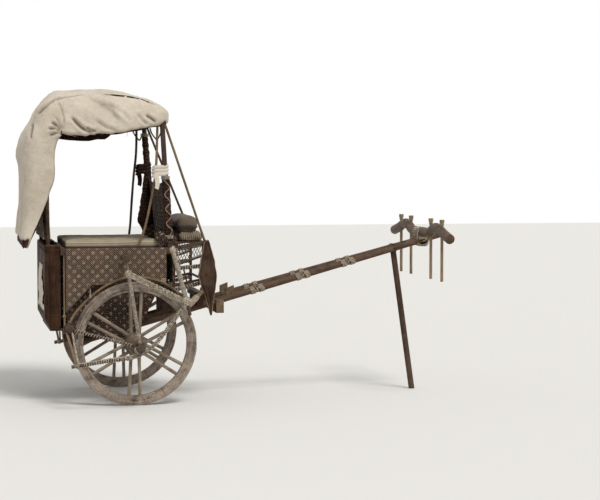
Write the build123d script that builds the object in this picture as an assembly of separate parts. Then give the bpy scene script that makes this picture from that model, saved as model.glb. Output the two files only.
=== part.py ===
from build123d import *
import math
import os

# Two-wheeled bullock carriage. +X points forward to the yoke, +Y to the left, +Z up.
# Places are in millimetres, X from the axle, and Z with the axle line at AXLE_LINE. The
# finished pieces are shifted so that the wheels stand on Z 0 and the origin is under the
# middle of the whole cart. A place named for one side is on the left, and the right is
# its mirror.

# Gaps between pieces that are lashed, seated or hung together, and at the pins
FIT = 0.3
PIN_FIT = 0.3

# Own axis of each rope ball, which no bar in it follows
BALL_AXIS = (1, 1, 0.2)

# Height of the axle line that all heights below go with
AXLE_LINE = 440

# Wheels
WHEEL_RADIUS = 440
WHEEL_TRACK = 1100
RIM_DEPTH = 70
RIM_WIDTH = 55
RIM_CHAMFER = 7
HUB_RADIUS = 78
HUB_END_RADIUS = 56
HUB_INNER_Y = 440
HUB_OUTER_Y = 755
HUB_BARREL_HALF = 55
SPOKE_RADIUS = 13
SPOKE_PAIRS = 6
SPOKE_FIRST_ANGLE = 29
SPOKE_HUB_OFFSET = 28
SPOKE_RIM_OFFSET = 40

# Axle
AXLE_RADIUS = 18
AXLE_END_Y = 935
AXLE_BEAM_WIDTH = 100
AXLE_BEAM_END_Y = 410
AXLE_BEAM_DROP = 55
AXLE_BEAM_RISE = 75
LINCH_PIN_Y = 772
LINCH_PIN_RADIUS = 6
LINCH_PIN_LENGTH = 84

# Place of the yoke along the drawbar, which the nose and the prop go with
YOKE_X = 2240

# Drawbar poles, which rise and close towards the nose
POLE_SLOPE = 0.27
POLE_HEIGHT = 530
POLE_TAIL_X = -450
POLE_NOSE_X = YOKE_X + 110
POLE_TAIL_Y = 230
POLE_NOSE_Y = 45
POLE_TAIL_RADIUS = 28
POLE_NOSE_RADIUS = 21
RUNG_RADIUS = 13
RUNG_PLACES = (950, 1300, 1650)
NOSE_BLOCK_REAR_X = YOKE_X - 120
NOSE_BLOCK_FRONT_X = YOKE_X + 160
NOSE_BLOCK_HEIGHT = 40

# Yoke, its bent beam given as places across (y) and rises above its middle
YOKE_RADIUS = 36
YOKE_ARCH = 48
YOKE_ROUTE = ((820, -20), (630, 14), (510, YOKE_ARCH), (390, YOKE_ARCH), (260, 0))
YOKE_PIN_PLACES = (295, 605)
YOKE_PIN_RADIUS = 11
YOKE_PIN_LENGTH = 430
YOKE_PIN_HEAD_RADIUS = 18
YOKE_PIN_HEAD_HEIGHT = 22
YOKE_PIN_LIFT = 6
YOKE_LASHING = (96, 164, 132)
YOKE_LASHING_ROUNDING = 22

# Folding prop under the drawbar
PROP_X = YOKE_X - 220
PROP_LEAN = 8
PROP_RADIUS = 22
PROP_HEAD_RADIUS = 32
PROP_SIDE_GAP = 6
PROP_PIN_RADIUS = 10
PROP_PIN_END = 12
PROP_OVERRUN = 60
PROP_FOOT_CUT = 200

# Body frame: platform rails, uprights on the poles and the three cross beams
PLATFORM_TOP = 1120
RAIL_HEIGHT = 50
RAIL_INNER_Y = 420
RAIL_OUTER_Y = 468
PLATFORM_REAR_X = -517.7
PLATFORM_FRONT_X = 285
REAR_RAIL_X = (-455, -405)
FRONT_RAIL_X = (250, 285)
DECK_THICKNESS = 15
DECK_BOARDS = 5
DECK_GAP = 6
UPRIGHT_SIZE = 40
UPRIGHT_REAR_X = -430
UPRIGHT_FRONT_X = 262
BEAM_RADIUS = 20
REAR_BEAM_Z = 558
REAR_BEAM_END_Y = 690
FRONT_BEAM_X = 335
FRONT_BEAM_Z = 772
FRONT_BEAM_END_Y = 860
SADDLE_SIZE = 56
ARM_X = -72
ARM_END_Y = 700
BOLSTER_X = 522
BOLSTER_TOP = 770
BOLSTER_HEIGHT = 40
BOLSTER_WIDTH = 50
BOLSTER_END_Y = 350

# Outer bow, bent from one long stick, as places along (x) and up (z)
BOW_Y = 860
BOW_RADIUS = 15
BOW_ROUTE = ((-476, 314), (-235, 351), (-70, 371), (30, 408), (130, 492), (329, 750))

# Strut, ties and braces that hold the bow
STRUT_Y = 905
STRUT_RADIUS = 14
STRUT_EYE_RADIUS = 32
STRUT_EYE_WIDTH = 26
STRUT_TOP_Y = 655
TIE_RADIUS = 14
LEG_RADIUS = 17
LEG_STUB = 62
TIE_START_SHIFT = (-20, 0, 24)
BRACE_RADIUS = 17
STAY_RADIUS = 9
STAY_COUNT = 4
STAY_START_STEP = 24
STAY_END_STEP = 19.5
# Hangers between the rear corner and the bow's tail: radius, shift at the top, shift at the foot
HANGERS = ((9, (-22, 12, -22), (-4, 0, 14)), (7, (16, 22, -22), (10, 18, 14)))

# Wheel guard, bent over the wheel between rim and body, along (x) and up (z)
GUARD_Y = 495
GUARD_RADIUS = 10
GUARD_ROUTE = ((-478, 556), (-392, 690), (-243, 824), (-60, 906), (130, 895), (262, 836), (335, 772))
GUARD_TIE_X = -310
GUARD_TIE_RADIUS = 5
GUARD_TIE_BEND_Z = 850
GUARD_TIE_FOOT_Z = 776

# Lashings: centre (x, y, z) on the left side and ball radius
JOINT_KNOT = ((329, 870, 750), 52)
TAIL_KNOT = ((-440, 860, 324), 30)
CORNER_KNOT = ((-470.3, 640, 558), 40)
AXLE_KNOT = ((-4, 848, 423), 42)
PLATFORM_KNOT = ((283, 462, 1095), 42)
STRUT_KNOT_SHARE = 0.83
STRUT_KNOT_RADIUS = 40
ARM_KNOT_RADIUS = 36
BRACE_KNOT = ((522, 345, 800), 30)
BRACE_START_SHIFT = (23, -8, -8)

# Textiles that hang on the body, outlines as places along (x) and up (z)
CLOTH_THICKNESS = 8
LOWER_CLOTH_THICKNESS = 10
SIDE_FLAP = ((-483, 1118), (-483, 660), (-297, 857), (235, 849), (235, 1118))
LOWER_CLOTH = ((-470, 1069.7), (-470, 596), (-444, 575), (-440, 520), (-361, 501), (-201, 472),
               (0, 472), (51, 543), (160, 768), (236, 1069.7))
FRONT_CLOTH_END_Y = 410
FRONT_CLOTH_BOTTOM = 862

# Rear boot, a tall narrow box that is open on top
BOOT_REAR_X = -627
BOOT_FRONT_X = -518
BOOT_END_Y = 430
BOOT_BOTTOM = 546
BOOT_TOP = 1136
BOOT_WALL = 12
BOOT_CHAMFER_X = 35
BOOT_CHAMFER_Z = 72
BEARER_THICKNESS = 18
SPINDLE_X = -491
SPINDLE_RADIUS = 7
SPINDLE_KNOB_RADIUS = 14
SPINDLE_KNOB_Z = 634

# Seat pad
PAD_REAR_X = -500
PAD_FRONT_X = 205
PAD_END_Y = 418
PAD_HEIGHT = 55
PAD_ROUNDING = 18

# Canopy: posts, stays, frame and cloth
POST_RADIUS = 18
POST_X = 262
POST_Y = 448
REAR_POST_RADIUS = 14
REAR_POST_BEND = 60
REAR_POST_BEND_LIFT = 20
REAR_POST_FOOT_LIFT = 10
CANOPY_RAIL_RADIUS = 14
CANOPY_HALF_WIDTH = 620
CANOPY_RAIL_Y = CANOPY_HALF_WIDTH - 45
CANOPY_RAIL_REAR = (-768, 1918)
CANOPY_RAIL_FRONT = (222, 2011)
POST_TOP_X = 196
REAR_POST_TOP_X = -640
STAY_ROD_RADIUS = 9
STAY_ROD_ROUTE = ((30, 1120), (84, 1270), (134, 1518), (157, 1700), (163, 2010))
SLANT_TOP_X = 212
CROSS_BAR_RADIUS = 11
CROSS_BAR_PLACES = (-752, -540, -290, -40, 208)
HOOP_RADIUS = 10
HOOP_PLACES = (-430, -210)
CANOPY_REAR_X = -830
CANOPY_FRONT_X = 252
CANOPY_SKIRT_Z = 1700
CANOPY_WALL = 22
CANOPY_CROWN = ((-830, 1885), (-752, 2045), (-650, 2182), (-510, 2246), (-170, 2252),
                (115, 2182), (252, 2092))
CANOPY_HEM = ((-830, 1885), (-560, 1915), (-386, 1924), (36, 1968), (252, 1992))
CANOPY_CROWN_ROUNDING = 60
CANOPY_SHOULDER_Y = CANOPY_HALF_WIDTH - 60
CANOPY_SHOULDER_Z = 2185
CANOPY_SIDE_Z = 2110
CANOPY_RIDGE_Z = 2252
DRAPE_THICKNESS = 12
DRAPE_BOTTOM = 1141
DRAPE_SIDE = ((-830, 1960), (-830, 1141), (-775, 1121), (-692, 1284), (-612, 1502),
              (-565, 1628), (-563, 1960))

# Hangings between the posts. A slanting post is a little wider in a level cut.
SLANT_SHARE = 1.02
SCREEN_THICKNESS = 10
SCREEN_BOTTOM = 1200
SCREEN_TOP = 1600
BACK_SCREEN_BOTTOM = 1210
BACK_SCREEN_TOP = 1500
POST_TIE_Z = 1670
POST_TIE_HEIGHT = 80
POST_TIE_THICKNESS = 56

# Driver's seat
SEAT_Y = 330
SEAT_FRONT_X = 522
SEAT_STUB_Y = 430
# Side bars of the seat: rear (x, z), front (x, z), radius
SEAT_TOP_BAR = ((280, 1099), (544, 1147), 14)
LOW_SEAT_BAR = ((310, 801), (522, 855), 9)
FRONT_SEAT_BAR = ((522, 770.3), (522, 1143), 11)
SEAT_BARS = (
    SEAT_TOP_BAR,
    ((310, 976), (522, 1049), 7),
    ((310, 957), (522, 975), 9),
    ((236, 822), (522, 879), 9),
    LOW_SEAT_BAR,
    ((310, 799), (310, 1104), 9),
    ((377, 962), (402, 856), 6),
    FRONT_SEAT_BAR,
)
# Cross bars of the seat: x, z, radius, half length
SEAT_CROSS_BARS = (
    (522, 1128, 12, SEAT_STUB_Y),
    (330, 1128, 12, SEAT_Y),
    (522, 878, 9, SEAT_Y),
    (231.5, 821, 10, SEAT_Y),
)
SEAT_BOARD = (318, 536, 312, 1140.3, 1153.5)
NET_THICKNESS = 5
NET_OUTLINE = ((319.6, 1090), (319.6, 989.5), (509.5, 1055.2), (509.5, 1125))
LOWER_CUSHION = (350, 504, 300, 1153.8, 1221)
UPPER_CUSHION = (329, 480, 300, 1221.3, 1346)
CUSHION_ROUNDING = 24
APRON_OUTLINE = ((520, 1166), (548, 1166), (590, 1010), (605, 910), (590, 790),
                 (567, 622), (559, 622), (515, 790), (476, 910), (488, 1010))
APRON_THICKNESS = 12
FOOTREST_X = (616, 674)
FOOTREST_BOTTOM = 629
FOOTREST_TOP = 725
FOOTREST_END_Y = 330
FOOTREST_BLOCK = 40
CLEAT_X = (717, 775)
CLEAT_TOP = 818
CLEAT_WIDTH = 30

ORIGIN_X = (CANOPY_REAR_X + NOSE_BLOCK_FRONT_X) / 2
FOOT = (Align.CENTER, Align.CENTER, Align.MIN)

pieces = {}


def pole_radius(x):
    """Radius of a drawbar pole at a place along the cart."""
    share = (x - POLE_TAIL_X) / (POLE_NOSE_X - POLE_TAIL_X)
    return POLE_TAIL_RADIUS + share * (POLE_NOSE_RADIUS - POLE_TAIL_RADIUS)


def pole_y(x):
    """Distance of a drawbar pole from the middle plane."""
    share = (x - POLE_TAIL_X) / (POLE_NOSE_X - POLE_TAIL_X)
    return POLE_TAIL_Y + share * (POLE_NOSE_Y - POLE_TAIL_Y)


def pole_z(x):
    """Height of a drawbar pole's middle line."""
    return POLE_HEIGHT + POLE_SLOPE * x


def bar(start, end, radius, end_radius=None, grow=0.0):
    """Straight round bar between two places, as a cone if it tapers."""
    first, last = Vector(*start), Vector(*end)
    along = last - first
    place = Plane(origin=first, z_dir=along)
    if end_radius is None:
        return place * Cylinder(radius + grow, along.length, align=FOOT)
    return place * Cone(radius + grow, end_radius + grow, along.length, align=FOOT)


def bend_radii(points):
    """Largest soft bend at each inner point of a route."""
    radii = []
    for before, here, after in zip(points, points[1:], points[2:]):
        arriving = Vector(*here) - Vector(*before)
        leaving = Vector(*after) - Vector(*here)
        turn = math.radians(arriving.get_angle(leaving))
        shorter = min(arriving.length, leaving.length)
        radii.append(0.45 * shorter / math.tan(turn / 2))
    return radii


def bent_bar(points, radius, grow=0.0):
    """Round bar along straight runs joined by tangent bends."""
    path = FilletPolyline(*points, radius=bend_radii(points))
    section = Plane(origin=path @ 0, z_dir=path % 0) * Circle(radius + grow)
    return sweep(section, path=path)


def box(x_range, y_range, z_range):
    """Box between two places on each axis."""
    low = Vector(x_range[0], y_range[0], z_range[0])
    size = (x_range[1] - x_range[0], y_range[1] - y_range[0], z_range[1] - z_range[0])
    return Pos(low) * Box(*size, align=(Align.MIN, Align.MIN, Align.MIN))


def plate(outline, y_low, y_high):
    """Flat plate with an outline in x and z, between two places across."""
    face = Plane.XZ.offset(-y_high) * make_face(Polyline(*outline, close=True))
    return extrude(face, y_high - y_low, dir=(0, -1, 0))


def ball(knot, grow=0.0):
    """Ball of rope at a knot."""
    centre, radius = knot
    return Plane(origin=centre, z_dir=BALL_AXIS) * Sphere(radius + grow)


def mirrored(shape):
    """The same piece on the right side of the cart."""
    return mirror(shape, about=Plane.XZ)


def keep(name, *shapes):
    """Store the solids of one sub-part."""
    solids = []
    for shape in shapes:
        solids.extend(shape.solids())
    pieces[name] = solids


def keep_pair(name, *shapes):
    """Store left solids with their mirrored right ones."""
    keep(name, *shapes, *[mirrored(shape) for shape in shapes])


# Drawbar poles, and the same poles a little thicker, to cut seats for them
def pole(grow=0.0):
    """Left drawbar pole."""
    tail = (POLE_TAIL_X, POLE_TAIL_Y, pole_z(POLE_TAIL_X))
    nose = (POLE_NOSE_X, POLE_NOSE_Y, pole_z(POLE_NOSE_X))
    return bar(tail, nose, POLE_TAIL_RADIUS, POLE_NOSE_RADIUS, grow)


pole_seat = pole(FIT)
pole_seats = pole_seat + mirrored(pole_seat)
prop_pivot_z = pole_z(PROP_X)
prop_pin_end_y = pole_y(PROP_X) + pole_radius(PROP_X) + PROP_PIN_END
prop_pin = bar((PROP_X, -prop_pin_end_y, prop_pivot_z), (PROP_X, prop_pin_end_y, prop_pivot_z),
               PROP_PIN_RADIUS)
prop_pin_seat = bar((PROP_X, -prop_pin_end_y, prop_pivot_z),
                    (PROP_X, prop_pin_end_y, prop_pivot_z), PROP_PIN_RADIUS, grow=PIN_FIT)
keep_pair("drawbar_poles", pole() - prop_pin_seat)
keep("prop_pin", prop_pin)

rungs = []
for place in RUNG_PLACES:
    half = pole_y(place)
    rungs.append(bar((place, -half, pole_z(place)), (place, half, pole_z(place)), RUNG_RADIUS)
                 - pole_seats)
keep("drawbar_rungs", *rungs)

# Wedge between the pole ends, running out in front of them
nose_slant = NOSE_BLOCK_HEIGHT / 2
nose_outline = (
    (NOSE_BLOCK_REAR_X, pole_z(NOSE_BLOCK_REAR_X) + nose_slant),
    (NOSE_BLOCK_REAR_X, pole_z(NOSE_BLOCK_REAR_X) - nose_slant),
    (NOSE_BLOCK_FRONT_X, pole_z(NOSE_BLOCK_FRONT_X) - nose_slant),
    (NOSE_BLOCK_FRONT_X, pole_z(NOSE_BLOCK_FRONT_X) + nose_slant),
)
nose_half = pole_y(NOSE_BLOCK_REAR_X)
nose_block = plate(nose_outline, -nose_half, nose_half) - pole_seats
nose_middle = [solid for solid in nose_block.solids() if abs(solid.center().Y) < 1]
keep("drawbar_nose", *nose_middle)

# Yoke beam with a raised arch over each neck
yoke_z = pole_z(YOKE_X) + (pole_radius(YOKE_X) + YOKE_RADIUS + 2 * FIT) * math.hypot(1, POLE_SLOPE)
yoke_half_route = [(y, yoke_z + rise) for y, rise in YOKE_ROUTE]
yoke_route = [(YOKE_X, y, z) for y, z in yoke_half_route]
yoke_route += [(YOKE_X, -y, z) for y, z in reversed(yoke_half_route)]
yoke_body = bent_bar(yoke_route, YOKE_RADIUS)
yoke_seat = bent_bar(yoke_route, YOKE_RADIUS, FIT)
yoke_pins = []
for pin_y in YOKE_PIN_PLACES:
    pin_top = yoke_z + YOKE_ARCH + YOKE_RADIUS + YOKE_PIN_LIFT
    pin = bar((YOKE_X, pin_y, pin_top - YOKE_PIN_LENGTH), (YOKE_X, pin_y, pin_top), YOKE_PIN_RADIUS)
    head = bar((YOKE_X, pin_y, pin_top), (YOKE_X, pin_y, pin_top + YOKE_PIN_HEAD_HEIGHT),
               YOKE_PIN_HEAD_RADIUS)
    hole = bar((YOKE_X, pin_y, pin_top - YOKE_PIN_LENGTH), (YOKE_X, pin_y, pin_top + 1),
               YOKE_PIN_RADIUS, grow=PIN_FIT)
    yoke_body -= hole
    yoke_body -= mirrored(hole)
    yoke_pins.append(pin + head)
keep("yoke", yoke_body)
keep_pair("yoke_pins", *yoke_pins)

yoke_lashing = Pos(YOKE_X, 0, yoke_z - YOKE_RADIUS) * Box(*YOKE_LASHING)
yoke_lashing = fillet(yoke_lashing.edges(), YOKE_LASHING_ROUNDING)
nose_seat = plate(nose_outline, -nose_half, nose_half)
yoke_lashing = yoke_lashing - yoke_seat - pole_seats - nose_seat

# Prop: head on the pin, leg leaning forward, foot cut level with the ground
prop_head_half = pole_y(PROP_X) - pole_radius(PROP_X) - PROP_SIDE_GAP
ground_z = AXLE_LINE - WHEEL_RADIUS
prop_foot_x = PROP_X + (prop_pivot_z - ground_z) * math.tan(math.radians(PROP_LEAN))
prop_head = bar((PROP_X, -prop_head_half, prop_pivot_z), (PROP_X, prop_head_half, prop_pivot_z),
                PROP_HEAD_RADIUS)
prop_tip_x = prop_foot_x + PROP_OVERRUN * math.tan(math.radians(PROP_LEAN))
prop_leg = bar((PROP_X, 0, prop_pivot_z), (prop_tip_x, 0, ground_z - PROP_OVERRUN), PROP_RADIUS)
ground = box((prop_foot_x - PROP_FOOT_CUT, prop_foot_x + PROP_FOOT_CUT), (-PROP_FOOT_CUT, PROP_FOOT_CUT),
             (ground_z - PROP_FOOT_CUT, ground_z))
keep("prop_leg", (prop_head + prop_leg) - prop_pin_seat - ground)

# Axle: a square beam under the poles with one long rod through it
axle_rod = bar((0, -AXLE_END_Y, AXLE_LINE), (0, AXLE_END_Y, AXLE_LINE), AXLE_RADIUS)
axle_seat = bar((0, -AXLE_END_Y, AXLE_LINE), (0, AXLE_END_Y, AXLE_LINE), AXLE_RADIUS,
                grow=FIT)
linch_pin = bar((0, LINCH_PIN_Y, AXLE_LINE - LINCH_PIN_LENGTH / 2),
                (0, LINCH_PIN_Y, AXLE_LINE + LINCH_PIN_LENGTH / 2), LINCH_PIN_RADIUS)
linch_hole = bar((0, LINCH_PIN_Y, AXLE_LINE - LINCH_PIN_LENGTH / 2),
                 (0, LINCH_PIN_Y, AXLE_LINE + LINCH_PIN_LENGTH / 2), LINCH_PIN_RADIUS,
                 grow=FIT)
keep("axle_rod", axle_rod - linch_hole - mirrored(linch_hole))
keep_pair("linch_pins", linch_pin)
axle_beam = box((-AXLE_BEAM_WIDTH / 2, AXLE_BEAM_WIDTH / 2), (-AXLE_BEAM_END_Y, AXLE_BEAM_END_Y),
                (AXLE_LINE - AXLE_BEAM_DROP, AXLE_LINE + AXLE_BEAM_RISE))
keep("axle_beam", axle_beam - axle_seat - pole_seats)


# Wheels
def turned(profile):
    """Solid of revolution about the axle line from places across (y) and out (radius)."""
    points = [(0, y, AXLE_LINE + radius) for y, radius in profile]
    face = make_face(Polyline(*points, close=True))
    return revolve(face, Axis((0, 0, AXLE_LINE), (0, 1, 0)))


rim_low = WHEEL_TRACK / 2 - RIM_WIDTH / 2
rim_high = WHEEL_TRACK / 2 + RIM_WIDTH / 2
rim_inner = WHEEL_RADIUS - RIM_DEPTH
rim = turned((
    (rim_low, rim_inner),
    (rim_low, WHEEL_RADIUS - RIM_CHAMFER),
    (rim_low + RIM_CHAMFER, WHEEL_RADIUS),
    (rim_high - RIM_CHAMFER, WHEEL_RADIUS),
    (rim_high, WHEEL_RADIUS - RIM_CHAMFER),
    (rim_high, rim_inner),
))
hub_bore = AXLE_RADIUS + PIN_FIT
hub = turned((
    (HUB_INNER_Y, hub_bore),
    (HUB_INNER_Y, HUB_END_RADIUS),
    (WHEEL_TRACK / 2 - HUB_BARREL_HALF, HUB_RADIUS),
    (WHEEL_TRACK / 2 + HUB_BARREL_HALF, HUB_RADIUS),
    (HUB_OUTER_Y, HUB_END_RADIUS),
    (HUB_OUTER_Y, hub_bore),
))
hub_seat = bar((0, HUB_INNER_Y, AXLE_LINE), (0, HUB_OUTER_Y, AXLE_LINE), HUB_RADIUS, grow=FIT)
spoke_limit = bar((0, rim_low, AXLE_LINE), (0, rim_high, AXLE_LINE), rim_inner - FIT)
spokes = []
for pair in range(SPOKE_PAIRS):
    angle = math.radians(SPOKE_FIRST_ANGLE + pair * 360 / SPOKE_PAIRS)
    for side in (-1, 1):
        ends = []
        for reach, spread in ((HUB_RADIUS - 20, SPOKE_HUB_OFFSET), (WHEEL_RADIUS, SPOKE_RIM_OFFSET)):
            x = reach * math.cos(angle) - side * spread * math.sin(angle)
            z = reach * math.sin(angle) + side * spread * math.cos(angle)
            ends.append((x, WHEEL_TRACK / 2, AXLE_LINE + z))
        spokes.append((bar(ends[0], ends[1], SPOKE_RADIUS) & spoke_limit) - hub_seat)
for side_name, place in (("left", lambda shape: shape), ("right", mirrored)):
    keep(f"wheel_rim_{side_name}", place(rim))
    keep(f"wheel_hub_{side_name}", place(hub))
    keep(f"wheel_spokes_{side_name}", *[place(spoke) for spoke in spokes])


# Platform frame, deck and uprights
rail_bottom = PLATFORM_TOP - RAIL_HEIGHT
cross_top = PLATFORM_TOP - DECK_THICKNESS - FIT
side_rail = box((PLATFORM_REAR_X, PLATFORM_FRONT_X), (RAIL_INNER_Y, RAIL_OUTER_Y),
                (rail_bottom, PLATFORM_TOP))
platform = side_rail + mirrored(side_rail)
for x_range in (REAR_RAIL_X, FRONT_RAIL_X):
    platform += box(x_range, (-RAIL_INNER_Y, RAIL_INNER_Y), (rail_bottom, cross_top))
keep("platform_frame", platform)
boards = []
board_width = (2 * RAIL_INNER_Y - (DECK_BOARDS + 1) * DECK_GAP) / DECK_BOARDS
for number in range(DECK_BOARDS):
    board_y = -RAIL_INNER_Y + DECK_GAP + number * (board_width + DECK_GAP)
    boards.append(box((PLATFORM_REAR_X, PLATFORM_FRONT_X - 2), (board_y, board_y + board_width),
                      (cross_top + FIT, PLATFORM_TOP)))
keep("platform_deck", *boards)
uprights = []
for upright_x in (UPRIGHT_REAR_X, UPRIGHT_FRONT_X):
    y = pole_y(upright_x)
    post = box((upright_x - UPRIGHT_SIZE / 2, upright_x + UPRIGHT_SIZE / 2),
               (y - UPRIGHT_SIZE / 2, y + UPRIGHT_SIZE / 2), (pole_z(upright_x), rail_bottom - FIT))
    cut = (post - pole_seat).solids().sort_by(SortBy.VOLUME)
    uprights.append(cut[-1])
keep_pair("body_uprights", *uprights)

# Cross beams: rear corner beam, side arm under the rails, front beam and seat bolster
rear_beam_x = UPRIGHT_REAR_X - UPRIGHT_SIZE / 2 - BEAM_RADIUS - FIT
arm_z = rail_bottom - FIT - BEAM_RADIUS


def cross_bar(x, z, half, radius, grow=0.0):
    """Round bar across the whole cart."""
    return bar((x, -half, z), (x, half, z), radius, grow=grow)


keep("rear_beam", cross_bar(rear_beam_x, REAR_BEAM_Z, REAR_BEAM_END_Y, BEAM_RADIUS))
keep("side_arm", cross_bar(ARM_X, arm_z, ARM_END_Y, BEAM_RADIUS))


def saddle(x, top):
    """Block that stands on the left pole, up to a beam."""
    y = pole_y(x)
    block = box((x - SADDLE_SIZE / 2, x + SADDLE_SIZE / 2), (y - SADDLE_SIZE / 2, y + SADDLE_SIZE / 2),
                (pole_z(x), top))
    return (block - pole_seat).solids().sort_by(SortBy.VOLUME)[-1]


front_saddle = saddle(FRONT_BEAM_X, FRONT_BEAM_Z)
front_beam = cross_bar(FRONT_BEAM_X, FRONT_BEAM_Z, FRONT_BEAM_END_Y, BEAM_RADIUS)
front_beam = front_beam + front_saddle + mirrored(front_saddle)
bolster_saddle = saddle(BOLSTER_X, BOLSTER_TOP - BOLSTER_HEIGHT / 2)
bolster_x = (BOLSTER_X - BOLSTER_WIDTH / 2, BOLSTER_X + BOLSTER_WIDTH / 2)
bolster = box(bolster_x, (-BOLSTER_END_Y, BOLSTER_END_Y),
              (BOLSTER_TOP - BOLSTER_HEIGHT, BOLSTER_TOP))
keep("seat_bolster", bolster + bolster_saddle + mirrored(bolster_saddle))

# Outer bow and everything that is tied to it
bow_route = [(x, BOW_Y, z) for x, z in BOW_ROUTE]
bow_seat = bent_bar(bow_route, BOW_RADIUS, FIT)
keep_pair("outer_bows", bent_bar(bow_route, BOW_RADIUS) - ball(JOINT_KNOT, FIT))

strut_foot = Vector(0, STRUT_Y, AXLE_LINE)
strut_top = Vector(ARM_X, STRUT_TOP_Y, arm_z)
strut_seat = bar(strut_foot, strut_top, STRUT_RADIUS, grow=FIT)
arm_knot = ((ARM_X, STRUT_TOP_Y, arm_z), ARM_KNOT_RADIUS)
strut_knot_place = strut_foot + (strut_top - strut_foot) * STRUT_KNOT_SHARE
strut_knot = (tuple(strut_knot_place), STRUT_KNOT_RADIUS)
strut_eye = bar((0, STRUT_Y - STRUT_EYE_WIDTH / 2, AXLE_LINE),
                (0, STRUT_Y + STRUT_EYE_WIDTH / 2, AXLE_LINE), STRUT_EYE_RADIUS)
strut = bar(strut_foot, strut_top, STRUT_RADIUS) + strut_eye - axle_seat - ball(arm_knot, FIT)
keep_pair("outer_struts", strut)

tie_start = Vector(*AXLE_KNOT[0]) + Vector(*TIE_START_SHIFT)
tie = bar(tie_start, CORNER_KNOT[0], TIE_RADIUS) - ball(AXLE_KNOT, FIT) - ball(CORNER_KNOT, FIT)
keep_pair("rear_ties", tie)

hangers = []
for radius, start_shift, end_shift in HANGERS:
    start = Vector(*CORNER_KNOT[0]) + Vector(*start_shift)
    end = Vector(*TAIL_KNOT[0]) + Vector(*end_shift)
    hangers.append(bar(start, end, radius) - ball(CORNER_KNOT, FIT) - ball(TAIL_KNOT, FIT))
keep_pair("rear_hangers", *hangers)

leg_top = Vector(*PLATFORM_KNOT[0])
leg_joint = Vector(*JOINT_KNOT[0])
leg_way = (leg_joint - leg_top).normalized()
leg_end = leg_joint + leg_way * (JOINT_KNOT[1] + LEG_STUB)
leg_seat = bar(leg_top, leg_end + leg_way, LEG_RADIUS, grow=FIT)
keep_pair("front_legs", bar(leg_top, leg_end, LEG_RADIUS) - ball(PLATFORM_KNOT, FIT))

brace_start = leg_joint + Vector(*BRACE_START_SHIFT)
brace = bar(brace_start, BRACE_KNOT[0], BRACE_RADIUS)
brace_seat = bar(brace_start, BRACE_KNOT[0], BRACE_RADIUS, grow=FIT)
keep_pair("front_braces", brace - ball(JOINT_KNOT, FIT) - ball(BRACE_KNOT, FIT) - leg_seat)
for cutter in (ball(JOINT_KNOT, FIT), leg_seat, brace_seat):
    front_beam = front_beam - cutter - mirrored(cutter)
keep("front_beam", front_beam.solids().sort_by(SortBy.VOLUME)[-1])

stays = []
strut_way = (strut_top - strut_foot).normalized()
for number in range(STAY_COUNT):
    step = number - (STAY_COUNT - 1) / 2
    start = strut_knot_place + strut_way * (step * STAY_START_STEP)
    end = leg_joint + Vector(0, 0, step * STAY_END_STEP)
    stay = bar(start, end, STAY_RADIUS) - ball(strut_knot, FIT) - ball(JOINT_KNOT, FIT)
    stays.append(stay - strut_seat - leg_seat)
keep_pair("rope_stays", *stays)

guard_route = [(x, GUARD_Y, z) for x, z in GUARD_ROUTE]
guard = bent_bar(guard_route, GUARD_RADIUS)
guard -= cross_bar(rear_beam_x, REAR_BEAM_Z, REAR_BEAM_END_Y, BEAM_RADIUS, FIT)
guard -= cross_bar(FRONT_BEAM_X, FRONT_BEAM_Z, FRONT_BEAM_END_Y, BEAM_RADIUS, FIT)
guard = guard.solids().sort_by(SortBy.VOLUME)[-1]
tie_y = (RAIL_INNER_Y + RAIL_OUTER_Y) / 2 + 6
guard_tie = bent_bar(((GUARD_TIE_X, tie_y, rail_bottom - FIT), (GUARD_TIE_X, tie_y, GUARD_TIE_BEND_Z),
                      (GUARD_TIE_X, GUARD_Y, GUARD_TIE_FOOT_Z)), GUARD_TIE_RADIUS)
guard_tie -= bent_bar(guard_route, GUARD_RADIUS, FIT)
guard_tie = guard_tie.solids().sort_by(SortBy.VOLUME)[-1]
keep_pair("wheel_guards", guard, guard_tie)

# Textiles on the body
arm_hole = cross_bar(ARM_X, arm_z, ARM_END_Y, BEAM_RADIUS, FIT)
flap = plate(SIDE_FLAP, RAIL_OUTER_Y + FIT, RAIL_OUTER_Y + FIT + CLOTH_THICKNESS)
lower_cloth = plate(LOWER_CLOTH, RAIL_INNER_Y + FIT, RAIL_INNER_Y + FIT + LOWER_CLOTH_THICKNESS)
keep_pair("side_flaps", flap - arm_hole)
keep_pair("lower_cloths", lower_cloth - arm_hole)
front_cloth = box((PLATFORM_FRONT_X + FIT, PLATFORM_FRONT_X + FIT + CLOTH_THICKNESS),
                  (-FRONT_CLOTH_END_Y, FRONT_CLOTH_END_Y), (FRONT_CLOTH_BOTTOM, rail_bottom + 10))

# Boot and its bearer board, corner spindles
boot_outline = (
    (BOOT_FRONT_X, BOOT_BOTTOM),
    (BOOT_FRONT_X, BOOT_TOP),
    (BOOT_REAR_X, BOOT_TOP),
    (BOOT_REAR_X, BOOT_BOTTOM + BOOT_CHAMFER_Z),
    (BOOT_REAR_X + BOOT_CHAMFER_X, BOOT_BOTTOM),
)
boot_hollow = (
    (BOOT_FRONT_X - BOOT_WALL, BOOT_BOTTOM + BOOT_WALL),
    (BOOT_FRONT_X - BOOT_WALL, BOOT_TOP + 1),
    (BOOT_REAR_X + BOOT_WALL, BOOT_TOP + 1),
    (BOOT_REAR_X + BOOT_WALL, BOOT_BOTTOM + BOOT_CHAMFER_Z),
    (BOOT_REAR_X + BOOT_CHAMFER_X + BOOT_WALL / 2, BOOT_BOTTOM + BOOT_WALL),
)
boot = plate(boot_outline, -BOOT_END_Y, BOOT_END_Y)
boot -= plate(boot_hollow, -BOOT_END_Y + BOOT_WALL, BOOT_END_Y - BOOT_WALL)
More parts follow.
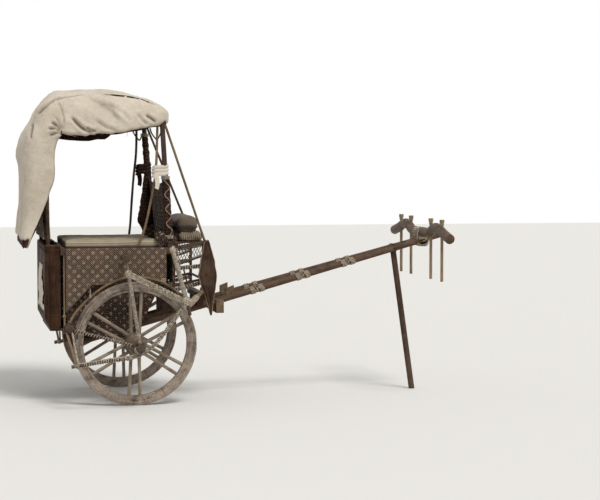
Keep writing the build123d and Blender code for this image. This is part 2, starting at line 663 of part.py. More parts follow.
keep("rear_boot", boot)
bearer = box((BOOT_REAR_X + BOOT_CHAMFER_X, rear_beam_x + 4), (-BOOT_END_Y + 10, BOOT_END_Y - 10),
             (BOOT_BOTTOM - FIT - BEARER_THICKNESS, BOOT_BOTTOM - FIT))
bearer -= cross_bar(rear_beam_x, REAR_BEAM_Z, REAR_BEAM_END_Y, BEAM_RADIUS, FIT)
keep("boot_bearer", bearer.solids().sort_by(SortBy.VOLUME)[-1])
spindle_y = (RAIL_INNER_Y + RAIL_OUTER_Y) / 2
spindle = bar((SPINDLE_X, spindle_y, REAR_BEAM_Z), (SPINDLE_X, spindle_y, rail_bottom - FIT),
              SPINDLE_RADIUS)
spindle += Pos(SPINDLE_X, spindle_y, SPINDLE_KNOB_Z) * Sphere(SPINDLE_KNOB_RADIUS)
spindle -= cross_bar(rear_beam_x, REAR_BEAM_Z, REAR_BEAM_END_Y, BEAM_RADIUS, FIT)
keep_pair("corner_spindles", spindle.solids().sort_by(SortBy.VOLUME)[-1])


def cushion(x_range, half_width, z_range, rounding):
    """Plain soft block with rounded edges."""
    block = box(x_range, (-half_width, half_width), z_range)
    return fillet(block.edges(), rounding)


keep("seat_pad", cushion((PAD_REAR_X, PAD_FRONT_X), PAD_END_Y,
                         (PLATFORM_TOP + FIT, PLATFORM_TOP + FIT + PAD_HEIGHT), PAD_ROUNDING))


# Canopy frame with its rails, cross bars and hoops
def rail_height(x):
    """Height of the canopy's side rail at a place along the cart."""
    share = (x - CANOPY_RAIL_REAR[0]) / (CANOPY_RAIL_FRONT[0] - CANOPY_RAIL_REAR[0])
    return CANOPY_RAIL_REAR[1] + share * (CANOPY_RAIL_FRONT[1] - CANOPY_RAIL_REAR[1])


rail_ends = [(x, CANOPY_RAIL_Y, z) for x, z in (CANOPY_RAIL_REAR, CANOPY_RAIL_FRONT)]
canopy_rail = bar(*rail_ends, CANOPY_RAIL_RADIUS)
canopy_rail_seat = bar(*rail_ends, CANOPY_RAIL_RADIUS, grow=FIT)
keep_pair("canopy_rails", canopy_rail)
canopy_bars = []
for place in CROSS_BAR_PLACES:
    whole_bar = cross_bar(place, rail_height(place), CANOPY_RAIL_Y, CROSS_BAR_RADIUS)
    canopy_bars.append(whole_bar - canopy_rail_seat - mirrored(canopy_rail_seat))
keep("canopy_cross_bars", *canopy_bars)
hoops = []
for place in HOOP_PLACES:
    foot_z = rail_height(place)
    crown_share = (place - CANOPY_CROWN[3][0]) / (CANOPY_CROWN[4][0] - CANOPY_CROWN[3][0])
    cloth_z = CANOPY_CROWN[3][1] + crown_share * (CANOPY_CROWN[4][1] - CANOPY_CROWN[3][1])
    crown_z = cloth_z - CANOPY_WALL - FIT - HOOP_RADIUS
    hoop_path = ThreePointArc((place, -CANOPY_RAIL_Y, foot_z), (place, 0, crown_z),
                              (place, CANOPY_RAIL_Y, foot_z))
    hoop_section = Plane(origin=hoop_path @ 0, z_dir=hoop_path % 0) * Circle(HOOP_RADIUS)
    hoop = sweep(hoop_section, path=hoop_path)
    hoops.append(hoop - canopy_rail_seat - mirrored(canopy_rail_seat))
keep("canopy_hoops", *hoops)

# Posts, stays and slanting rods under the canopy
post_foot = Vector(POST_X, POST_Y, PLATFORM_TOP + FIT)
post_top = Vector(POST_TOP_X, CANOPY_RAIL_Y, rail_height(POST_TOP_X))
front_post = bar(post_foot, post_top, POST_RADIUS)
front_post_seat = bar(post_foot, post_top, POST_RADIUS, grow=FIT)
floor_cut = box((POST_X - 60, POST_X + 60), (POST_Y - 60, POST_Y + 60),
                (PLATFORM_TOP - 40, PLATFORM_TOP + FIT))
front_bar_seat = cross_bar(CROSS_BAR_PLACES[-1], rail_height(CROSS_BAR_PLACES[-1]), CANOPY_RAIL_Y,
                           CROSS_BAR_RADIUS, FIT)
front_post = front_post - floor_cut - canopy_rail_seat - front_bar_seat
keep_pair("front_posts", front_post.solids().sort_by(SortBy.VOLUME)[-1])

rear_post_x = BOOT_REAR_X + BOOT_WALL + REAR_POST_RADIUS + FIT
rear_post_y = BOOT_END_Y - BOOT_WALL - REAR_POST_RADIUS - FIT
rear_post_foot_z = BOOT_BOTTOM + BOOT_CHAMFER_Z + REAR_POST_FOOT_LIFT
rear_post_route = (
    (rear_post_x, rear_post_y, rear_post_foot_z),
    (rear_post_x, rear_post_y, BOOT_TOP + REAR_POST_BEND_LIFT),
    (REAR_POST_TOP_X, CANOPY_RAIL_Y, rail_height(REAR_POST_TOP_X)),
)
rear_post_path = FilletPolyline(*rear_post_route, radius=REAR_POST_BEND)
rear_post_section = Plane(origin=rear_post_path @ 0, z_dir=rear_post_path % 0)
rear_post = sweep(rear_post_section * Circle(REAR_POST_RADIUS), path=rear_post_path)
keep_pair("rear_posts", (rear_post - canopy_rail_seat).solids().sort_by(SortBy.VOLUME)[-1])


def lean_y(z):
    """Distance of the front post's middle from the middle plane at a height."""
    share = (z - post_foot.Z) / (post_top.Z - post_foot.Z)
    return post_foot.Y + share * (post_top.Y - post_foot.Y)


def lean_x(z):
    """Place of the front post's middle along the cart at a height."""
    share = (z - post_foot.Z) / (post_top.Z - post_foot.Z)
    return post_foot.X + share * (post_top.X - post_foot.X)


stay_route = [(x, lean_y(z), z) for x, z in STAY_ROD_ROUTE]
stay_rod = bent_bar(stay_route, STAY_ROD_RADIUS)
stay_rod_seat = bent_bar(stay_route, STAY_ROD_RADIUS, FIT)
stay_floor = box((STAY_ROD_ROUTE[0][0] - 60, STAY_ROD_ROUTE[0][0] + 60), (POST_Y - 60, POST_Y + 60), (PLATFORM_TOP - 40, PLATFORM_TOP + FIT))
stay_rod = (stay_rod - stay_floor - canopy_rail_seat).solids().sort_by(SortBy.VOLUME)[-1]
seat_rail_rear, seat_rail_front, seat_rail_radius = SEAT_TOP_BAR
slant_foot = Vector(seat_rail_front[0] - 8, SEAT_Y, seat_rail_front[1])
slant_top = Vector(SLANT_TOP_X, CANOPY_RAIL_Y, rail_height(SLANT_TOP_X))
seat_rail_seat = bar((seat_rail_rear[0], SEAT_Y, seat_rail_rear[1]),
                     (seat_rail_front[0], SEAT_Y, seat_rail_front[1]), seat_rail_radius, grow=FIT)
slant_rod = bar(slant_foot, slant_top, STAY_ROD_RADIUS)
slant_rod -= cross_bar(SEAT_CROSS_BARS[0][0], SEAT_CROSS_BARS[0][1], SEAT_STUB_Y,
                       SEAT_CROSS_BARS[0][2], FIT)
slant_rod = slant_rod - front_bar_seat - canopy_rail_seat - seat_rail_seat - front_post_seat
keep_pair("canopy_stays", stay_rod, slant_rod.solids().sort_by(SortBy.VOLUME)[-1])

tie_x = (lean_x(POST_TIE_Z) + STAY_ROD_ROUTE[3][0]) / 2
tie_span = lean_x(POST_TIE_Z) - STAY_ROD_ROUTE[3][0]
tie_section = Pos(tie_x, lean_y(POST_TIE_Z), POST_TIE_Z - POST_TIE_HEIGHT / 2)
post_tie = extrude(tie_section * SlotCenterToCenter(tie_span, POST_TIE_THICKNESS), POST_TIE_HEIGHT)
keep_pair("post_ties", post_tie - front_post_seat - stay_rod_seat)

# Screens between the posts
screen_sections = []
for z in (SCREEN_BOTTOM, SCREEN_TOP):
    half = lean_y(z) - POST_RADIUS * SLANT_SHARE - FIT
    screen_sections.append(Pos(lean_x(z), 0, z) * Rectangle(SCREEN_THICKNESS, 2 * half))
keep("front_screen", loft(screen_sections))


def rear_post_place(z):
    """Middle of the left rear post above the boot."""
    low, high = Vector(*rear_post_route[1]), Vector(*rear_post_route[2])
    return low + (high - low) * ((z - low.Z) / (high.Z - low.Z))


back_sections = []
for z in (BACK_SCREEN_BOTTOM, BACK_SCREEN_TOP):
    place = rear_post_place(z)
    half = place.Y - REAR_POST_RADIUS * SLANT_SHARE - FIT
    back_sections.append(Pos(place.X, 0, z) * Rectangle(SCREEN_THICKNESS, 2 * half))
keep("back_screen", loft(back_sections))

# Canopy cloth: side outline and cross outline, both hollowed by the wall
crown_points = [(CANOPY_REAR_X, CANOPY_SKIRT_Z), *CANOPY_CROWN, (CANOPY_FRONT_X, CANOPY_SKIRT_Z)]
crown_sketch = make_face(Polyline(*crown_points, close=True))
crown_corners = [v for v in crown_sketch.vertices() if v.Y > CANOPY_SKIRT_Z + 1]
crown_sketch = fillet(crown_corners, CANOPY_CROWN_ROUNDING)
cross_line = Polyline((-CANOPY_SHOULDER_Y, CANOPY_SHOULDER_Z), (-CANOPY_HALF_WIDTH, CANOPY_SIDE_Z),
                      (-CANOPY_HALF_WIDTH, CANOPY_SKIRT_Z), (CANOPY_HALF_WIDTH, CANOPY_SKIRT_Z),
                      (CANOPY_HALF_WIDTH, CANOPY_SIDE_Z), (CANOPY_SHOULDER_Y, CANOPY_SHOULDER_Z))
cross_arc = ThreePointArc((CANOPY_SHOULDER_Y, CANOPY_SHOULDER_Z), (0, CANOPY_RIDGE_Z),
                          (-CANOPY_SHOULDER_Y, CANOPY_SHOULDER_Z))
cross_sketch = make_face([*cross_line.edges(), *cross_arc.edges()])
cross_corners = [v for v in cross_sketch.vertices() if v.Y > CANOPY_SKIRT_Z + 1]
cross_sketch = fillet(cross_corners, CANOPY_CROWN_ROUNDING)


def canopy_block(inset):
    """Solid under the canopy's outer skin, or under its inner skin."""
    side, cross = crown_sketch, cross_sketch
    if inset:
        side = offset(crown_sketch, -inset)
        cross = offset(cross_sketch, -inset)
    side_block = extrude(Plane.XZ.offset(-CANOPY_HALF_WIDTH - 10) * side,
                         2 * CANOPY_HALF_WIDTH + 20, dir=(0, -1, 0))
    cross_block = extrude(Plane.YZ.offset(CANOPY_REAR_X - 10) * cross,
                          CANOPY_FRONT_X - CANOPY_REAR_X + 20, dir=(1, 0, 0))
    return side_block & cross_block


def under_hem(lift):
    """Space below the canopy's hem, raised by a lift."""
    line = [(x, z + lift) for x, z in CANOPY_HEM]
    corners = [(CANOPY_REAR_X - 40, CANOPY_SKIRT_Z - 60), (CANOPY_REAR_X - 40, line[0][1]), *line,
               (CANOPY_FRONT_X + 40, line[-1][1]), (CANOPY_FRONT_X + 40, CANOPY_SKIRT_Z - 60)]
    return plate(corners, -CANOPY_HALF_WIDTH - 20, CANOPY_HALF_WIDTH + 20)


canopy_cloth = canopy_block(0) - canopy_block(CANOPY_WALL) - under_hem(0)
keep("canopy_cloth", canopy_cloth)

# Rear drape: back panel and two side corners, hung under the canopy's hem
drape_side = plate(DRAPE_SIDE, CANOPY_HALF_WIDTH - DRAPE_THICKNESS, CANOPY_HALF_WIDTH)
drape_back = box((CANOPY_REAR_X, CANOPY_REAR_X + DRAPE_THICKNESS),
                 (-CANOPY_HALF_WIDTH, CANOPY_HALF_WIDTH), (DRAPE_BOTTOM, DRAPE_SIDE[0][1]))
drape = drape_back + drape_side + mirrored(drape_side)
above_hem = box((CANOPY_REAR_X - 40, CANOPY_FRONT_X), (-CANOPY_HALF_WIDTH - 20, CANOPY_HALF_WIDTH + 20),
                (CANOPY_SKIRT_Z + 60, DRAPE_SIDE[0][1] + 60)) - under_hem(-FIT)
keep("rear_drape", drape - above_hem)

# Driver's seat
seat = None
for rear, front, radius in SEAT_BARS:
    for side_y in (-SEAT_Y, SEAT_Y):
        piece = bar((rear[0], side_y, rear[1]), (front[0], side_y, front[1]), radius)
        seat = piece if seat is None else seat + piece
for x, z, radius, half in SEAT_CROSS_BARS:
    seat += cross_bar(x, z, half, radius)
seat -= box((PLATFORM_FRONT_X - 60, PLATFORM_FRONT_X + FIT), (-RAIL_OUTER_Y, RAIL_OUTER_Y),
            (rail_bottom - 10, PLATFORM_TOP + 20))
keep("driver_frame", seat)
keep("driver_seat", box(SEAT_BOARD[:2], (-SEAT_BOARD[2], SEAT_BOARD[2]), SEAT_BOARD[3:]))
keep_pair("driver_nets", plate(NET_OUTLINE, SEAT_Y - NET_THICKNESS / 2, SEAT_Y + NET_THICKNESS / 2))
for name, size in (("lower_cushion", LOWER_CUSHION), ("upper_cushion", UPPER_CUSHION)):
    keep(name, cushion(size[:2], size[2], size[3:], CUSHION_ROUNDING))
keep("driver_apron", plate(APRON_OUTLINE, -SEAT_STUB_Y - FIT - APRON_THICKNESS, -SEAT_STUB_Y - FIT))
keep("front_cloth", front_cloth)

# Footrest under the poles and cleats on them
footrest = box(FOOTREST_X, (-FOOTREST_END_Y, FOOTREST_END_Y), (FOOTREST_BOTTOM, pole_z(FOOTREST_X[0])))
footrest += box(FOOTREST_X, (FOOTREST_END_Y - FOOTREST_BLOCK, FOOTREST_END_Y),
                (FOOTREST_BOTTOM, FOOTREST_TOP))
footrest += box(FOOTREST_X, (-FOOTREST_END_Y, -FOOTREST_END_Y + FOOTREST_BLOCK),
                (FOOTREST_BOTTOM, FOOTREST_TOP))
keep("footrest", footrest - pole_seats)
cleat_y = pole_y(sum(CLEAT_X) / 2)
cleat_outline = ((CLEAT_X[0], pole_z(CLEAT_X[0])), (CLEAT_X[1], pole_z(CLEAT_X[1])),
                 (CLEAT_X[1], CLEAT_TOP), (CLEAT_X[0], CLEAT_TOP - 22))
cleat = plate(cleat_outline, cleat_y - CLEAT_WIDTH / 2, cleat_y + CLEAT_WIDTH / 2) - pole_seat
keep_pair("pole_cleats", cleat.solids().sort_by(SortBy.VOLUME)[-1])

# Rope lashings round what passes through them
seat_bar_seats = [bar((rear[0], SEAT_Y, rear[1]), (front[0], SEAT_Y, front[1]), radius, grow=FIT)
                  for rear, front, radius in (LOW_SEAT_BAR, FRONT_SEAT_BAR)]
bolster_cut = box((bolster_x[0] - FIT, bolster_x[1] + FIT),
                  (-BOLSTER_END_Y - FIT, BOLSTER_END_Y + FIT), (600, BOLSTER_TOP + FIT))
platform_cut = box((PLATFORM_REAR_X, PLATFORM_FRONT_X + FIT), (0, RAIL_OUTER_Y + FIT),
                   (rail_bottom - FIT, PLATFORM_TOP + FIT))
lashings = [
    ball(JOINT_KNOT) - leg_seat,
    ball(TAIL_KNOT) - bow_seat,
    ball(CORNER_KNOT) - cross_bar(rear_beam_x, REAR_BEAM_Z, REAR_BEAM_END_Y + 5, BEAM_RADIUS, FIT),
    ball(AXLE_KNOT) - axle_seat - bow_seat,
    ball(PLATFORM_KNOT) - platform_cut - front_post_seat,
    ball(strut_knot) - strut_seat,
    ball(arm_knot) - cross_bar(ARM_X, arm_z, ARM_END_Y, BEAM_RADIUS, FIT),
    ball(BRACE_KNOT) - seat_bar_seats[0] - seat_bar_seats[1] - bolster_cut,
]
keep_pair("rope_lashings", *lashings)
keep("yoke_lashing", yoke_lashing)

os.makedirs("parts", exist_ok=True)
for name, solids in pieces.items():
    placed = [Pos(-ORIGIN_X, 0, WHEEL_RADIUS - AXLE_LINE) * solid for solid in solids]
    export_step(Compound(children=placed), f"parts/{name}.step")
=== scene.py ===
"""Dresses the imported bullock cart: rope work, wheels, canopy, hangings, cushions and finishes.

Places are written from the axle line on the ground, in metres, with +X to the yoke, +Y to the
left and +Z up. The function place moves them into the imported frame.
"""

import logging
import math
from collections.abc import Callable, Iterable, Sequence
from dataclasses import dataclass
from enum import Enum

import bpy
import numpy as np
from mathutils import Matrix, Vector, noise


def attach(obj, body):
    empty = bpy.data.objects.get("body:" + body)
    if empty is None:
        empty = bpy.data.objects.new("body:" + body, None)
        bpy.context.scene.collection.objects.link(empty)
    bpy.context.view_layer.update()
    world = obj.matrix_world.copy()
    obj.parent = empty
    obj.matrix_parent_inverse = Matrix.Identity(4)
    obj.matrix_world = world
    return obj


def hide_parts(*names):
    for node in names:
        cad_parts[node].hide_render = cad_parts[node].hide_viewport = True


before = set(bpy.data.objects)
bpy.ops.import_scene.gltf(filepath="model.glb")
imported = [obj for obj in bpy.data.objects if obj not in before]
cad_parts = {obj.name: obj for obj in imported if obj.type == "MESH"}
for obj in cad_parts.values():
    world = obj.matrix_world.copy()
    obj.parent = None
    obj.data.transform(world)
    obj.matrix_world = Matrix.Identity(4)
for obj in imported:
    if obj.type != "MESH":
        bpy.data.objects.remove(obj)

LOG = logging.getLogger("cart")
ORIGIN_X = 0.785
WHEEL_RADIUS = 0.44
UV_NAME = "Map"
SOFT_EDGE = 60
RIGHT = -1
LEFT = 1
SIDE_NAMES = {RIGHT: "right", LEFT: "left"}

Pair = tuple[float, float]
Colour = tuple[float, float, float]
Place = tuple[float, float, float]
Table = tuple[Pair, ...]
Points = np.ndarray
Obj = bpy.types.Object
Mesh = bpy.types.Mesh
Material = bpy.types.Material
Node = bpy.types.Node
Socket = bpy.types.NodeSocket
Outputs = bpy.types.NodeOutputs
Tree = bpy.types.NodeTree
Surface = Callable[[float, float], Vector]
Effect = Callable[["Graph", Outputs], dict[str, Socket]]


def place(x: float, y: float, z: float) -> Vector:
    """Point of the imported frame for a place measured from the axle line.

    Args:
        x: Metres ahead of the axle.
        y: Metres to the left of the middle.
        z: Metres above the ground.

    Returns:
        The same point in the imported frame.
    """
    return Vector((x - ORIGIN_X, y, z))


def between(value: float, table: Sequence[Pair]) -> float:
    """Reads a value from a table of straight runs.

    Args:
        value: Where to read.
        table: Pairs of place and value, by rising place.

    Returns:
        The value on the run that holds the place.
    """
    return float(np.interp(value, [row[0] for row in table], [row[1] for row in table]))


def clamp(value: float, low: float = 0.0, high: float = 1.0) -> float:
    """Value kept between two limits."""
    return max(low, min(high, value))


def sided(word: str, side: int) -> str:
    """Name of a piece that stands on one side."""
    return f"{word}_{SIDE_NAMES[side]}"


def lengths_along(line: Points) -> Points:
    """Length of a line from its start to each of its points."""
    return np.concatenate([[0], np.cumsum(np.linalg.norm(np.diff(line, axis=0), axis=1))])


def read_along(at: Points, lengths: Points, rows: Points) -> Points:
    """Rows read at some lengths along the line that they belong to."""
    return np.stack([np.interp(at, lengths, rows[:, k]) for k in range(rows.shape[1])], axis=1)


def drifting(spots: Points, rates: Place, shift: Place = (0.0, 0.0, 0.0)) -> Points:
    """Value that drifts from point to point, faster where the rates are higher."""
    return np.array([noise.noise(Vector(row)) for row in spots * rates + shift])


def read_points(mesh: Mesh, field: str) -> Points:
    """Reads the places or the normals of a mesh's points, one row each.

    Args:
        mesh: The mesh.
        field: What is read, in the words of the mesh.

    Returns:
        The rows.
    """
    flat = np.empty(len(mesh.vertices) * 3)
    mesh.vertices.foreach_get(field, flat)
    return flat.reshape(-1, 3)


def sheet_piece(name: str, points: Sequence[Points], faces: list[list[int]], uvs: list[list[Pair]]) -> Obj:
    """Makes a piece of lists of points and faces, with a UV map.

    Args:
        name: Name of the piece.
        points: Arrays of points, which the faces count through.
        faces: Corners of each face.
        uvs: Place of each corner on the map, in metres.

    Returns:
        The piece, at the origin.
    """
    mesh = bpy.data.meshes.new(name)
    mesh.from_pydata(np.concatenate(points).tolist(), [], faces)
    layer = mesh.uv_layers.new(name=UV_NAME)
    layer.data.foreach_set("uv", [value for face in uvs for pair in face for value in pair])
    obj = bpy.data.objects.new(name, mesh)
    bpy.context.scene.collection.objects.link(obj)
    return obj


class Bench:
    """Small set of modelling moves, each left with nothing selected that isn't meant."""

    @staticmethod
    def only(obj: Obj) -> None:
        """Selects one object and makes it active.

        Args:
            obj: The object.
        """
        if bpy.context.object is not None and bpy.context.object.mode != "OBJECT":
            bpy.ops.object.mode_set(mode="OBJECT")
        bpy.ops.object.select_all(action="DESELECT")
        obj.select_set(True)
        bpy.context.view_layer.objects.active = obj

    @staticmethod
    def settle(obj: Obj, name: str) -> Obj:
        """Names an object and moves its place, turn and size into its mesh.

        Args:
            obj: The object.
            name: Its new name.

        Returns:
            The object.
        """
        Bench.only(obj)
        bpy.ops.object.transform_apply(location=True, rotation=True, scale=True)
        obj.name = name
        obj.data.name = name
        return obj

    @staticmethod
    def cube(name: str, low: Vector, high: Vector) -> Obj:
        """Adds a box between two corners.

        Args:
            name: Name of the new object.
            low: Lowest corner.
            high: Highest corner.

        Returns:
            The box.
        """
        bpy.ops.object.select_all(action="DESELECT")
        bpy.ops.mesh.primitive_cube_add(size=1, location=(low + high) / 2)
        obj = bpy.context.object
        obj.scale = high - low
        return Bench.settle(obj, name)

    @staticmethod
    def grid(name: str, columns: int, rows: int, shape: Surface, scale: Pair) -> Obj:
        """Adds a grid and lays it along a surface, with its own UV map in metres.

        Args:
            name: Name of the new object.
            columns: Points along u.
            rows: Points along v.
            shape: Surface, from u and v between 0 and 1 to a point.
            scale: Metres that u and v stand for in the UV map.

        Returns:
            The sheet, one face thick.
        """
        bpy.ops.object.select_all(action="DESELECT")
        bpy.ops.mesh.primitive_grid_add(x_subdivisions=columns, y_subdivisions=rows, size=1)
        obj = bpy.context.object
        mesh = obj.data
        shares = [(v.co.x + 0.5, v.co.y + 0.5) for v in mesh.vertices]
        layer = mesh.uv_layers.active or mesh.uv_layers.new(name=UV_NAME)
        layer.name = UV_NAME
        for loop in mesh.loops:
            u, v = shares[loop.vertex_index]
            layer.data[loop.index].uv = (u * scale[0], v * scale[1])
        for vertex, (u, v) in zip(mesh.vertices, shares):
            vertex.co = shape(u, v)
        obj.name = name
        mesh.name = name
        mesh.update()
        return obj

    @staticmethod
    def turned(name: str, profile: Sequence[Pair], centre: Vector, steps: int) -> Obj:
        """Spins a closed outline of places across and radii about a line across the cart.

        Args:
            name: Name of the new object.
            profile: Pairs of y and radius, all the way round the section.
            centre: A point on the line that it turns about.
            steps: Number of steps in the whole turn.

        Returns:
            The turned solid.
        """
        bpy.ops.object.select_all(action="DESELECT")
        bpy.ops.mesh.primitive_circle_add(vertices=len(profile), fill_type="NOTHING")
        obj = bpy.context.object
        for vertex, (y, radius) in zip(obj.data.vertices, profile):
            vertex.co = Vector((centre.x, y, centre.z + radius))
        Bench.only(obj)
        bpy.ops.object.mode_set(mode="EDIT")
        bpy.ops.mesh.select_all(action="SELECT")
        bpy.ops.mesh.spin(steps=steps, angle=math.tau, center=centre, axis=(0, 1, 0))
        bpy.ops.object.mode_set(mode="OBJECT")
        obj.name = name
        obj.data.name = name
        return Bench.weld(obj, 0.00002, True)

    @staticmethod
    def weld(obj: Obj, reach: float, outward: bool = False) -> Obj:
        """Merges points that lie closer than a reach.

        Args:
            obj: The piece.
            reach: Largest distance between points that become one.
            outward: Whether all faces are turned outwards too.

        Returns:
            The piece.
        """
        Bench.only(obj)
        bpy.ops.object.mode_set(mode="EDIT")
        bpy.ops.mesh.select_all(action="SELECT")
        bpy.ops.mesh.remove_doubles(threshold=reach)
        if outward:
            bpy.ops.mesh.normals_make_consistent(inside=False)
        bpy.ops.object.mode_set(mode="OBJECT")
        return obj

    @staticmethod
    def modify(obj: Obj, kind: str, **settings: object) -> Obj:
        """Adds a modifier with its settings and applies it.

        Args:
            obj: The piece.
            kind: Kind of modifier.
            **settings: Its settings.

        Returns:
            The piece.
        """
        Bench.only(obj)
        modifier = obj.modifiers.new(kind.title(), kind)
        for key, value in settings.items():
            setattr(modifier, key, value)
        bpy.ops.object.modifier_apply(modifier=modifier.name)
        return obj

    @staticmethod
    def smooth(obj: Obj, degrees: float = 40) -> Obj:
        """Shades an object smooth, except at edges sharper than an angle.

        Args:
            obj: The piece.
            degrees: Sharpest angle that is smoothed.

        Returns:
            The piece.
        """
        Bench.only(obj)
        bpy.ops.object.shade_smooth_by_angle(angle=math.radians(degrees))
        return obj

    @staticmethod
    def thicken(obj: Obj, thickness: float, offset: float = -1.0) -> Obj:
        """Gives a sheet its wall."""
        return Bench.modify(obj, "SOLIDIFY", thickness=thickness, offset=offset, use_rim=True)

    @staticmethod
    def join(objects: Sequence[Obj], name: str) -> Obj:
        """Joins several meshes into one piece.

        Args:
            objects: The meshes, of which the first takes the others in.
            name: Name of the joined piece.

        Returns:
            The joined piece.
        """
        Bench.only(objects[0])
        for other in objects[1:]:
            other.select_set(True)
        bpy.ops.object.join()
        objects[0].name = name
        objects[0].data.name = name
        return objects[0]


def hand_over(obj: Obj, finish: "Finish", stands_for: Iterable[str] = (),
              body: str = "cart") -> Obj:
    """Gives a finished piece its finish, its body and what it stands for.

    Args:
        obj: The finished piece.
        finish: Its finish.
        stands_for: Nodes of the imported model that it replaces.
        body: Name of the body that it rides on.

    Returns:
        The piece.
    """
    obj.data.materials.clear()
    obj.data.materials.append(finish.build())
    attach(obj, body)
    for node in stands_for:
        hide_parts(node)
    LOG.info("%s: %d faces on %s", obj.name, len(obj.data.polygons), body)
    return obj


def dress(finishes: dict[str, "Finish"]) -> None:
    """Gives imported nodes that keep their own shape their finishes.

    Args:
        finishes: The finish of each node, by the node's name.
    """
    for node, finish in finishes.items():
        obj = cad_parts[node]
        obj.data.materials.clear()
        obj.data.materials.append(finish.build())
        LOG.info("%s keeps its shape", node)


def lay_flat(obj: Obj, along: Callable[[Vector], Pair]) -> None:
    """Gives a cloth's map the flat place that each of its points has.

    Args:
        obj: The cloth.
        along: From a point to its two places on the flat cloth, in metres.
    """
    mesh = obj.data
    layer = mesh.uv_layers.active
    for loop in mesh.loops:
        layer.data[loop.index].uv = along(mesh.vertices[loop.vertex_index].co)


def hang_sheet(obj: Obj, thickness: float, finish: "Finish",
               rests_on: str, stands_for: Iterable[str] = (),
               offset: float = 0.0) -> Obj:
    """Args:
        obj: The cloth, one face thick.
        thickness: Its thickness in metres.
        finish: Its material.
        rests_on: What carries it; not used.
        stands_for: Nodes that it replaces.
        offset: Side to which the thickness goes, -1 for inwards and 0 for both.

    Returns:
        The cloth.
    """
    Bench.thicken(obj, thickness, offset)
    Bench.smooth(obj, SOFT_EDGE)
    hand_over(obj, finish, stands_for)
    return obj


def resample(points: Sequence[Vector], step: float) -> Points:
    """Even points on a smooth line through some points.

    Args:
        points: Points that the line passes through.
        step: Distance between the new points.

    Returns:
        Array of points, one row each.
    """
    if len(points) == 2:
        fine = np.array([points[0].lerp(points[1], i / 40) for i in range(41)])
    else:
        padded = [points[0] * 2 - points[1], *points, points[-1] * 2 - points[-2]]
        rows = []
        for a, b, c, d in zip(padded, padded[1:], padded[2:], padded[3:]):
            for i in range(24):
                t = i / 24
                rows.append(0.5 * ((2 * b) + (c - a) * t + (2 * a - 5 * b + 4 * c - d) * t * t
                                   + (3 * b - a - 3 * c + d) * t ** 3))
        rows.append(points[-1])
        fine = np.array(rows)
    lengths = lengths_along(fine)
    count = max(2, int(round(lengths[-1] / step)) + 1)
    want = np.linspace(0, lengths[-1], count)
    return read_along(want, lengths, fine)


def frames_along(line: Points) -> tuple[Points, Points, Points]:
    """Directions along and across a line that turn as little as they can.

    Args:
        line: Points of the line, one row each.

    Returns:
        Unit directions along the line, and two across it.
    """
    along = np.gradient(line, axis=0)
    along /= np.maximum(np.linalg.norm(along, axis=1, keepdims=True), 1e-12)
    helper = np.array([0.0, 0.0, 1.0]) if abs(along[0][2]) < 0.9 else np.array([1.0, 0.0, 0.0])
    side = np.cross(along[0], helper)
    side /= np.linalg.norm(side)
    sides = []
    for direction in along:
        side = side - direction * np.dot(side, direction)
        side /= max(np.linalg.norm(side), 1e-12)
        sides.append(side.copy())
    first = np.array(sides)
    return along, first, np.cross(along, first)


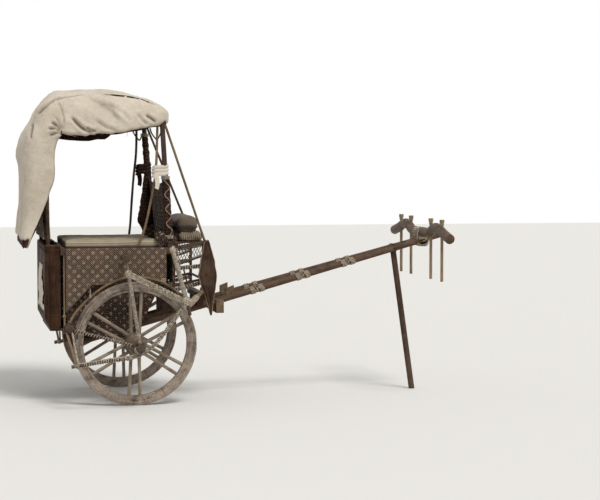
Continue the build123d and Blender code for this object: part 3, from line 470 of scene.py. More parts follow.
class RopeWork:
    """Gathers tubes, windings and twisted ropes, and makes them one mesh with a UV map.

    U runs once round each strand and V along it in metres.
    """

    def __init__(self) -> None:
        """Starts with nothing gathered."""
        self.points: list[Points] = []
        self.faces: list[list[int]] = []
        self.uvs: list[list[Pair]] = []
        self.count = 0

    def strand(self, rows: Points | Sequence[Vector], radius: float | Points, sides: int = 6) -> "RopeWork":
        """Adds one closed tube along a line.

        Args:
            rows: Points of its middle, one row each.
            radius: Radius, or one radius for each point.
            sides: Faces round it.

        Returns:
            The same gathering.
        """
        line = np.array(rows)
        along, first, second = frames_along(line)
        radii = np.full(len(line), radius) if np.isscalar(radius) else np.asarray(radius)
        angles = np.arange(sides) * math.tau / sides
        across = first[:, None, :] * np.cos(angles)[None, :, None]
        across = across + second[:, None, :] * np.sin(angles)[None, :, None]
        rings = line[:, None, :] + across * radii[:, None, None]
        self.points.append(rings.reshape(-1, 3))
        lengths = lengths_along(line)
        base = self.count
        for ring in range(len(line) - 1):
            for side in range(sides):
                beside = (side + 1) % sides
                self.faces.append([base + ring * sides + side, base + ring * sides + beside,
                                   base + (ring + 1) * sides + beside,
                                   base + (ring + 1) * sides + side])
                u0, u1 = side / sides, (side + 1) / sides
                v0, v1 = lengths[ring], lengths[ring + 1]
                self.uvs.append([(u0, v0), (u1, v0), (u1, v1), (u0, v1)])
        last = base + (len(line) - 1) * sides
        self.faces.append([base + side for side in reversed(range(sides))])
        self.uvs.append([(0.5, 0.0)] * sides)
        self.faces.append([last + side for side in range(sides)])
        self.uvs.append([(0.5, lengths[-1])] * sides)
        self.count += len(line) * sides
        return self

    def stick(self, line: Points, radius: float, uneven: float = 0.06, rate: float = 19,
              sides: int = 12) -> "RopeWork":
        """Adds a bare stick whose thickness drifts a little.

        Args:
            line: Points of its middle, one row each.
            radius: Radius in metres.
            uneven: Share by which the thickness drifts.
            rate: How fast it drifts.
            sides: Faces round it.

        Returns:
            The same gathering.
        """
        swell = np.array([1 + uneven * noise.noise(Vector(point) * rate) for point in line])
        return self.strand(line, swell * radius, sides)

    def winding(self, line: Points, core: float, rope: float, pitch: float,
                start: float = 0.0, end: float = 1.0, hand: int = 1, sides: int = 6,
                turn_steps: int = 13, wobble: float = 0.0) -> "RopeWork":
        """Winds one rope round a bar.

        Args:
            line: Middle of the bar.
            core: Radius of the bar.
            rope: Radius of the rope.
            pitch: Distance from one turn to the next.
            start: Share of the bar where it starts.
            end: Share of the bar where it ends.
            hand: 1 for one way round and -1 for the other.
            sides: Faces round the rope.
            turn_steps: Points in each turn.
            wobble: How far the turns lie out of place, in metres.

        Returns:
            The same gathering.
        """
        _, first, second = frames_along(line)
        lengths = lengths_along(line)
        total = lengths[-1]
        span = (end - start) * total
        steps = max(8, int(span / pitch * turn_steps))
        at = np.linspace(start * total, end * total, steps)
        angle = hand * (at - at[0]) / pitch * math.tau
        shift = np.array([noise.noise(Vector((value * 70, hand * 3.1, 0.7))) for value in at]) * wobble
        sampled = [read_along(at + shift, lengths, array) for array in (line, first, second)]
        reach = core + rope * 0.92
        spiral = sampled[0] + reach * (sampled[1] * np.cos(angle)[:, None]
                                       + sampled[2] * np.sin(angle)[:, None])
        return self.strand(spiral, rope, sides)

    def twisted(self, line: Points, radius: float, pitch: float, strands: int = 3,
                sides: int = 5) -> "RopeWork":
        """Lays a rope of twisted strands along a line.

        Args:
            line: Middle of the rope.
            radius: Radius of the rope.
            pitch: Length in which a strand goes once round.
            strands: Number of strands.
            sides: Faces round each strand.

        Returns:
            The same gathering.
        """
        _, first, second = frames_along(line)
        lengths = lengths_along(line)
        steps = max(6, int(lengths[-1] / pitch * 10))
        at = np.linspace(0, lengths[-1], steps)
        sampled = [read_along(at, lengths, array) for array in (line, first, second)]
        for number in range(strands):
            angle = at / pitch * math.tau + number * math.tau / strands
            spiral = sampled[0] + radius * 0.5 * (sampled[1] * np.cos(angle)[:, None]
                                                  + sampled[2] * np.sin(angle)[:, None])
            self.strand(spiral, radius * 0.56, sides)
        return self

    def ball(self, centre: Vector, axis: Vector, radius: float, rope: float, length: float = 1.0,
             cover: float = 0.86, sides: int = 6) -> "RopeWork":
        """Winds a rope into a ball round what crosses at a place.

        Args:
            centre: Middle of the ball.
            axis: Direction that the turns go round.
            radius: Radius of the ball.
            rope: Radius of the rope.
            length: Stretch along the axis, 1 for a round ball.
            cover: Share of the ball, along the axis, that is wound.
            sides: Faces round the rope.

        Returns:
            The same gathering.
        """
        across = axis.orthogonal().normalized()
        beside = axis.cross(across).normalized()
        reach = radius - rope
        turns = max(3, round(2 * cover * reach * length / (2.0 * rope)))
        rows = []
        for step in range(turns * 18 + 1):
            share = step / (turns * 18)
            height = (share * 2 - 1) * cover
            angle = share * turns * math.tau
            wide = reach * math.sqrt(max(0.0, 1 - height * height))
            lift = 1 + 0.03 * noise.noise(Vector((centre.x * 9 + share * 17, centre.z * 7, 1.3)))
            offset = across * math.cos(angle) + beside * math.sin(angle)
            rows.append(centre + axis.normalized() * (height * reach * length) + offset * (wide * lift))
        return self.strand(rows, rope, sides)

    def piece(self, name: str) -> Obj:
        """Makes one smooth mesh of all that was gathered.

        Args:
            name: Name of the piece.

        Returns:
            The piece, at the origin.
        """
        obj = sheet_piece(name, self.points, self.faces, self.uvs)
        obj.data.shade_smooth()
        obj.data.update()
        return obj

    def give(self, name: str, finish: "Finish", slot: str = "rope", stands_for: Iterable[str] = (),
             body: str = "cart") -> Obj:
        """Makes a piece of all that was gathered and hands it over, as hand_over does."""
        return hand_over(self.piece(name), finish, stands_for, body)


def linear(colour: Colour) -> tuple[float, float, float, float]:
    """Colour as seen, made the linear value that a shader takes."""
    return (*[c / 12.92 if c <= 0.04045 else ((c + 0.055) / 1.055) ** 2.4 for c in colour], 1.0)


class Graph:
    """Short words for putting shader nodes together."""

    def __init__(self, tree: Tree) -> None:
        """Works on one node tree."""
        self.tree = tree

    def add(self, kind: str, inputs: dict[str | int, object] | None = None,
            **settings: object) -> Node:
        """Adds a node, sets it, and feeds its inputs.

        Args:
            kind: Type name of the node.
            inputs: Values or sockets for its inputs.
            **settings: Other settings of the node.

        Returns:
            The node.
        """
        node = self.tree.nodes.new(kind)
        for key, value in settings.items():
            setattr(node, key, value)
        for key, value in (inputs or {}).items():
            if isinstance(value, Socket):
                self.tree.links.new(value, node.inputs[key])
            else:
                node.inputs[key].default_value = value
        return node

    def math(self, operation: str, *values: object) -> Socket:
        """Result of a sum on numbers or sockets."""
        return self.add("ShaderNodeMath", dict(enumerate(values)), operation=operation).outputs[0]

    def times(self, first: object, second: object) -> Socket:
        """Product of two values."""
        return self.math("MULTIPLY", first, second)

    def plus(self, first: object, second: object) -> Socket:
        """Sum of two values."""
        return self.math("ADD", first, second)

    def minus(self, first: object, second: object) -> Socket:
        """First value less the second."""
        return self.math("SUBTRACT", first, second)

    def over(self, first: object, second: object) -> Socket:
        """First value divided by the second."""
        return self.math("DIVIDE", first, second)

    def move(self, vector: Socket, **inputs: object) -> Socket:
        """Vector that is moved, turned or scaled."""
        named = {key.title(): value for key, value in inputs.items()}
        return self.add("ShaderNodeMapping", {"Vector": vector, **named}).outputs[0]

    def noise(self, vector: Socket, scale: float, detail: float = 3.0,
              rough: float = 0.55, twist: float = 0.0) -> Socket:
        """Cloudy value between about 0.3 and 0.7.

        Args:
            vector: Where the value is read.
            scale: How fast it changes.
            detail: Number of finer layers.
            rough: Share that each finer layer has.
            twist: How much it is stirred.

        Returns:
            Socket of the value.
        """
        node = self.add("ShaderNodeTexNoise", {"Vector": vector, "Scale": scale, "Detail": detail,
                                               "Roughness": rough, "Distortion": twist})
        return node.outputs[0]

    def steps(self, value: object, low: float, high: float) -> Socket:
        """Value drawn out so that low becomes 0 and high becomes 1.

        Args:
            value: What is drawn out.
            low: Value that becomes 0.
            high: Value that becomes 1.

        Returns:
            Socket of the value.
        """
        node = self.add("ShaderNodeMapRange", {"Value": value, "From Min": low, "From Max": high},
                        interpolation_type="SMOOTHSTEP")
        return node.outputs[0]

    def mix(self, share: object, first: object, second: object) -> Socket:
        """Colour between two colours.

        Args:
            share: Share of the second colour.
            first: Colour at 0.
            second: Colour at 1.

        Returns:
            Socket of the colour.
        """
        node = self.add("ShaderNodeMix", data_type="RGBA")
        for index, value in ((0, share), (6, first), (7, second)):
            if isinstance(value, Socket):
                self.tree.links.new(value, node.inputs[index])
            else:
                node.inputs[index].default_value = value if index == 0 else linear(value)
        return node.outputs[2]

    def parts(self, vector: Socket) -> list[Socket]:
        """The three numbers of a vector."""
        return list(self.add("ShaderNodeSeparateXYZ", {0: vector}).outputs)

    def join(self, x: object, y: object, z: object) -> Socket:
        """A vector of three numbers."""
        return self.add("ShaderNodeCombineXYZ", {0: x, 1: y, 2: z}).outputs[0]


class SharedEffects:
    """Shader node groups that several finishes use, each built once."""

    made: dict[str, Tree] = {}

    @classmethod
    def group(cls, name: str, build: Effect, **numbers: float) -> Tree:
        """Builds a group that takes a vector and some numbers, or returns it if it is there.

        Args:
            name: Name of the group.
            build: Puts the nodes in and returns what feeds each output.
            **numbers: First value of each number.

        Returns:
            The group's node tree.
        """
        if name in cls.made:
            return cls.made[name]
        tree = bpy.data.node_groups.new(name, "ShaderNodeTree")
        tree.interface.new_socket(name="Vector", in_out="INPUT", socket_type="NodeSocketVector")
        for key, value in numbers.items():
            socket = tree.interface.new_socket(name=key, in_out="INPUT", socket_type="NodeSocketFloat")
            socket.default_value = value
        graph = Graph(tree)
        values = build(graph, graph.add("NodeGroupInput").outputs)
        for key in values:
            tree.interface.new_socket(name=key, in_out="OUTPUT", socket_type="NodeSocketFloat")
        end = graph.add("NodeGroupOutput")
        for key, socket in values.items():
            tree.links.new(socket, end.inputs[key])
        cls.made[name] = tree
        return tree

    @classmethod
    def grain(cls) -> Tree:
        """Wood grain along X of its vector: streaks and fine cracks.

        Returns:
            Node tree of the group.
        """
        def build(g: Graph, given: Outputs) -> dict[str, Socket]:
            """Nodes of the grain.

            Args:
                g: Graph that takes the nodes.
                given: Inputs of the group.

            Returns:
                What feeds each output.
            """
            streak = g.noise(g.move(given["Vector"], scale=(5, 95, 95)), 1.0, 5, 0.6, 0.5)
            fine = g.noise(g.move(given["Vector"], scale=(30, 620, 620)), 1.0, 3, 0.6)
            cloud = g.noise(given["Vector"], 14, 4, 0.6)
            lines = g.noise(g.move(given["Vector"], scale=(3.2, 150, 150)), 1.0, 2, 0.5, 0.3)
            near = g.math("ABSOLUTE", g.minus(lines, 0.5))
            crack = g.minus(1.0, g.steps(near, 0.0, g.times(given["Cracks"], 0.02)))
            split = g.times(crack, g.steps(cloud, 0.5, 0.62))
            tone = g.plus(g.times(streak, 0.62), g.times(fine, 0.38))
            height = g.minus(tone, g.times(split, 0.9))
            return {"Tone": g.steps(tone, 0.3, 0.7), "Cloud": g.steps(cloud, 0.35, 0.65),
                    "Crack": split, "Height": height}
        return cls.group("wood_grain", build, Cracks=1.0)

    @classmethod
    def dust(cls) -> Tree:
        """Dust and wear that lie in patches, more towards the ground.

        Returns:
            Node tree of the group.
        """
        def build(g: Graph, given: Outputs) -> dict[str, Socket]:
            """Nodes of the dust.

            Args:
                g: Graph that takes the nodes.
                given: Inputs of the group.

            Returns:
                What feeds each output.
            """
            height = g.parts(given["Vector"])[2]
            low = g.minus(1.0, g.steps(height, 0.05, given["Reach"]))
            cloud = g.noise(given["Vector"], 9, 5, 0.65)
            speck = g.noise(given["Vector"], 160, 2, 0.6)
            patches = g.steps(g.plus(cloud, g.times(low, 0.22)), 0.5, 0.72)
            mask = g.times(patches, g.steps(speck, 0.3, 0.62))
            return {"Mask": mask}
        return cls.group("dust_and_wear", build, Reach=0.6)

    @classmethod
    def twist(cls) -> Tree:
        """Fibres that run slanting round a strand, from its UV map, and a mask of the grooves between them
        for painted shade.

        Returns:
            Node tree of the group.
        """
        def build(g: Graph, given: Outputs) -> dict[str, Socket]:
            """Nodes of the twist.

            Args:
                g: Graph that takes the nodes.
                given: Inputs of the group.

            Returns:
                What feeds each output.
            """
            u, v, _ = g.parts(given["Vector"])
            turns = g.plus(g.times(u, given["Yarns"]),
                           g.over(v, given["Pitch"]))
            wave = g.math("SINE", g.times(turns, math.tau))
            fibre = g.noise(g.join(g.times(turns, 3.0), g.times(v, 60), 0.0), 2.0, 3)
            lift = g.plus(g.times(wave, 0.4), g.times(fibre, 0.5))
            return {"Height": lift, "Groove": g.steps(wave, -0.2, -0.95)}
        return cls.group("strand_twist", build, Yarns=2.0, Pitch=0.02)

    @classmethod
    def weave(cls) -> Tree:
        """Crossing threads and thicker slubs on a flat map in metres.

        Returns:
            Node tree of the group.
        """
        def build(g: Graph, given: Outputs) -> dict[str, Socket]:
            """Nodes of the weave.

            Args:
                g: Graph that takes the nodes.
                given: Inputs of the group.

            Returns:
                What feeds each output.
            """
            u, v, _ = g.parts(given["Vector"])
            rate = g.over(math.tau, given["Thread"])
            warp = g.math("SINE", g.times(u, rate))
            weft = g.math("SINE", g.times(v, rate))
            slub = g.noise(g.move(given["Vector"], scale=(30, 400, 1)), 1.0, 2)
            cross = g.noise(g.move(given["Vector"], scale=(400, 30, 1)), 1.0, 2)
            both = g.times(g.plus(slub, cross), 0.5)
            lift = g.plus(g.times(g.times(warp, weft), 0.25), both)
            return {"Height": lift, "Slub": g.steps(both, 0.42, 0.6)}
        return cls.group("plain_weave", build, Thread=0.0022)

    @classmethod
    def flowers(cls) -> Tree:
        """Small printed flowers in a staggered grid: a dot in a ring of petals.

        Returns:
            Node tree of the group.
        """
        def build(g: Graph, given: Outputs) -> dict[str, Socket]:
            """Nodes of the flowers.

            Args:
                g: Graph that takes the nodes.
                given: Inputs of the group.

            Returns:
                What feeds each output.
            """
            u, v, _ = g.parts(given["Vector"])
            masks = []
            for shift in (0.0, 0.5):
                cells = [g.minus(g.math("FRACT", g.plus(g.over(part, given["Spacing"]), 40.0 + shift)), 0.5)
                         for part in (u, v)]
                x, y = [g.times(cell, given["Spacing"]) for cell in cells]
                far = g.math("SQRT", g.plus(g.times(x, x), g.times(y, y)))
                angle = g.times(g.math("ARCTAN2", y, x), given["Petals"])
                edge = g.times(given["Radius"],
                              g.plus(0.8, g.times(g.math("COSINE", angle), 0.22)))
                share = g.over(far, edge)
                petals = g.times(g.steps(share, 1.05, 0.9),
                                g.steps(share, given["Hole"], g.plus(given["Hole"], 0.12)))
                dot = g.steps(share, 0.32, 0.2)
                masks.append(g.math("MAXIMUM", petals, dot))
            return {"Mask": g.math("MAXIMUM", *masks)}
        return cls.group("printed_flowers", build, Spacing=0.06, Radius=0.013, Petals=5.0, Hole=0.5)

    @classmethod
    def diaper(cls) -> Tree:
        """Fine crossing lines at 45 degrees, broken into short strokes.

        Returns:
            Node tree of the group.
        """
        def build(g: Graph, given: Outputs) -> dict[str, Socket]:
            """Nodes of the lines.

            Args:
                g: Graph that takes the nodes.
                given: Inputs of the group.

            Returns:
                What feeds each output.
            """
            u, v, _ = g.parts(given["Vector"])
            rate = g.over(math.tau, given["Spacing"])
            rising = g.math("SINE", g.times(g.plus(u, v), rate))
            falling = g.math("SINE", g.times(g.minus(u, v), rate))
            lines = g.math("MAXIMUM", g.steps(rising, 0.55, 0.9), g.times(g.steps(falling, 0.8, 0.97), 0.3))
            return {"Mask": lines}
        return cls.group("diaper_lines", build, Spacing=0.011)


class Along(Enum):
    """Direction of a grain."""

    X = "x"
    Y = "y"
    Z = "z"
    STRAND = "strand"
    ROUND = "round"
    RADIAL = "radial"


class Lay(Enum):
    """Where a cloth finish takes its threads from: its map, or places along or across the cart."""

    MAP = "map"
    ALONG = "along"
    ACROSS = "across"


class Print(Enum):
    """Block prints on the hangings."""

    DIAPER = "diaper"
    BLOSSOM = "blossom"


@dataclass(frozen=True)
class Finish:
    """What every finish has: its name and how rough it is."""

    name: str
    roughness: float = 0.75

    def build(self) -> Material:
        """Makes the material, or returns the one that was made.

        Returns:
            The material.
        """
        found = bpy.data.materials.get(self.name)
        if found is not None:
            return found
        material = bpy.data.materials.new(self.name)
        material.use_nodes = True
        graph = Graph(material.node_tree)
        shader = material.node_tree.nodes["Principled BSDF"]
        shader.inputs["Roughness"].default_value = self.roughness
        self.paint(graph, shader)
        return material

    def paint(self, g: Graph, shader: Node) -> None:
        """Puts the finish's own nodes in."""
        raise NotImplementedError

    def effect(self, g: Graph, tree: Tree, **inputs: object) -> Outputs:
        """Places a shared effect and returns its values.

        Args:
            g: Graph that takes the nodes.
            tree: Node tree of the effect.
            **inputs: What feeds its inputs.

        Returns:
            Its outputs.
        """
        node = g.add("ShaderNodeGroup", node_tree=tree)
        for key, value in inputs.items():
            if isinstance(value, Socket):
                g.tree.links.new(value, node.inputs[key])
            else:
                node.inputs[key].default_value = value
        return node.outputs

    def finish(self, g: Graph, shader: Node, colour: Socket,
               height: Socket, depth: float, rough: Socket | None = None,
               ) -> None:
        """Feeds colour, relief and roughness to the shader.

        Args:
            g: The graph of the material.
            shader: Its shader.
            colour: Colour over the surface.
            height: Relief between 0 and 1.
            depth: What a relief of 1 stands for, in metres.
            rough: Roughness over the surface, if it changes.
        """
        g.tree.links.new(colour, shader.inputs["Base Color"])
        bump = g.add("ShaderNodeBump", {"Height": height, "Distance": depth, "Strength": 1.0})
        g.tree.links.new(bump.outputs[0], shader.inputs["Normal"])
        if rough is not None:
            g.tree.links.new(rough, shader.inputs["Roughness"])


@dataclass(frozen=True)
class WoodFinish(Finish):
    """Weathered or oiled wood with its grain along one direction."""

    light: Colour = (0.5, 0.42, 0.33)
    dark: Colour = (0.3, 0.23, 0.17)
    dusty: Colour = (0.62, 0.56, 0.47)
    along: Along = Along.X
    cracks: float = 1.0
    dust_reach: float = 0.7
    dust_share: float = 0.6
    relief: float = 0.0022
    joints: int = 0

    def vector(self, g: Graph) -> tuple[Socket, Socket]:
        """Place on the object, and the same with its X along the grain.

        Args:
            g: Graph that takes the nodes.

        Returns:
            Socket of the place, and of the same along the grain.
        """
        texture = g.add("ShaderNodeTexCoord")
        spot = texture.outputs["Object"]
        if self.along is Along.STRAND:
            u, v, _ = g.parts(texture.outputs["UV"])
            return spot, g.join(v, g.times(u, 0.09), 0.0)
        x, y, z = g.parts(spot)
        if self.along in (Along.ROUND, Along.RADIAL):
            across = g.plus(x, ORIGIN_X)
            up = g.minus(z, WHEEL_RADIUS)
            far = g.math("SQRT", g.plus(g.times(across, across),
                                        g.times(up, up)))
            angle = g.math("ARCTAN2", up, across)
            if self.along is Along.ROUND:
                return spot, g.join(g.times(angle, WHEEL_RADIUS), y, far)
            return spot, g.join(far, g.times(angle, 0.3), y)
        order = {Along.X: (x, y, z), Along.Y: (y, x, z), Along.Z: (z, x, y)}[self.along]
        return spot, g.join(*order)

    def paint(self, g: Graph, shader: Node) -> None:
        """Grain, cracks, patches of dust, and the joints of a rim.

        Args:
            g: Graph that takes the nodes.
            shader: Shader of the material.
        """
        spot, vector = self.vector(g)
        grain = self.effect(g, SharedEffects.grain(), Vector=vector, Cracks=self.cracks)
        colour = g.mix(grain["Tone"], self.dark, self.light)
        worn = g.mix(g.times(grain["Cloud"], 0.45), colour, self.dark)
        dust = self.effect(g, SharedEffects.dust(), Vector=spot, Reach=self.dust_reach)
        dusty = g.mix(g.times(dust["Mask"], self.dust_share), worn, self.dusty)
        lines = grain["Crack"]
        height = grain["Height"]
        if self.joints:
            turn = g.times(g.parts(vector)[0], self.joints / (math.tau * WHEEL_RADIUS))
            near = g.math("ABSOLUTE", g.minus(g.math("FRACT", g.plus(turn, 20.5)), 0.5))
            joint = g.steps(near, 0.004, 0.0015)
            lines = g.math("MAXIMUM", lines, joint)
            height = g.minus(height, joint)
        dark = g.mix(g.times(lines, 0.85), dusty, (0.08, 0.06, 0.05))
        rough = g.steps(grain["Tone"], -1.2, 1.6)
        shade = g.plus(g.times(rough, 0.35), self.roughness - 0.2)
        shader.inputs["Specular IOR Level"].default_value = 0.3
        self.finish(g, shader, dark, height, self.relief, shade)


@dataclass(frozen=True)
class RopeFinish(Finish):
    """Twisted fibre rope or cord, with its yarns from its UV map."""

    light: Colour = (0.72, 0.66, 0.57)
    dark: Colour = (0.27, 0.21, 0.16)
    yarns: float = 2.0
    pitch: float = 0.022
    soil: float = 0.5
    spots: float = 0.0

    def paint(self, g: Graph, shader: Node) -> None:
        """Yarns, soiled patches, loose fibres, and painted shade in the grooves between the yarns.

        Args:
            g: Graph that takes the nodes.
            shader: Shader of the material.
        """
        texture = g.add("ShaderNodeTexCoord")
        twist = self.effect(g, SharedEffects.twist(), Vector=texture.outputs["UV"],
                            Yarns=self.yarns, Pitch=self.pitch)
        cloud = g.steps(g.noise(texture.outputs["Object"], 38, 4, 0.7), 0.4, 0.64)
        fleck = g.steps(g.noise(texture.outputs["Object"], 420, 2, 0.6), 0.4, 0.7)
        colour = g.mix(g.times(cloud, self.soil), self.light, self.dark)
        if self.spots:
            blot = g.steps(g.noise(texture.outputs["Object"], 95, 2, 0.5), 0.5, 0.56)
            colour = g.mix(g.times(blot, self.spots), colour, self.dark)
        flecked = g.mix(g.times(fleck, 0.22), colour, self.dark)
        # Painted shade: the grooves between the yarns are darkened towards the dark colour.
        grooved = g.mix(g.times(twist["Groove"], 0.9), flecked, self.dark)
        shader.inputs["Sheen Weight"].default_value = 0.15
        self.finish(g, shader, grooved, twist["Height"], 0.0012)


@dataclass(frozen=True)
class ClothFinish(Finish):
    """Plain cloth with weave and stains, and painted shade in its folds, which an attribute marks."""

    colour: Colour = (0.81, 0.77, 0.705)
    stain: Colour = (0.6, 0.54, 0.45)
    # Colour of the dark flecks and of the painted shade in the folds.
    fold: Colour = (0.3, 0.24, 0.19)
    thread: float = 0.0022
    stripes: float = 0.0
    stripe_colour: Colour = (0.25, 0.2, 0.16)
    creases: float = 0.004
    lay: Lay = Lay.MAP

    def threads(self, g: Graph, texture: Node) -> Socket:
        """Flat place of each point, whose second number the stripes follow.

        Args:
            g: Graph that takes the nodes.
            texture: Node of the texture places.

        Returns:
            Socket of the flat place.
        """
        if self.lay is Lay.MAP:
            return texture.outputs["UV"]
        x, y, z = g.parts(texture.outputs["Object"])
        if self.lay is Lay.ALONG:
            return g.join(x, g.minus(g.math("ABSOLUTE", y), z), 0.0)
        return g.join(g.plus(y, z), x, 0.0)

    def paint(self, g: Graph, shader: Node) -> None:
        """Weave, stains, painted shade in the folds and narrow stripes.

        Args:
            g: Graph that takes the nodes.
            shader: Shader of the material.
        """
        texture = g.add("ShaderNodeTexCoord")
        flat, spot = self.threads(g, texture), texture.outputs["Object"]
        weave = self.effect(g, SharedEffects.weave(), Vector=flat, Thread=self.thread)
        cloud = g.steps(g.noise(spot, 5.5, 6, 0.68), 0.4, 0.72)
        mottle = g.steps(g.noise(spot, 38, 5, 0.7), 0.38, 0.7)
        fleck = g.steps(g.noise(spot, 75, 2, 0.5), 0.7, 0.76)
        colour = g.mix(g.times(cloud, 0.34), self.colour, self.stain)
        mottled = g.mix(g.times(mottle, 0.2), colour, self.stain)
        slubbed = g.mix(g.times(weave["Slub"], 0.14), mottled, self.stain)
        flecked = g.mix(g.times(fleck, 0.3), slubbed, self.fold)
        if self.stripes:
            across = g.times(g.parts(flat)[1], math.tau / self.stripes)
            band = g.steps(g.math("SINE", across), 0.55, 0.85)
            flecked = g.mix(g.times(band, 0.75), flecked, self.stripe_colour)
        # Painted shade: the fold attribute darkens creases, faces turned down and the drape towards the fold
        # colour.
        painted_shade = g.add("ShaderNodeAttribute", attribute_name="fold").outputs["Fac"]
        folded = g.mix(g.times(painted_shade, 0.8), flecked, self.fold)
        wrinkle = g.noise(g.move(spot, scale=(11, 11, 24), rotation=(0, 0.5, 0)), 1.0, 5, 0.6, 0.7)
        height = g.plus(g.times(wrinkle, self.creases / 0.001),
                        g.times(weave["Height"], 0.35))
        shader.inputs["Sheen Weight"].default_value = 0.1
        shader.inputs["Specular IOR Level"].default_value = 0.15
        self.finish(g, shader, folded, height, 0.001)


@dataclass(frozen=True)
class PrintFinish(Finish):
    """Dark block-printed cotton with small pale flowers."""

    ground: Colour = (0.26, 0.17, 0.14)
    deep: Colour = (0.165, 0.105, 0.09)
    pale: Colour = (0.74, 0.67, 0.58)
    pattern: Print = Print.BLOSSOM
    spacing: float = 0.066
    radius: float = 0.015

    def paint(self, g: Graph, shader: Node) -> None:
        """Ground, lines or leaves, flowers, and the weave under them.

        Args:
            g: Graph that takes the nodes.
            shader: Shader of the material.
        """
        texture = g.add("ShaderNodeTexCoord")
        flat, spot = texture.outputs["UV"], texture.outputs["Object"]
        drift = g.add("ShaderNodeTexNoise", {"Vector": spot, "Scale": 9.0, "Detail": 2.0})
        shifted = g.add("ShaderNodeVectorMath", {0: flat, 1: g.add("ShaderNodeVectorMath", {
            0: drift.outputs["Color"], 1: (0.006, 0.006, 0.0)}, operation="MULTIPLY").outputs[0]},
            operation="ADD").outputs[0]
        weave = self.effect(g, SharedEffects.weave(), Vector=flat, Thread=0.0018)
        worn = g.steps(g.noise(spot, 42, 5, 0.7), 0.62, 0.34)
        cloud = g.steps(g.noise(spot, 7, 4, 0.6), 0.38, 0.66)
        ground = g.mix(cloud, self.deep, self.ground)
        if self.pattern is Print.DIAPER:
            lines = self.effect(g, SharedEffects.diaper(), Vector=shifted, Spacing=0.0155)["Mask"]
            ground = g.mix(g.times(lines, 0.48), ground, self.pale)
            petals, hole = 8.0, 0.5
        else:
            leaves = self.effect(g, SharedEffects.flowers(), Vector=g.move(
                shifted, location=(self.spacing * 0.5, 0.0, 0.0)), Spacing=self.spacing,
                Radius=self.radius * 1.5, Petals=8.0, Hole=0.72)["Mask"]
            ground = g.mix(g.times(leaves, 0.3), ground, self.pale)
            petals, hole = 5.0, 0.36
        flowers = self.effect(g, SharedEffects.flowers(), Vector=shifted, Spacing=self.spacing,
                              Radius=self.radius, Petals=petals, Hole=hole)["Mask"]
        printed = g.mix(g.times(g.times(flowers, worn), 0.9), ground, self.pale)
        # Painted shade from the fold attribute, towards the deep colour.
        painted_shade = g.add("ShaderNodeAttribute", attribute_name="fold").outputs["Fac"]
        folded = g.mix(g.times(painted_shade, 0.7), printed, self.deep)
        wrinkle = g.noise(g.move(spot, scale=(16, 16, 9)), 1.0, 4, 0.6, 0.5)
        height = g.plus(g.times(wrinkle, 2.5), g.times(weave["Height"], 0.3))
        shader.inputs["Specular IOR Level"].default_value = 0.08
        self.finish(g, shader, folded, height, 0.001)


@dataclass(frozen=True)
class LeatherFinish(Finish):
    """Dark worn leather or hide-covered boards with faint upright bands."""

    light: Colour = (0.31, 0.21, 0.15)
    dark: Colour = (0.15, 0.1, 0.075)
    scuff: Colour = (0.46, 0.36, 0.29)
    bands: float = 0.0
    streaks: float = 0.5

    def paint(self, g: Graph, shader: Node) -> None:
        """Pores, scuffs and upright bands.

        Args:
            g: Graph that takes the nodes.
            shader: Shader of the material.
        """
        spot = g.add("ShaderNodeTexCoord").outputs["Object"]
        pores = g.add("ShaderNodeTexVoronoi", {"Vector": spot, "Scale": 420.0}).outputs["Distance"]
        cloud = g.steps(g.noise(spot, 8, 6, 0.7), 0.36, 0.68)
        drawn = g.steps(g.noise(g.move(spot, scale=(60, 60, 4)), 1.0, 4, 0.6, 0.3), 0.36, 0.7)
        scuffs = g.steps(g.noise(g.move(spot, scale=(90, 90, 14)), 1.0, 5, 0.7), 0.6, 0.74)
        tone = g.plus(g.times(cloud, 1.0 - self.streaks), g.times(drawn, self.streaks))
        colour = g.mix(tone, self.dark, self.light)
        shader.inputs["Specular IOR Level"].default_value = 0.05
        if self.bands:
            x, y, _ = g.parts(spot)
            wave = g.math("SINE", g.times(g.plus(x, y), math.tau / self.bands))
            colour = g.mix(g.times(g.steps(wave, 0.6, 0.98), 0.45), colour, self.dark)
        scuffed = g.mix(g.times(scuffs, 0.5), colour, self.scuff)
        height = g.plus(g.times(pores, 0.5), g.times(drawn, self.streaks * 1.5))
        self.finish(g, shader, scuffed, height, 0.0011,
                    g.plus(g.times(cloud, 0.2), self.roughness - 0.1))


@dataclass(frozen=True)
class IronFinish(Finish):
    """Forged iron, dark, with rust in its pits."""

    metal: Colour = (0.2, 0.18, 0.17)
    rust: Colour = (0.33, 0.19, 0.12)

    def paint(self, g: Graph, shader: Node) -> None:
        """Hammer marks and rust.

        Args:
            g: Graph that takes the nodes.
            shader: Shader of the material.
        """
        spot = g.add("ShaderNodeTexCoord").outputs["Object"]
        rust = g.steps(g.noise(spot, 55, 6, 0.7), 0.42, 0.6)
        dents = g.noise(spot, 90, 2, 0.5)
        shader.inputs["Metallic"].default_value = 0.6
        self.finish(g, shader, g.mix(rust, self.metal, self.rust), g.plus(dents, g.times(rust, 0.3)), 0.0015,
            g.plus(g.times(rust, 0.35), self.roughness - 0.2))


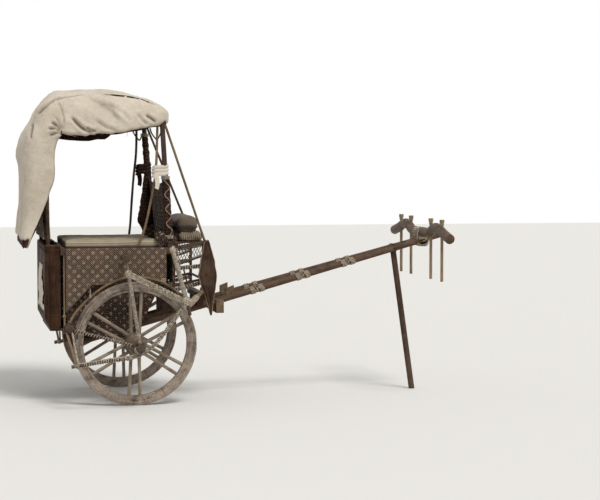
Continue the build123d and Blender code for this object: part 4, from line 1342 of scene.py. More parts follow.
WHEEL_WOOD = WoodFinish("dry_rim_wood", 0.8, (0.67, 0.61, 0.55), (0.27, 0.225, 0.19), (0.68, 0.62, 0.56),
                        Along.ROUND, 1.6, 0.5, 0.75, 0.003, 6)
HUB_WOOD = WoodFinish("dry_hub_wood", 0.78, (0.5, 0.43, 0.35), (0.25, 0.2, 0.16), (0.62, 0.56, 0.48),
                      Along.Y, 1.4, 0.9, 0.5, 0.0025)
SPOKE_WOOD = WoodFinish("dry_spoke_wood", 0.78, (0.66, 0.6, 0.53), (0.36, 0.3, 0.255),
                        (0.66, 0.6, 0.5), Along.RADIAL, 1.0, 0.6, 0.5, 0.0016)
POLE_WOOD = WoodFinish("oiled_pole_wood", 0.62, (0.4, 0.3, 0.21), (0.19, 0.13, 0.09),
                       (0.5, 0.43, 0.34), Along.X, 1.0, 0.5, 0.3)
PALE_POST = WoodFinish("bare_spindle_wood", 0.7, (0.64, 0.56, 0.44), (0.4, 0.33, 0.25),
                       (0.64, 0.57, 0.46), Along.Z, 0.8, 0.6, 0.4, 0.0014)
BEAM_WOOD = WoodFinish("dark_beam_wood", 0.7, (0.36, 0.27, 0.19), (0.16, 0.11, 0.08),
                       (0.48, 0.41, 0.32), Along.Y, 1.2, 0.7, 0.4)
POST_WOOD = WoodFinish("dark_post_wood", 0.68, (0.36, 0.27, 0.2), (0.15, 0.1, 0.08),
                       (0.46, 0.38, 0.3), Along.Z, 1.0, 0.5, 0.3)
STICK_WOOD = WoodFinish("bare_stick_wood", 0.72, (0.58, 0.49, 0.37), (0.32, 0.25, 0.18),
                        (0.62, 0.54, 0.43), Along.STRAND, 0.8, 0.6, 0.4, 0.0014)
DARK_STICK = WoodFinish("dark_stick_wood", 0.7, (0.33, 0.25, 0.19), (0.15, 0.11, 0.08),
                        (0.5, 0.43, 0.35), Along.STRAND, 0.8, 0.6, 0.5, 0.0014)
PALE_BEAM = WoodFinish("bare_cross_wood", 0.74, (0.5, 0.42, 0.32), (0.27, 0.21, 0.15),
                       (0.58, 0.5, 0.4), Along.Y, 1.0, 0.7, 0.5)
ROPE = RopeFinish("pale_rope", 0.85)
BRIGHT_ROPE = RopeFinish("bright_rope", 0.85, (0.8, 0.75, 0.66), (0.3, 0.24, 0.18), 2.0, 0.02, 0.6)
SPOTTED_ROPE = RopeFinish("spotted_rope", 0.85, (0.82, 0.77, 0.7), (0.27, 0.21, 0.16), 2.0, 0.02,
                          0.4, 0.5)
STITCH_CORD = RopeFinish("stitch_cord", 0.85, (0.2, 0.15, 0.12), (0.09, 0.065, 0.05), 2.0, 0.01, 0.4)
DARK_CORD = RopeFinish("dark_cord", 0.85, (0.36, 0.28, 0.21), (0.16, 0.11, 0.08), 2.0, 0.014, 0.6)
DARK_NET = RopeFinish("net_cord", 0.85, (0.5, 0.41, 0.31), (0.22, 0.16, 0.12), 2.0, 0.012, 0.5)
CANVAS = ClothFinish("cream_quilt_cloth", 0.88, creases=0.005)
TIE_CLOTH = ClothFinish("white_tie_cloth", 0.88, (0.84, 0.81, 0.75), (0.62, 0.56, 0.47), creases=0.003)
TICKING = ClothFinish("striped_pad_cloth", 0.86, (0.72, 0.67, 0.57), (0.5, 0.44, 0.36),
                      (0.28, 0.22, 0.17), 0.002, 0.017, (0.3, 0.23, 0.18), 0.002, Lay.ALONG)
RIBBED = ClothFinish("ribbed_roll_cloth", 0.86, (0.56, 0.5, 0.42), (0.36, 0.3, 0.25),
                     (0.2, 0.15, 0.12), 0.003, 0.0145, (0.3, 0.24, 0.19), 0.002, Lay.ACROSS)
GREY_CLOTH = ClothFinish("grey_pillow_cloth", 0.86, (0.43, 0.38, 0.33), (0.28, 0.24, 0.2),
                         (0.14, 0.11, 0.09), 0.0025, creases=0.003, lay=Lay.ACROSS)
TICKING_PATCH = ClothFinish("pale_patch_cloth", 0.86, (0.66, 0.58, 0.46), (0.45, 0.37, 0.28),
                            (0.26, 0.2, 0.15), 0.002, 0.009, (0.36, 0.28, 0.21), 0.002)
DIAPER_PRINT = PrintFinish("diaper_print", 0.85, pattern=Print.DIAPER)
BLOSSOM_PRINT = PrintFinish("blossom_print", 0.85, (0.23, 0.12, 0.1), (0.1, 0.055, 0.05),
                            pattern=Print.BLOSSOM, spacing=0.062, radius=0.014)
LINING_PRINT = PrintFinish("lining_print", 0.88, (0.2, 0.11, 0.09), (0.09, 0.05, 0.045),
                           (0.5, 0.42, 0.34), Print.BLOSSOM, 0.05, 0.009)
HIDE = LeatherFinish("dark_boot_hide", 0.6, bands=0.083)
APRON_HIDE = LeatherFinish("worn_apron_hide", 0.66, (0.34, 0.265, 0.22), (0.15, 0.11, 0.09), streaks=0.3)
# Pale hide for the strands along the apron's edges: a painted highlight where the edges catch the light.
EDGE_HIGHLIGHT_LEATHER = LeatherFinish("edge_highlight_hide", 0.66, (0.66, 0.56, 0.44), (0.42, 0.33, 0.25),
                             (0.78, 0.7, 0.58))
YOKE_WOOD = WoodFinish("worn_yoke_wood", 0.55, (0.42, 0.32, 0.22), (0.2, 0.14, 0.1),
                       (0.52, 0.45, 0.35), Along.Y, 1.0, 0.7, 0.25)
IRON = IronFinish("forged_iron", 0.6)


@dataclass
class Wheel:
    """A spoked wheel: rim with a grooved face, banded hub and slim sticks for spokes."""

    side: int
    rim_inner: float = 0.370
    rim_low: float = 0.5225
    rim_high: float = 0.5775
    hub_bore: float = 0.0185
    spoke_radius: float = 0.0125
    spoke_pairs: int = 6
    first_angle: float = 29.0
    spoke_ends: Table = ((0.062, 0.028), (0.384, 0.040))
    plane: float = 0.55
    spoke_bend: float = 0.0022

    @property
    def body(self) -> str:
        """Name of the body that the wheel is."""
        return sided("wheel", self.side)

    @property
    def centre(self) -> Vector:
        """Point on the axle line in the middle plane."""
        return place(0, 0, WHEEL_RADIUS)

    def wear(self, obj: Obj, depth: float) -> None:
        """Makes a turned piece a little uneven, as hewn wood is.

        Args:
            obj: The piece.
            depth: Largest move in metres.
        """
        for vertex in obj.data.vertices:
            spot = vertex.co * 16
            vertex.co += vertex.normal * (noise.noise(spot) - 0.35) * depth

    def turn(self, name: str, outline: Sequence[Pair], steps: int) -> Obj:
        """Turns an outline given for the left side on this wheel's side."""
        return Bench.turned(name, [(self.side * y, r) for y, r in outline], self.centre, steps)

    def rim(self) -> Obj:
        """Rim with rounded shoulders and two grooves on each face.

        Returns:
            The rim.
        """
        low, high, edge, bore = self.rim_low, self.rim_high, WHEEL_RADIUS, self.rim_inner
        outline = [
            (low + 0.004, bore), (low, bore + 0.004), (low, 0.3795), (low + 0.0014, 0.3805),
            (low + 0.0014, 0.3825), (low, 0.3835), (low, 0.4215), (low + 0.0022, 0.4235),
            (low + 0.0022, 0.4265), (low, 0.4285), (low, edge - 0.008), (low + 0.0028, edge - 0.0028),
            (low + 0.008, edge), (0.545, edge), (0.555, edge), (high - 0.008, edge),
            (high - 0.0028, edge - 0.0028), (high, edge - 0.008), (high, 0.4285),
            (high - 0.0022, 0.4265), (high - 0.0022, 0.4235), (high, 0.4215), (high, 0.402),
            (high, 0.3835), (high - 0.0014, 0.3825), (high - 0.0014, 0.3805), (high, 0.3795),
            (high, bore + 0.004), (high - 0.004, bore), (0.55, bore - 0.0005),
        ]
        obj = self.turn(sided("rim", self.side), outline, 180)
        self.wear(obj, 0.0016)
        return Bench.smooth(obj, 32)

    def hub(self) -> Obj:
        """Hub with rings cut on its barrel and on both necks.

        Returns:
            The hub.
        """
        bore = self.hub_bore
        outline = [
            (0.440, bore), (0.440, 0.030), (0.443, 0.033), (0.440, 0.036), (0.440, 0.052),
            (0.4435, 0.0575), (0.452, 0.0585), (0.456, 0.0555), (0.459, 0.0585), (0.476, 0.0675),
            (0.489, 0.0735), (0.493, 0.0775), (0.499, 0.0795), (0.507, 0.0795), (0.510, 0.0755),
            (0.513, 0.0775), (0.530, 0.0785), (0.550, 0.0790), (0.570, 0.0785), (0.587, 0.0775),
            (0.590, 0.0755), (0.593, 0.0795), (0.601, 0.0795), (0.607, 0.0775), (0.612, 0.0735),
            (0.630, 0.0700), (0.634, 0.0725), (0.643, 0.0715), (0.646, 0.0675), (0.680, 0.0620),
            (0.715, 0.0575), (0.728, 0.0555), (0.732, 0.0595), (0.741, 0.0600), (0.746, 0.0560),
            (0.751, 0.0570), (0.755, 0.0530), (0.755, 0.0400), (0.752, 0.0370), (0.755, 0.0340),
            (0.755, bore), (0.640, bore), (0.550, bore),
        ]
        obj = self.turn(sided("hub", self.side), outline, 72)
        self.wear(obj, 0.0010)
        return Bench.smooth(obj, 38)

    def spokes(self) -> Obj:
        """Pairs of near-parallel sticks that sit in the hub and the rim.

        Returns:
            The spokes.
        """
        work = RopeWork()
        for pair in range(self.spoke_pairs):
            angle = math.radians(self.first_angle + pair * 360 / self.spoke_pairs)
            for turn in (-1, 1):
                ends = []
                for reach, spread in self.spoke_ends:
                    x = reach * math.cos(angle) - turn * spread * math.sin(angle)
                    z = reach * math.sin(angle) + turn * spread * math.cos(angle)
                    ends.append(place(x, self.side * self.plane, WHEEL_RADIUS + z))
                middle = ends[0].lerp(ends[1], 0.5)
                bend = noise.noise(middle * 11) * self.spoke_bend
                middle += Vector((bend, 0.0, -bend))
                line = resample([ends[0], middle, ends[1]], 0.02)
                swell = np.array([0.93 + 0.1 * abs(2 * k / (len(line) - 1) - 1)
                                  + 0.05 * noise.noise(Vector(point) * 28)
                                  for k, point in enumerate(line)])
                work.strand(line, swell * self.spoke_radius, 12)
        return work.piece(sided("spokes", self.side))

    def build(self) -> None:
        """Builds the wheel's three pieces."""
        for piece, finish, word in ((self.rim(), WHEEL_WOOD, "wheel_rim"),
                                    (self.hub(), HUB_WOOD, "wheel_hub"),
                                    (self.spokes(), SPOKE_WOOD, "wheel_spokes")):
            hand_over(piece, finish, [sided(word, self.side)], self.body)


@dataclass
class SideFrame:
    """What stands outside one wheel: bow, strut, ties, leg, brace, stays, lashings and guard."""

    side: int
    joint: Place = (0.329, 0.870, 0.750)
    tail: Place = (-0.440, 0.860, 0.324)
    corner: Place = (-0.4703, 0.640, 0.558)
    axle_knot: Place = (-0.004, 0.848, 0.423)
    platform_knot: Place = (0.283, 0.462, 1.095)
    brace_top: Place = (0.522, 0.345, 0.800)
    strut_foot: Place = (0.0, 0.905, 0.440)
    strut_top: Place = (-0.072, 0.655, 1.0497)
    bow_y: float = 0.860
    bow_route: Table = (
        (-0.476, 0.314), (-0.235, 0.351), (-0.070, 0.371), (0.030, 0.408), (0.130, 0.492),
        (0.329, 0.750),
    )
    guard_y: float = 0.495
    guard_route: Table = (
        (-0.478, 0.556), (-0.392, 0.690), (-0.243, 0.824), (-0.060, 0.906), (0.130, 0.895),
        (0.262, 0.836), (0.335, 0.772),
    )
    guard_tie: tuple[Place, ...] = (
        (-0.310, 0.450, 1.069), (-0.310, 0.450, 0.900), (-0.310, 0.462, 0.830), (-0.310, 0.495, 0.776))
    knot_share: float = 0.83
    stay_count: int = 4
    stay_gaps: Pair = (0.0135, 0.0120)
    stay_wraps: Table = ((1, 0.025), (-1, 0.029))
    wrapped: Pair = (0.36, 0.58)

    def at(self, spot: Place, shift: Place = (0.0, 0.0, 0.0)) -> Vector:
        """Place on this side, moved by a shift."""
        x, y, z = (a + b for a, b in zip(spot, shift))
        return place(x, self.side * y, z)

    def give(self, work: RopeWork, word: str, finish: Finish, slot: str, node: str) -> None:
        """Makes a piece of gathered work and hands it over."""
        work.give(sided(word, self.side), finish, slot, [node])

    @property
    def bow_line(self) -> Points:
        """Middle of the bow."""
        return resample([self.at((x, self.bow_y, z)) for x, z in self.bow_route], 0.012)

    def bow(self) -> None:
        """Bow stick, with open turns of rope at the rear and close ones in front."""
        line = self.bow_line
        tip = len(line) - 4
        self.give(RopeWork().stick(line[:tip], 0.0098), "bow_stick", DARK_STICK, "bow_wood", "outer_bows")
        rope = RopeWork()
        rope.winding(line, 0.0095, 0.0032, 0.0170, 0.09, 0.40, self.side, wobble=0.003)
        rope.winding(line, 0.0095, 0.0034, 0.0112, 0.40, 0.955, self.side, wobble=0.003)
        rope.winding(line, 0.0118, 0.0026, 0.0310, 0.30, 0.94, -self.side)
        upper = line[:int(len(line) * 0.5)] + np.array((0.0, -self.side * 0.004, 0.0135))
        rope.twisted(upper, 0.0052, 0.019)
        self.give(rope, "bow_rope", BRIGHT_ROPE, "rope", "outer_bows")

    def strut(self) -> None:
        """Strut from the axle rod to the side arm, wound with spotted cord, and its eye."""
        foot, top = self.at(self.strut_foot), self.at(self.strut_top)
        line = resample([foot, top], 0.015)
        self.give(RopeWork().stick(line, 0.0092), "strut_stick", STICK_WOOD, "pale_wood", "outer_struts")
        cord = RopeWork().winding(line, 0.0090, 0.0024, 0.0066, 0.055, 0.79, self.side, wobble=0.002)
        cord.winding(line, 0.0106, 0.0022, 0.0430, 0.1, 0.79, -self.side)
        self.give(cord, "strut_cord", SPOTTED_ROPE, "rope", "outer_struts")
        y, half = self.strut_foot[1], 0.013
        outline = [(y - half, 0.0185), (y - half, 0.028), (y - half + 0.004, 0.032),
                   (y + half - 0.004, 0.032), (y + half, 0.028), (y + half, 0.0185)]
        eye = Bench.turned(sided("strut_eye", self.side), [(self.side * a, b) for a, b in outline],
                           place(0, 0, WHEEL_RADIUS), 32)
        hand_over(Bench.smooth(eye, 40), DARK_STICK, ["outer_struts"])

    def rear_tie(self) -> None:
        """Tie from the axle knot to the rear corner with a bright rope in open turns."""
        line = resample([self.at((-0.024, 0.848, 0.447)), self.at(self.corner)], 0.015)
        self.give(RopeWork().stick(line, 0.0082), "rear_tie_stick", DARK_STICK, "bow_wood", "rear_ties")
        rope = RopeWork()
        rope.winding(line, 0.0080, 0.0030, 0.0210, 0.06, 0.94, self.side, wobble=0.004)
        self.give(rope, "rear_tie_rope", BRIGHT_ROPE, "rope", "rear_ties")

    def hangers(self) -> None:
        """One bare stick and one spotted rope between the rear corner and the bow's tail."""
        line = resample([self.at(self.corner, (-0.022, 0.012, -0.022)),
                         self.at(self.tail, (-0.004, 0.0, 0.014))], 0.015)
        self.give(RopeWork().stick(line, 0.0088), "hanger_stick", STICK_WOOD, "pale_wood", "rear_hangers")
        line = resample([self.at(self.corner, (0.016, 0.022, -0.022)),
                         self.at(self.tail, (0.010, 0.018, 0.014))], 0.015)
        rope = RopeWork().twisted(line, 0.0072, 0.026)
        self.give(rope, "hanger_rope", SPOTTED_ROPE, "rope", "rear_hangers")

    def leg(self) -> None:
        """Front leg, wound close in two ways so that the turns cross, with a bare stub below."""
        top, joint = self.at(self.platform_knot), self.at(self.joint)
        end = joint + (joint - top).normalized() * 0.114
        line = resample([top, end], 0.012)
        self.give(RopeWork().stick(line, 0.0112), "leg_stick", DARK_STICK, "bow_wood", "front_legs")
        length = (end - top).length
        reach = (joint - top).length / length
        rope = RopeWork()
        rope.winding(line, 0.0108, 0.0030, 0.0096, 0.04, reach + 0.02, 1, wobble=0.002)
        rope.winding(line, 0.0128, 0.0030, 0.0180, 0.04, reach + 0.02, -1, wobble=0.002)
        self.give(rope, "leg_rope", BRIGHT_ROPE, "rope", "front_legs")

    def brace(self) -> None:
        """Brace from the joint to the seat, wound low down and bare above."""
        line = resample([self.at(self.joint, (0.023, -0.008, -0.008)), self.at(self.brace_top)], 0.015)
        self.give(RopeWork().stick(line, 0.0155), "brace_stick", STICK_WOOD, "pale_wood", "front_braces")
        rope = RopeWork().winding(line, 0.0150, 0.0038, 0.0096, 0.05, 0.46, 1, wobble=0.002)
        rope.winding(line, 0.0165, 0.0030, 0.0240, 0.05, 0.42, -1)
        self.give(rope, "brace_rope", ROPE, "rope", "front_braces")

    def stays(self) -> None:
        """Four taut ropes from the strut to the joint, bound together towards the joint."""
        foot, top = self.at(self.strut_foot), self.at(self.strut_top)
        knot = foot.lerp(top, self.knot_share)
        way = (top - foot).normalized()
        joint = self.at(self.joint)
        rope = RopeWork()
        for number in range(self.stay_count):
            step = number - (self.stay_count - 1) / 2
            start = knot + way * (step * self.stay_gaps[0])
            end = joint + Vector((0, 0, step * self.stay_gaps[1]))
            rope.twisted(resample([start, end], 0.02), 0.0052, 0.019)
        across = Vector((joint - knot)).cross(Vector((0, 0, 1))).normalized()
        for hand, pitch in self.stay_wraps:
            rows = []
            steps = 560
            for k in range(steps + 1):
                share = self.wrapped[0] + self.wrapped[1] * k / steps
                middle = knot.lerp(joint, share)
                turn = hand * share * (joint - knot).length / pitch * math.tau
                high = 0.0262 - 0.0020 * share
                tall = way.lerp(Vector((0, 0, 1)), share).normalized()
                rows.append(middle + tall * (high * math.cos(turn)) + across * (0.0095 * math.sin(turn)))
            rope.strand(rows, 0.0030, 5)
        self.give(rope, "stay_ropes", BRIGHT_ROPE, "rope", "rope_stays")

    def knot(self, work: RopeWork, centre: Vector, axis: Vector, radius: float, rope: float = 0.0042,
             length: float = 1.0) -> None:
        """Ball of rope round a crossing, with a second set of turns over the first.

        Args:
            work: Gathering that takes the turns.
            centre: Middle of the crossing.
            axis: Direction that most turns go round.
            radius: Radius of the ball.
            rope: Radius of the rope.
            length: Stretch along the axis.
        """
        way = axis.normalized()
        shares = np.linspace(-0.93, 0.93, 9)
        core = np.array([centre + way * (share * (radius - rope) * length) for share in shares])
        work.strand(core, (radius - rope * 1.6) * np.sqrt(1 - shares ** 2) + 0.001, 12)
        work.ball(centre, way, radius - rope * 0.6, rope, length, 0.9)
        over = (way + way.orthogonal().normalized() * 0.9).normalized()
        work.ball(centre, over, radius + rope * 0.1, rope, 1.0, 0.42)

    def axle_end(self, rope: RopeWork) -> None:
        """Close turns of rope round the axle's end, coiled in over its face.

        Args:
            rope: Gathering that takes the turns.
        """
        rows = []
        for step in range(15 * 20 + 1):
            turn = step / 20
            angle = turn * math.tau
            far = 0.0225 if turn < 10 else 0.0225 * (1 - (turn - 10) / 5.4)
            out = 0.885 + 0.0056 * min(turn, 10.0) + (0.0012 * (turn - 10) if turn > 10 else 0.0)
            rows.append(place(far * math.cos(angle), self.side * out, WHEEL_RADIUS + far * math.sin(angle)))
        rope.strand(rows, 0.0034, 6)

    def lashings(self) -> None:
        """Balls of rope where the sticks cross."""
        foot, top = self.at(self.strut_foot), self.at(self.strut_top)
        joint, corner = self.at(self.joint), self.at(self.corner)
        leg = joint - self.at(self.platform_knot)
        beam = Vector((0, 1, 0))
        bright = RopeWork()
        self.knot(bright, joint, leg, 0.042, 0.0046)
        self.knot(bright, foot.lerp(top, self.knot_share), top - foot, 0.027, 0.0036, 1.2)
        self.knot(bright, self.at(self.platform_knot), leg, 0.029, 0.0040, 1.3)
        self.knot(bright, self.at(self.axle_knot), beam, 0.035, 0.0042)
        self.give(bright, "bright_knots", BRIGHT_ROPE, "rope", "rope_lashings")
        plain = RopeWork()
        self.knot(plain, self.at(self.tail), Vector((1, 0, 0.15)), 0.021, 0.0034, 1.2)
        self.knot(plain, self.at(self.brace_top), Vector((0.2, 0, 1)), 0.029, 0.0036)
        self.give(plain, "plain_knots", ROPE, "rope", "rope_lashings")
        cord = RopeWork()
        self.knot(cord, corner, beam, 0.034, 0.0036)
        self.knot(cord, top, beam, 0.031, 0.0040)
        self.axle_end(cord)
        for turn in range(5):
            angle = turn * 0.55
            reach = 0.038 + 0.0016 * turn
            ring = [corner + Vector((math.cos(a) * reach, self.side * (-0.014 + 0.006 * turn
                                                                       + 0.010 * math.sin(a + angle)),
                                     math.sin(a) * reach)) for a in np.linspace(0, math.tau, 25)]
            cord.strand(ring, 0.0026, 5)
        for shift in (-0.006, 0.004):
            ends = [corner + Vector((0.03, self.side * shift, 0.03)),
                    corner + Vector((0.055, self.side * (-0.02 + shift), -0.012)),
                    corner + Vector((0.052 + shift, self.side * (-0.012), -0.072))]
            cord.twisted(resample(ends, 0.008), 0.0034, 0.013, 2)
        self.give(cord, "corner_cords", DARK_CORD, "rope", "rope_lashings")

    def guard(self) -> None:
        """Bent stick over the wheel and the cord that holds it to the platform."""
        line = resample([self.at((x, self.guard_y, z)) for x, z in self.guard_route], 0.014)
        self.give(RopeWork().stick(line, 0.0100), "wheel_guard", STICK_WOOD, "bow_wood", "wheel_guards")
        route = [self.at(spot) for spot in self.guard_tie]
        cord = RopeWork().twisted(resample(route, 0.01), 0.0052, 0.02, 2)
        for turn in range(4):
            angles = np.linspace(0, math.tau, 15)
            base = self.at(self.guard_tie[-1], (0.0, 0.0, -0.004))
            ring = [base + Vector((-0.007 + turn * 0.0046, math.cos(a) * 0.0128,
                                   math.sin(a) * 0.0128)) for a in angles]
            cord.strand(ring, 0.0024, 5)
        self.give(cord, "guard_cord", ROPE, "rope", "wheel_guards")

    def build(self) -> None:
        """Builds this side's sticks, ropes and lashings."""
        for make in (self.bow, self.strut, self.rear_tie, self.hangers, self.leg, self.brace,
                     self.stays, self.lashings, self.guard):
            make()


class Run(Enum):
    """Stretches of the canopy's border."""

    HEM = "hem"
    SIDE = "side"
    CORNER = "corner"
    BACK = "back"


@dataclass(frozen=True)
class Column:
    """One line of points down the canopy, and where it starts on the border."""

    run: Run
    side: int
    share: float
    x: float
    y: float
    out: Pair = (0.0, 0.0)


@dataclass(frozen=True)
class Crease:
    """A fold in the side of the canopy, as places along and up.

    Depth is how far its middle sinks, lip how far the cloth beside it swells, step how far
    the cloth below stands in front of the cloth above, and shade how dark the painted shade along it is.
    """

    route: Table
    depth: float = 0.007
    width: float = 0.008
    lip: float = 0.003
    shade: float = 0.7
    step: float = 0.0


CREASES = (
    Crease(((-0.711, 2.004), (-0.722, 1.945), (-0.730, 1.892)), 0.012, 0.008, 0.004, 1.0),
    Crease(((-0.684, 2.062), (-0.651, 2.100), (-0.560, 2.168), (-0.500, 2.180)), 0.010, 0.011, 0.003, 1.0),
    Crease(((-0.651, 2.104), (-0.558, 2.171), (-0.418, 2.191), (-0.345, 2.202)), 0.006, 0.0075, 0.003,
           1.0, 0.011),
    Crease(((-0.345, 2.202), (-0.240, 2.159), (-0.150, 2.126), (-0.072, 1.999)), -0.010, 0.024, 0.0, 0.0),
    Crease(((-0.325, 2.180), (-0.232, 2.132), (-0.165, 2.090), (-0.120, 2.020)), 0.006, 0.018, 0.0, 0.25),
    Crease(((-0.450, 2.052), (-0.417, 2.011), (-0.384, 1.978), (-0.335, 1.945), (-0.286, 1.933)),
           0.014, 0.011, 0.007, 0.95),
    Crease(((-0.343, 1.978), (-0.319, 1.958), (-0.269, 1.944)), 0.011, 0.009, 0.006, 0.9),
    Crease(((-0.285, 2.028), (-0.211, 1.978), (-0.120, 1.945)), 0.005, 0.012, 0.004, 0.3),
    Crease(((0.072, 2.062), (0.113, 2.037), (0.146, 2.012)), 0.012, 0.010, 0.006, 0.95),
    Crease(((-0.202, 2.135), (-0.144, 2.111), (-0.078, 2.070), (-0.037, 2.020)), 0.004, 0.012, 0.004, 0.2),
    Crease(((0.010, 2.080), (0.045, 2.030), (0.090, 1.990)), 0.005, 0.010, 0.003, 0.3),
    Crease(((-0.547, 2.167), (-0.515, 2.109), (-0.499, 2.044), (-0.495, 1.986), (-0.508, 1.961)),
           0.005, 0.006, 0.002, 0.6, 0.0),
    Crease(((-0.516, 1.957), (-0.549, 1.986), (-0.590, 2.010)), 0.012, 0.010, 0.005, 0.8),
    Crease(((-0.520, 1.950), (-0.560, 1.965), (-0.610, 1.966)), 0.012, 0.009, 0.005, 0.85),
    Crease(((-0.522, 1.944), (-0.560, 1.935), (-0.600, 1.915)), 0.010, 0.009, 0.005, 0.7),
    Crease(((-0.512, 1.965), (-0.535, 2.010), (-0.560, 2.050)), 0.006, 0.008, 0.003, 0.4),
    Crease(((-0.224, 2.206), (-0.162, 2.200), (-0.079, 2.195), (0.005, 2.185), (0.072, 2.168),
            (0.122, 2.146), (0.155, 2.130)), 0.006, 0.006, 0.002, 1.0, 0.008),
)


@dataclass
class Canopy:
    """Quilted cloth over the seat, the drape that hangs down behind it, and their dark lining."""

    front: float = 0.252
    half: float = 0.620
    split: float = -0.524
    front_corner: float = 0.115
    edge: float = 1.946
    spine: Pair = (-0.45, 0.02)
    crown: Table = ((-0.45, 2.240), (-0.35, 2.249), (-0.17, 2.249), (-0.05, 2.238), (0.02, 2.222))
    fall: Table = ((-0.15, 1.0), (-0.05, 0.985), (0.05, 0.93), (0.12, 0.82), (0.16, 0.71), (0.21, 0.58),
                   (0.252, 0.47))
    hem: Table = ((-0.524, 1.944), (-0.470, 1.930), (-0.377, 1.923), (-0.286, 1.931), (-0.17, 1.937),
                  (-0.087, 1.941), (-0.004, 1.958), (0.113, 1.985), (0.197, 1.992), (0.252, 1.994))
    left_valance: Table = ((-0.52, 0.020), (-0.36, 0.030), (-0.29, 0.042), (-0.22, 0.046), (-0.16, 0.036),
                           (-0.09, 0.040), (-0.04, 0.0))
    drape_front: Table = ((1.130, -0.768), (1.188, -0.730), (1.287, -0.680), (1.385, -0.642),
                          (1.467, -0.611), (1.517, -0.600), (1.616, -0.572), (1.731, -0.567),
                          (1.813, -0.562), (1.879, -0.549), (1.928, -0.530), (1.946, -0.524))
    drape_rear: Table = ((1.130, -0.796), (1.197, -0.806), (1.288, -0.798), (1.395, -0.791),
                         (1.518, -0.784), (1.633, -0.778), (1.715, -0.777), (1.805, -0.773),
                         (1.885, -0.759), (1.946, -0.738))
    slope: Table = ((0.0, 1.0), (0.18, 0.93), (0.43, 0.85), (0.62, 0.76), (0.80, 0.64), (0.90, 0.58),
                    (1.0, 0.55))
    far_shift: Table = ((1.13, 0.018), (1.18, 0.026), (1.26, 0.027), (1.36, 0.021), (1.45, 0.018),
                        (1.60, 0.020), (1.69, 0.015), (1.76, -0.011), (1.83, -0.011), (1.90, -0.005),
                        (1.946, 0.0))
    far_slope: Table = ((0.0, 1.0), (0.3, 0.88), (0.55, 0.83), (0.75, 0.87), (1.0, 0.80))
    drape_half: Table = ((1.130, 0.600), (1.400, 0.612), (1.650, 0.604), (1.946, 0.620))
    foot: float = 1.131
    top_length: float = 0.74
    drape_length: float = 0.80
    thickness: float = 0.013
    step: float = 0.0104
    quick_step: float = 0.0165
    lining_step: float = 0.030
    lining_gap: float = 0.030
    hem_turn: float = 115.0
    gap_route: Table = ((-0.200, 2.206), (-0.150, 2.200), (-0.079, 2.194), (0.005, 2.184), (0.072, 2.167),
                        (0.122, 2.145), (0.150, 2.129))
    gap_places: int = 29
    gap_reach: float = 0.0125

    def wall(self, z: float, inset: float) -> tuple[float, float, float, float]:
        """Front edge, rear, corner radius and half width of the drape at a height.

        Args:
            z: Height.
            inset: How far inside the outer face.

        Returns:
            Front edge, rear, corner radius and half width.
        """
        front = between(z, self.drape_front)
        inset *= 0.25 + 0.75 * clamp((z - 1.16) / 0.10)
        rear = between(z, self.drape_rear) + inset
        corner = min(0.11, 0.8 * (front - rear)) - inset * 0.5
        return front, rear, max(corner, 0.008), between(z, self.drape_half) - inset

    def roll(self, x: float) -> float:
        """Radius of the rolled hem, larger at the front."""
        return 0.021 + 0.021 * clamp((x - 0.10) / 0.10)

    def drape_spot(self, column: Column, z: float, inset: float) -> Pair:
        """Place of a drape column at a height.

        Args:
            column: One of the drape's columns.
            z: Height.
            inset: How far inside the outer face.

        Returns:
            Places along and across.
        """
        front, rear, corner, half = self.wall(z, inset)
        if column.run is Run.SIDE:
            x, y = front + column.share * (rear + corner - front), column.side * half
        elif column.run is Run.CORNER:
            angle = column.share * math.pi / 2
            x = rear + corner * (1 - math.sin(angle))
            y = column.side * (half - corner * (1 - math.cos(angle)))
        else:
            x, y = rear, column.share * (half - corner)
        depth = clamp((front - x) / max(front - rear, 0.02))
        return x + between(z, self.far_shift) * clamp((y + 0.6) / 1.1) * depth, y

    def border(self, step: float, inset: float) -> list[Column]:
        """Columns all the way round, forward along the right side first.

        Args:
            step: Distance between columns.
            inset: How far inside the outer face.

        Returns:
            The columns.
        """
        half, front, corner = self.half - inset, self.front - inset * 1.9, self.front_corner
        route: list[Pair] = [(self.split, -half)]
        for k in range(13):
            a = k / 12 * math.pi / 2
            route.append((front - corner * (1 - math.sin(a)), -half + corner * (1 - math.cos(a))))
        for k in range(13):
            a = k / 12 * math.pi / 2
            route.append((front - corner * (1 - math.cos(a)), half - corner * (1 - math.sin(a))))
        route.append((self.split, half))
        line = np.array(route)
        lengths = lengths_along(line)
        want = np.linspace(0, lengths[-1], int(lengths[-1] / step) + 1)
        spots = read_along(want, lengths, line)
        ways = np.gradient(spots, axis=0)
        ways /= np.linalg.norm(ways, axis=1, keepdims=True)
        columns = [Column(Run.HEM, RIGHT if y < 0 else LEFT, 0.0, x, y, (w[1], -w[0]))
                   for (x, y), w in zip(spots, ways)]
        edge_front, edge_rear, edge_corner, edge_half = self.wall(self.edge, inset)
        sides = max(4, int((edge_front - edge_rear - edge_corner) / step))
        corners = max(3, int(edge_corner * 1.6 / step))
        backs = max(6, int(2 * (edge_half - edge_corner) / step))
        plan = [(Run.SIDE, LEFT, k / sides) for k in range(sides)]
        plan += [(Run.CORNER, LEFT, k / corners) for k in range(corners)]
        plan += [(Run.BACK, LEFT, 1 - 2 * k / backs) for k in range(backs)]
        plan += [(Run.CORNER, RIGHT, 1 - k / corners) for k in range(corners)]
        plan += [(Run.SIDE, RIGHT, 1 - k / sides) for k in range(sides + 1)]
        rear_part = []
        for run, side, share in plan:
            blank = Column(run, side, share, 0.0, 0.0)
            x, y = self.drape_spot(blank, self.edge, inset)
            rear_part.append(Column(run, side, share, x, y))
        return rear_part[-1:] + columns[1:-1] + rear_part[:-1]

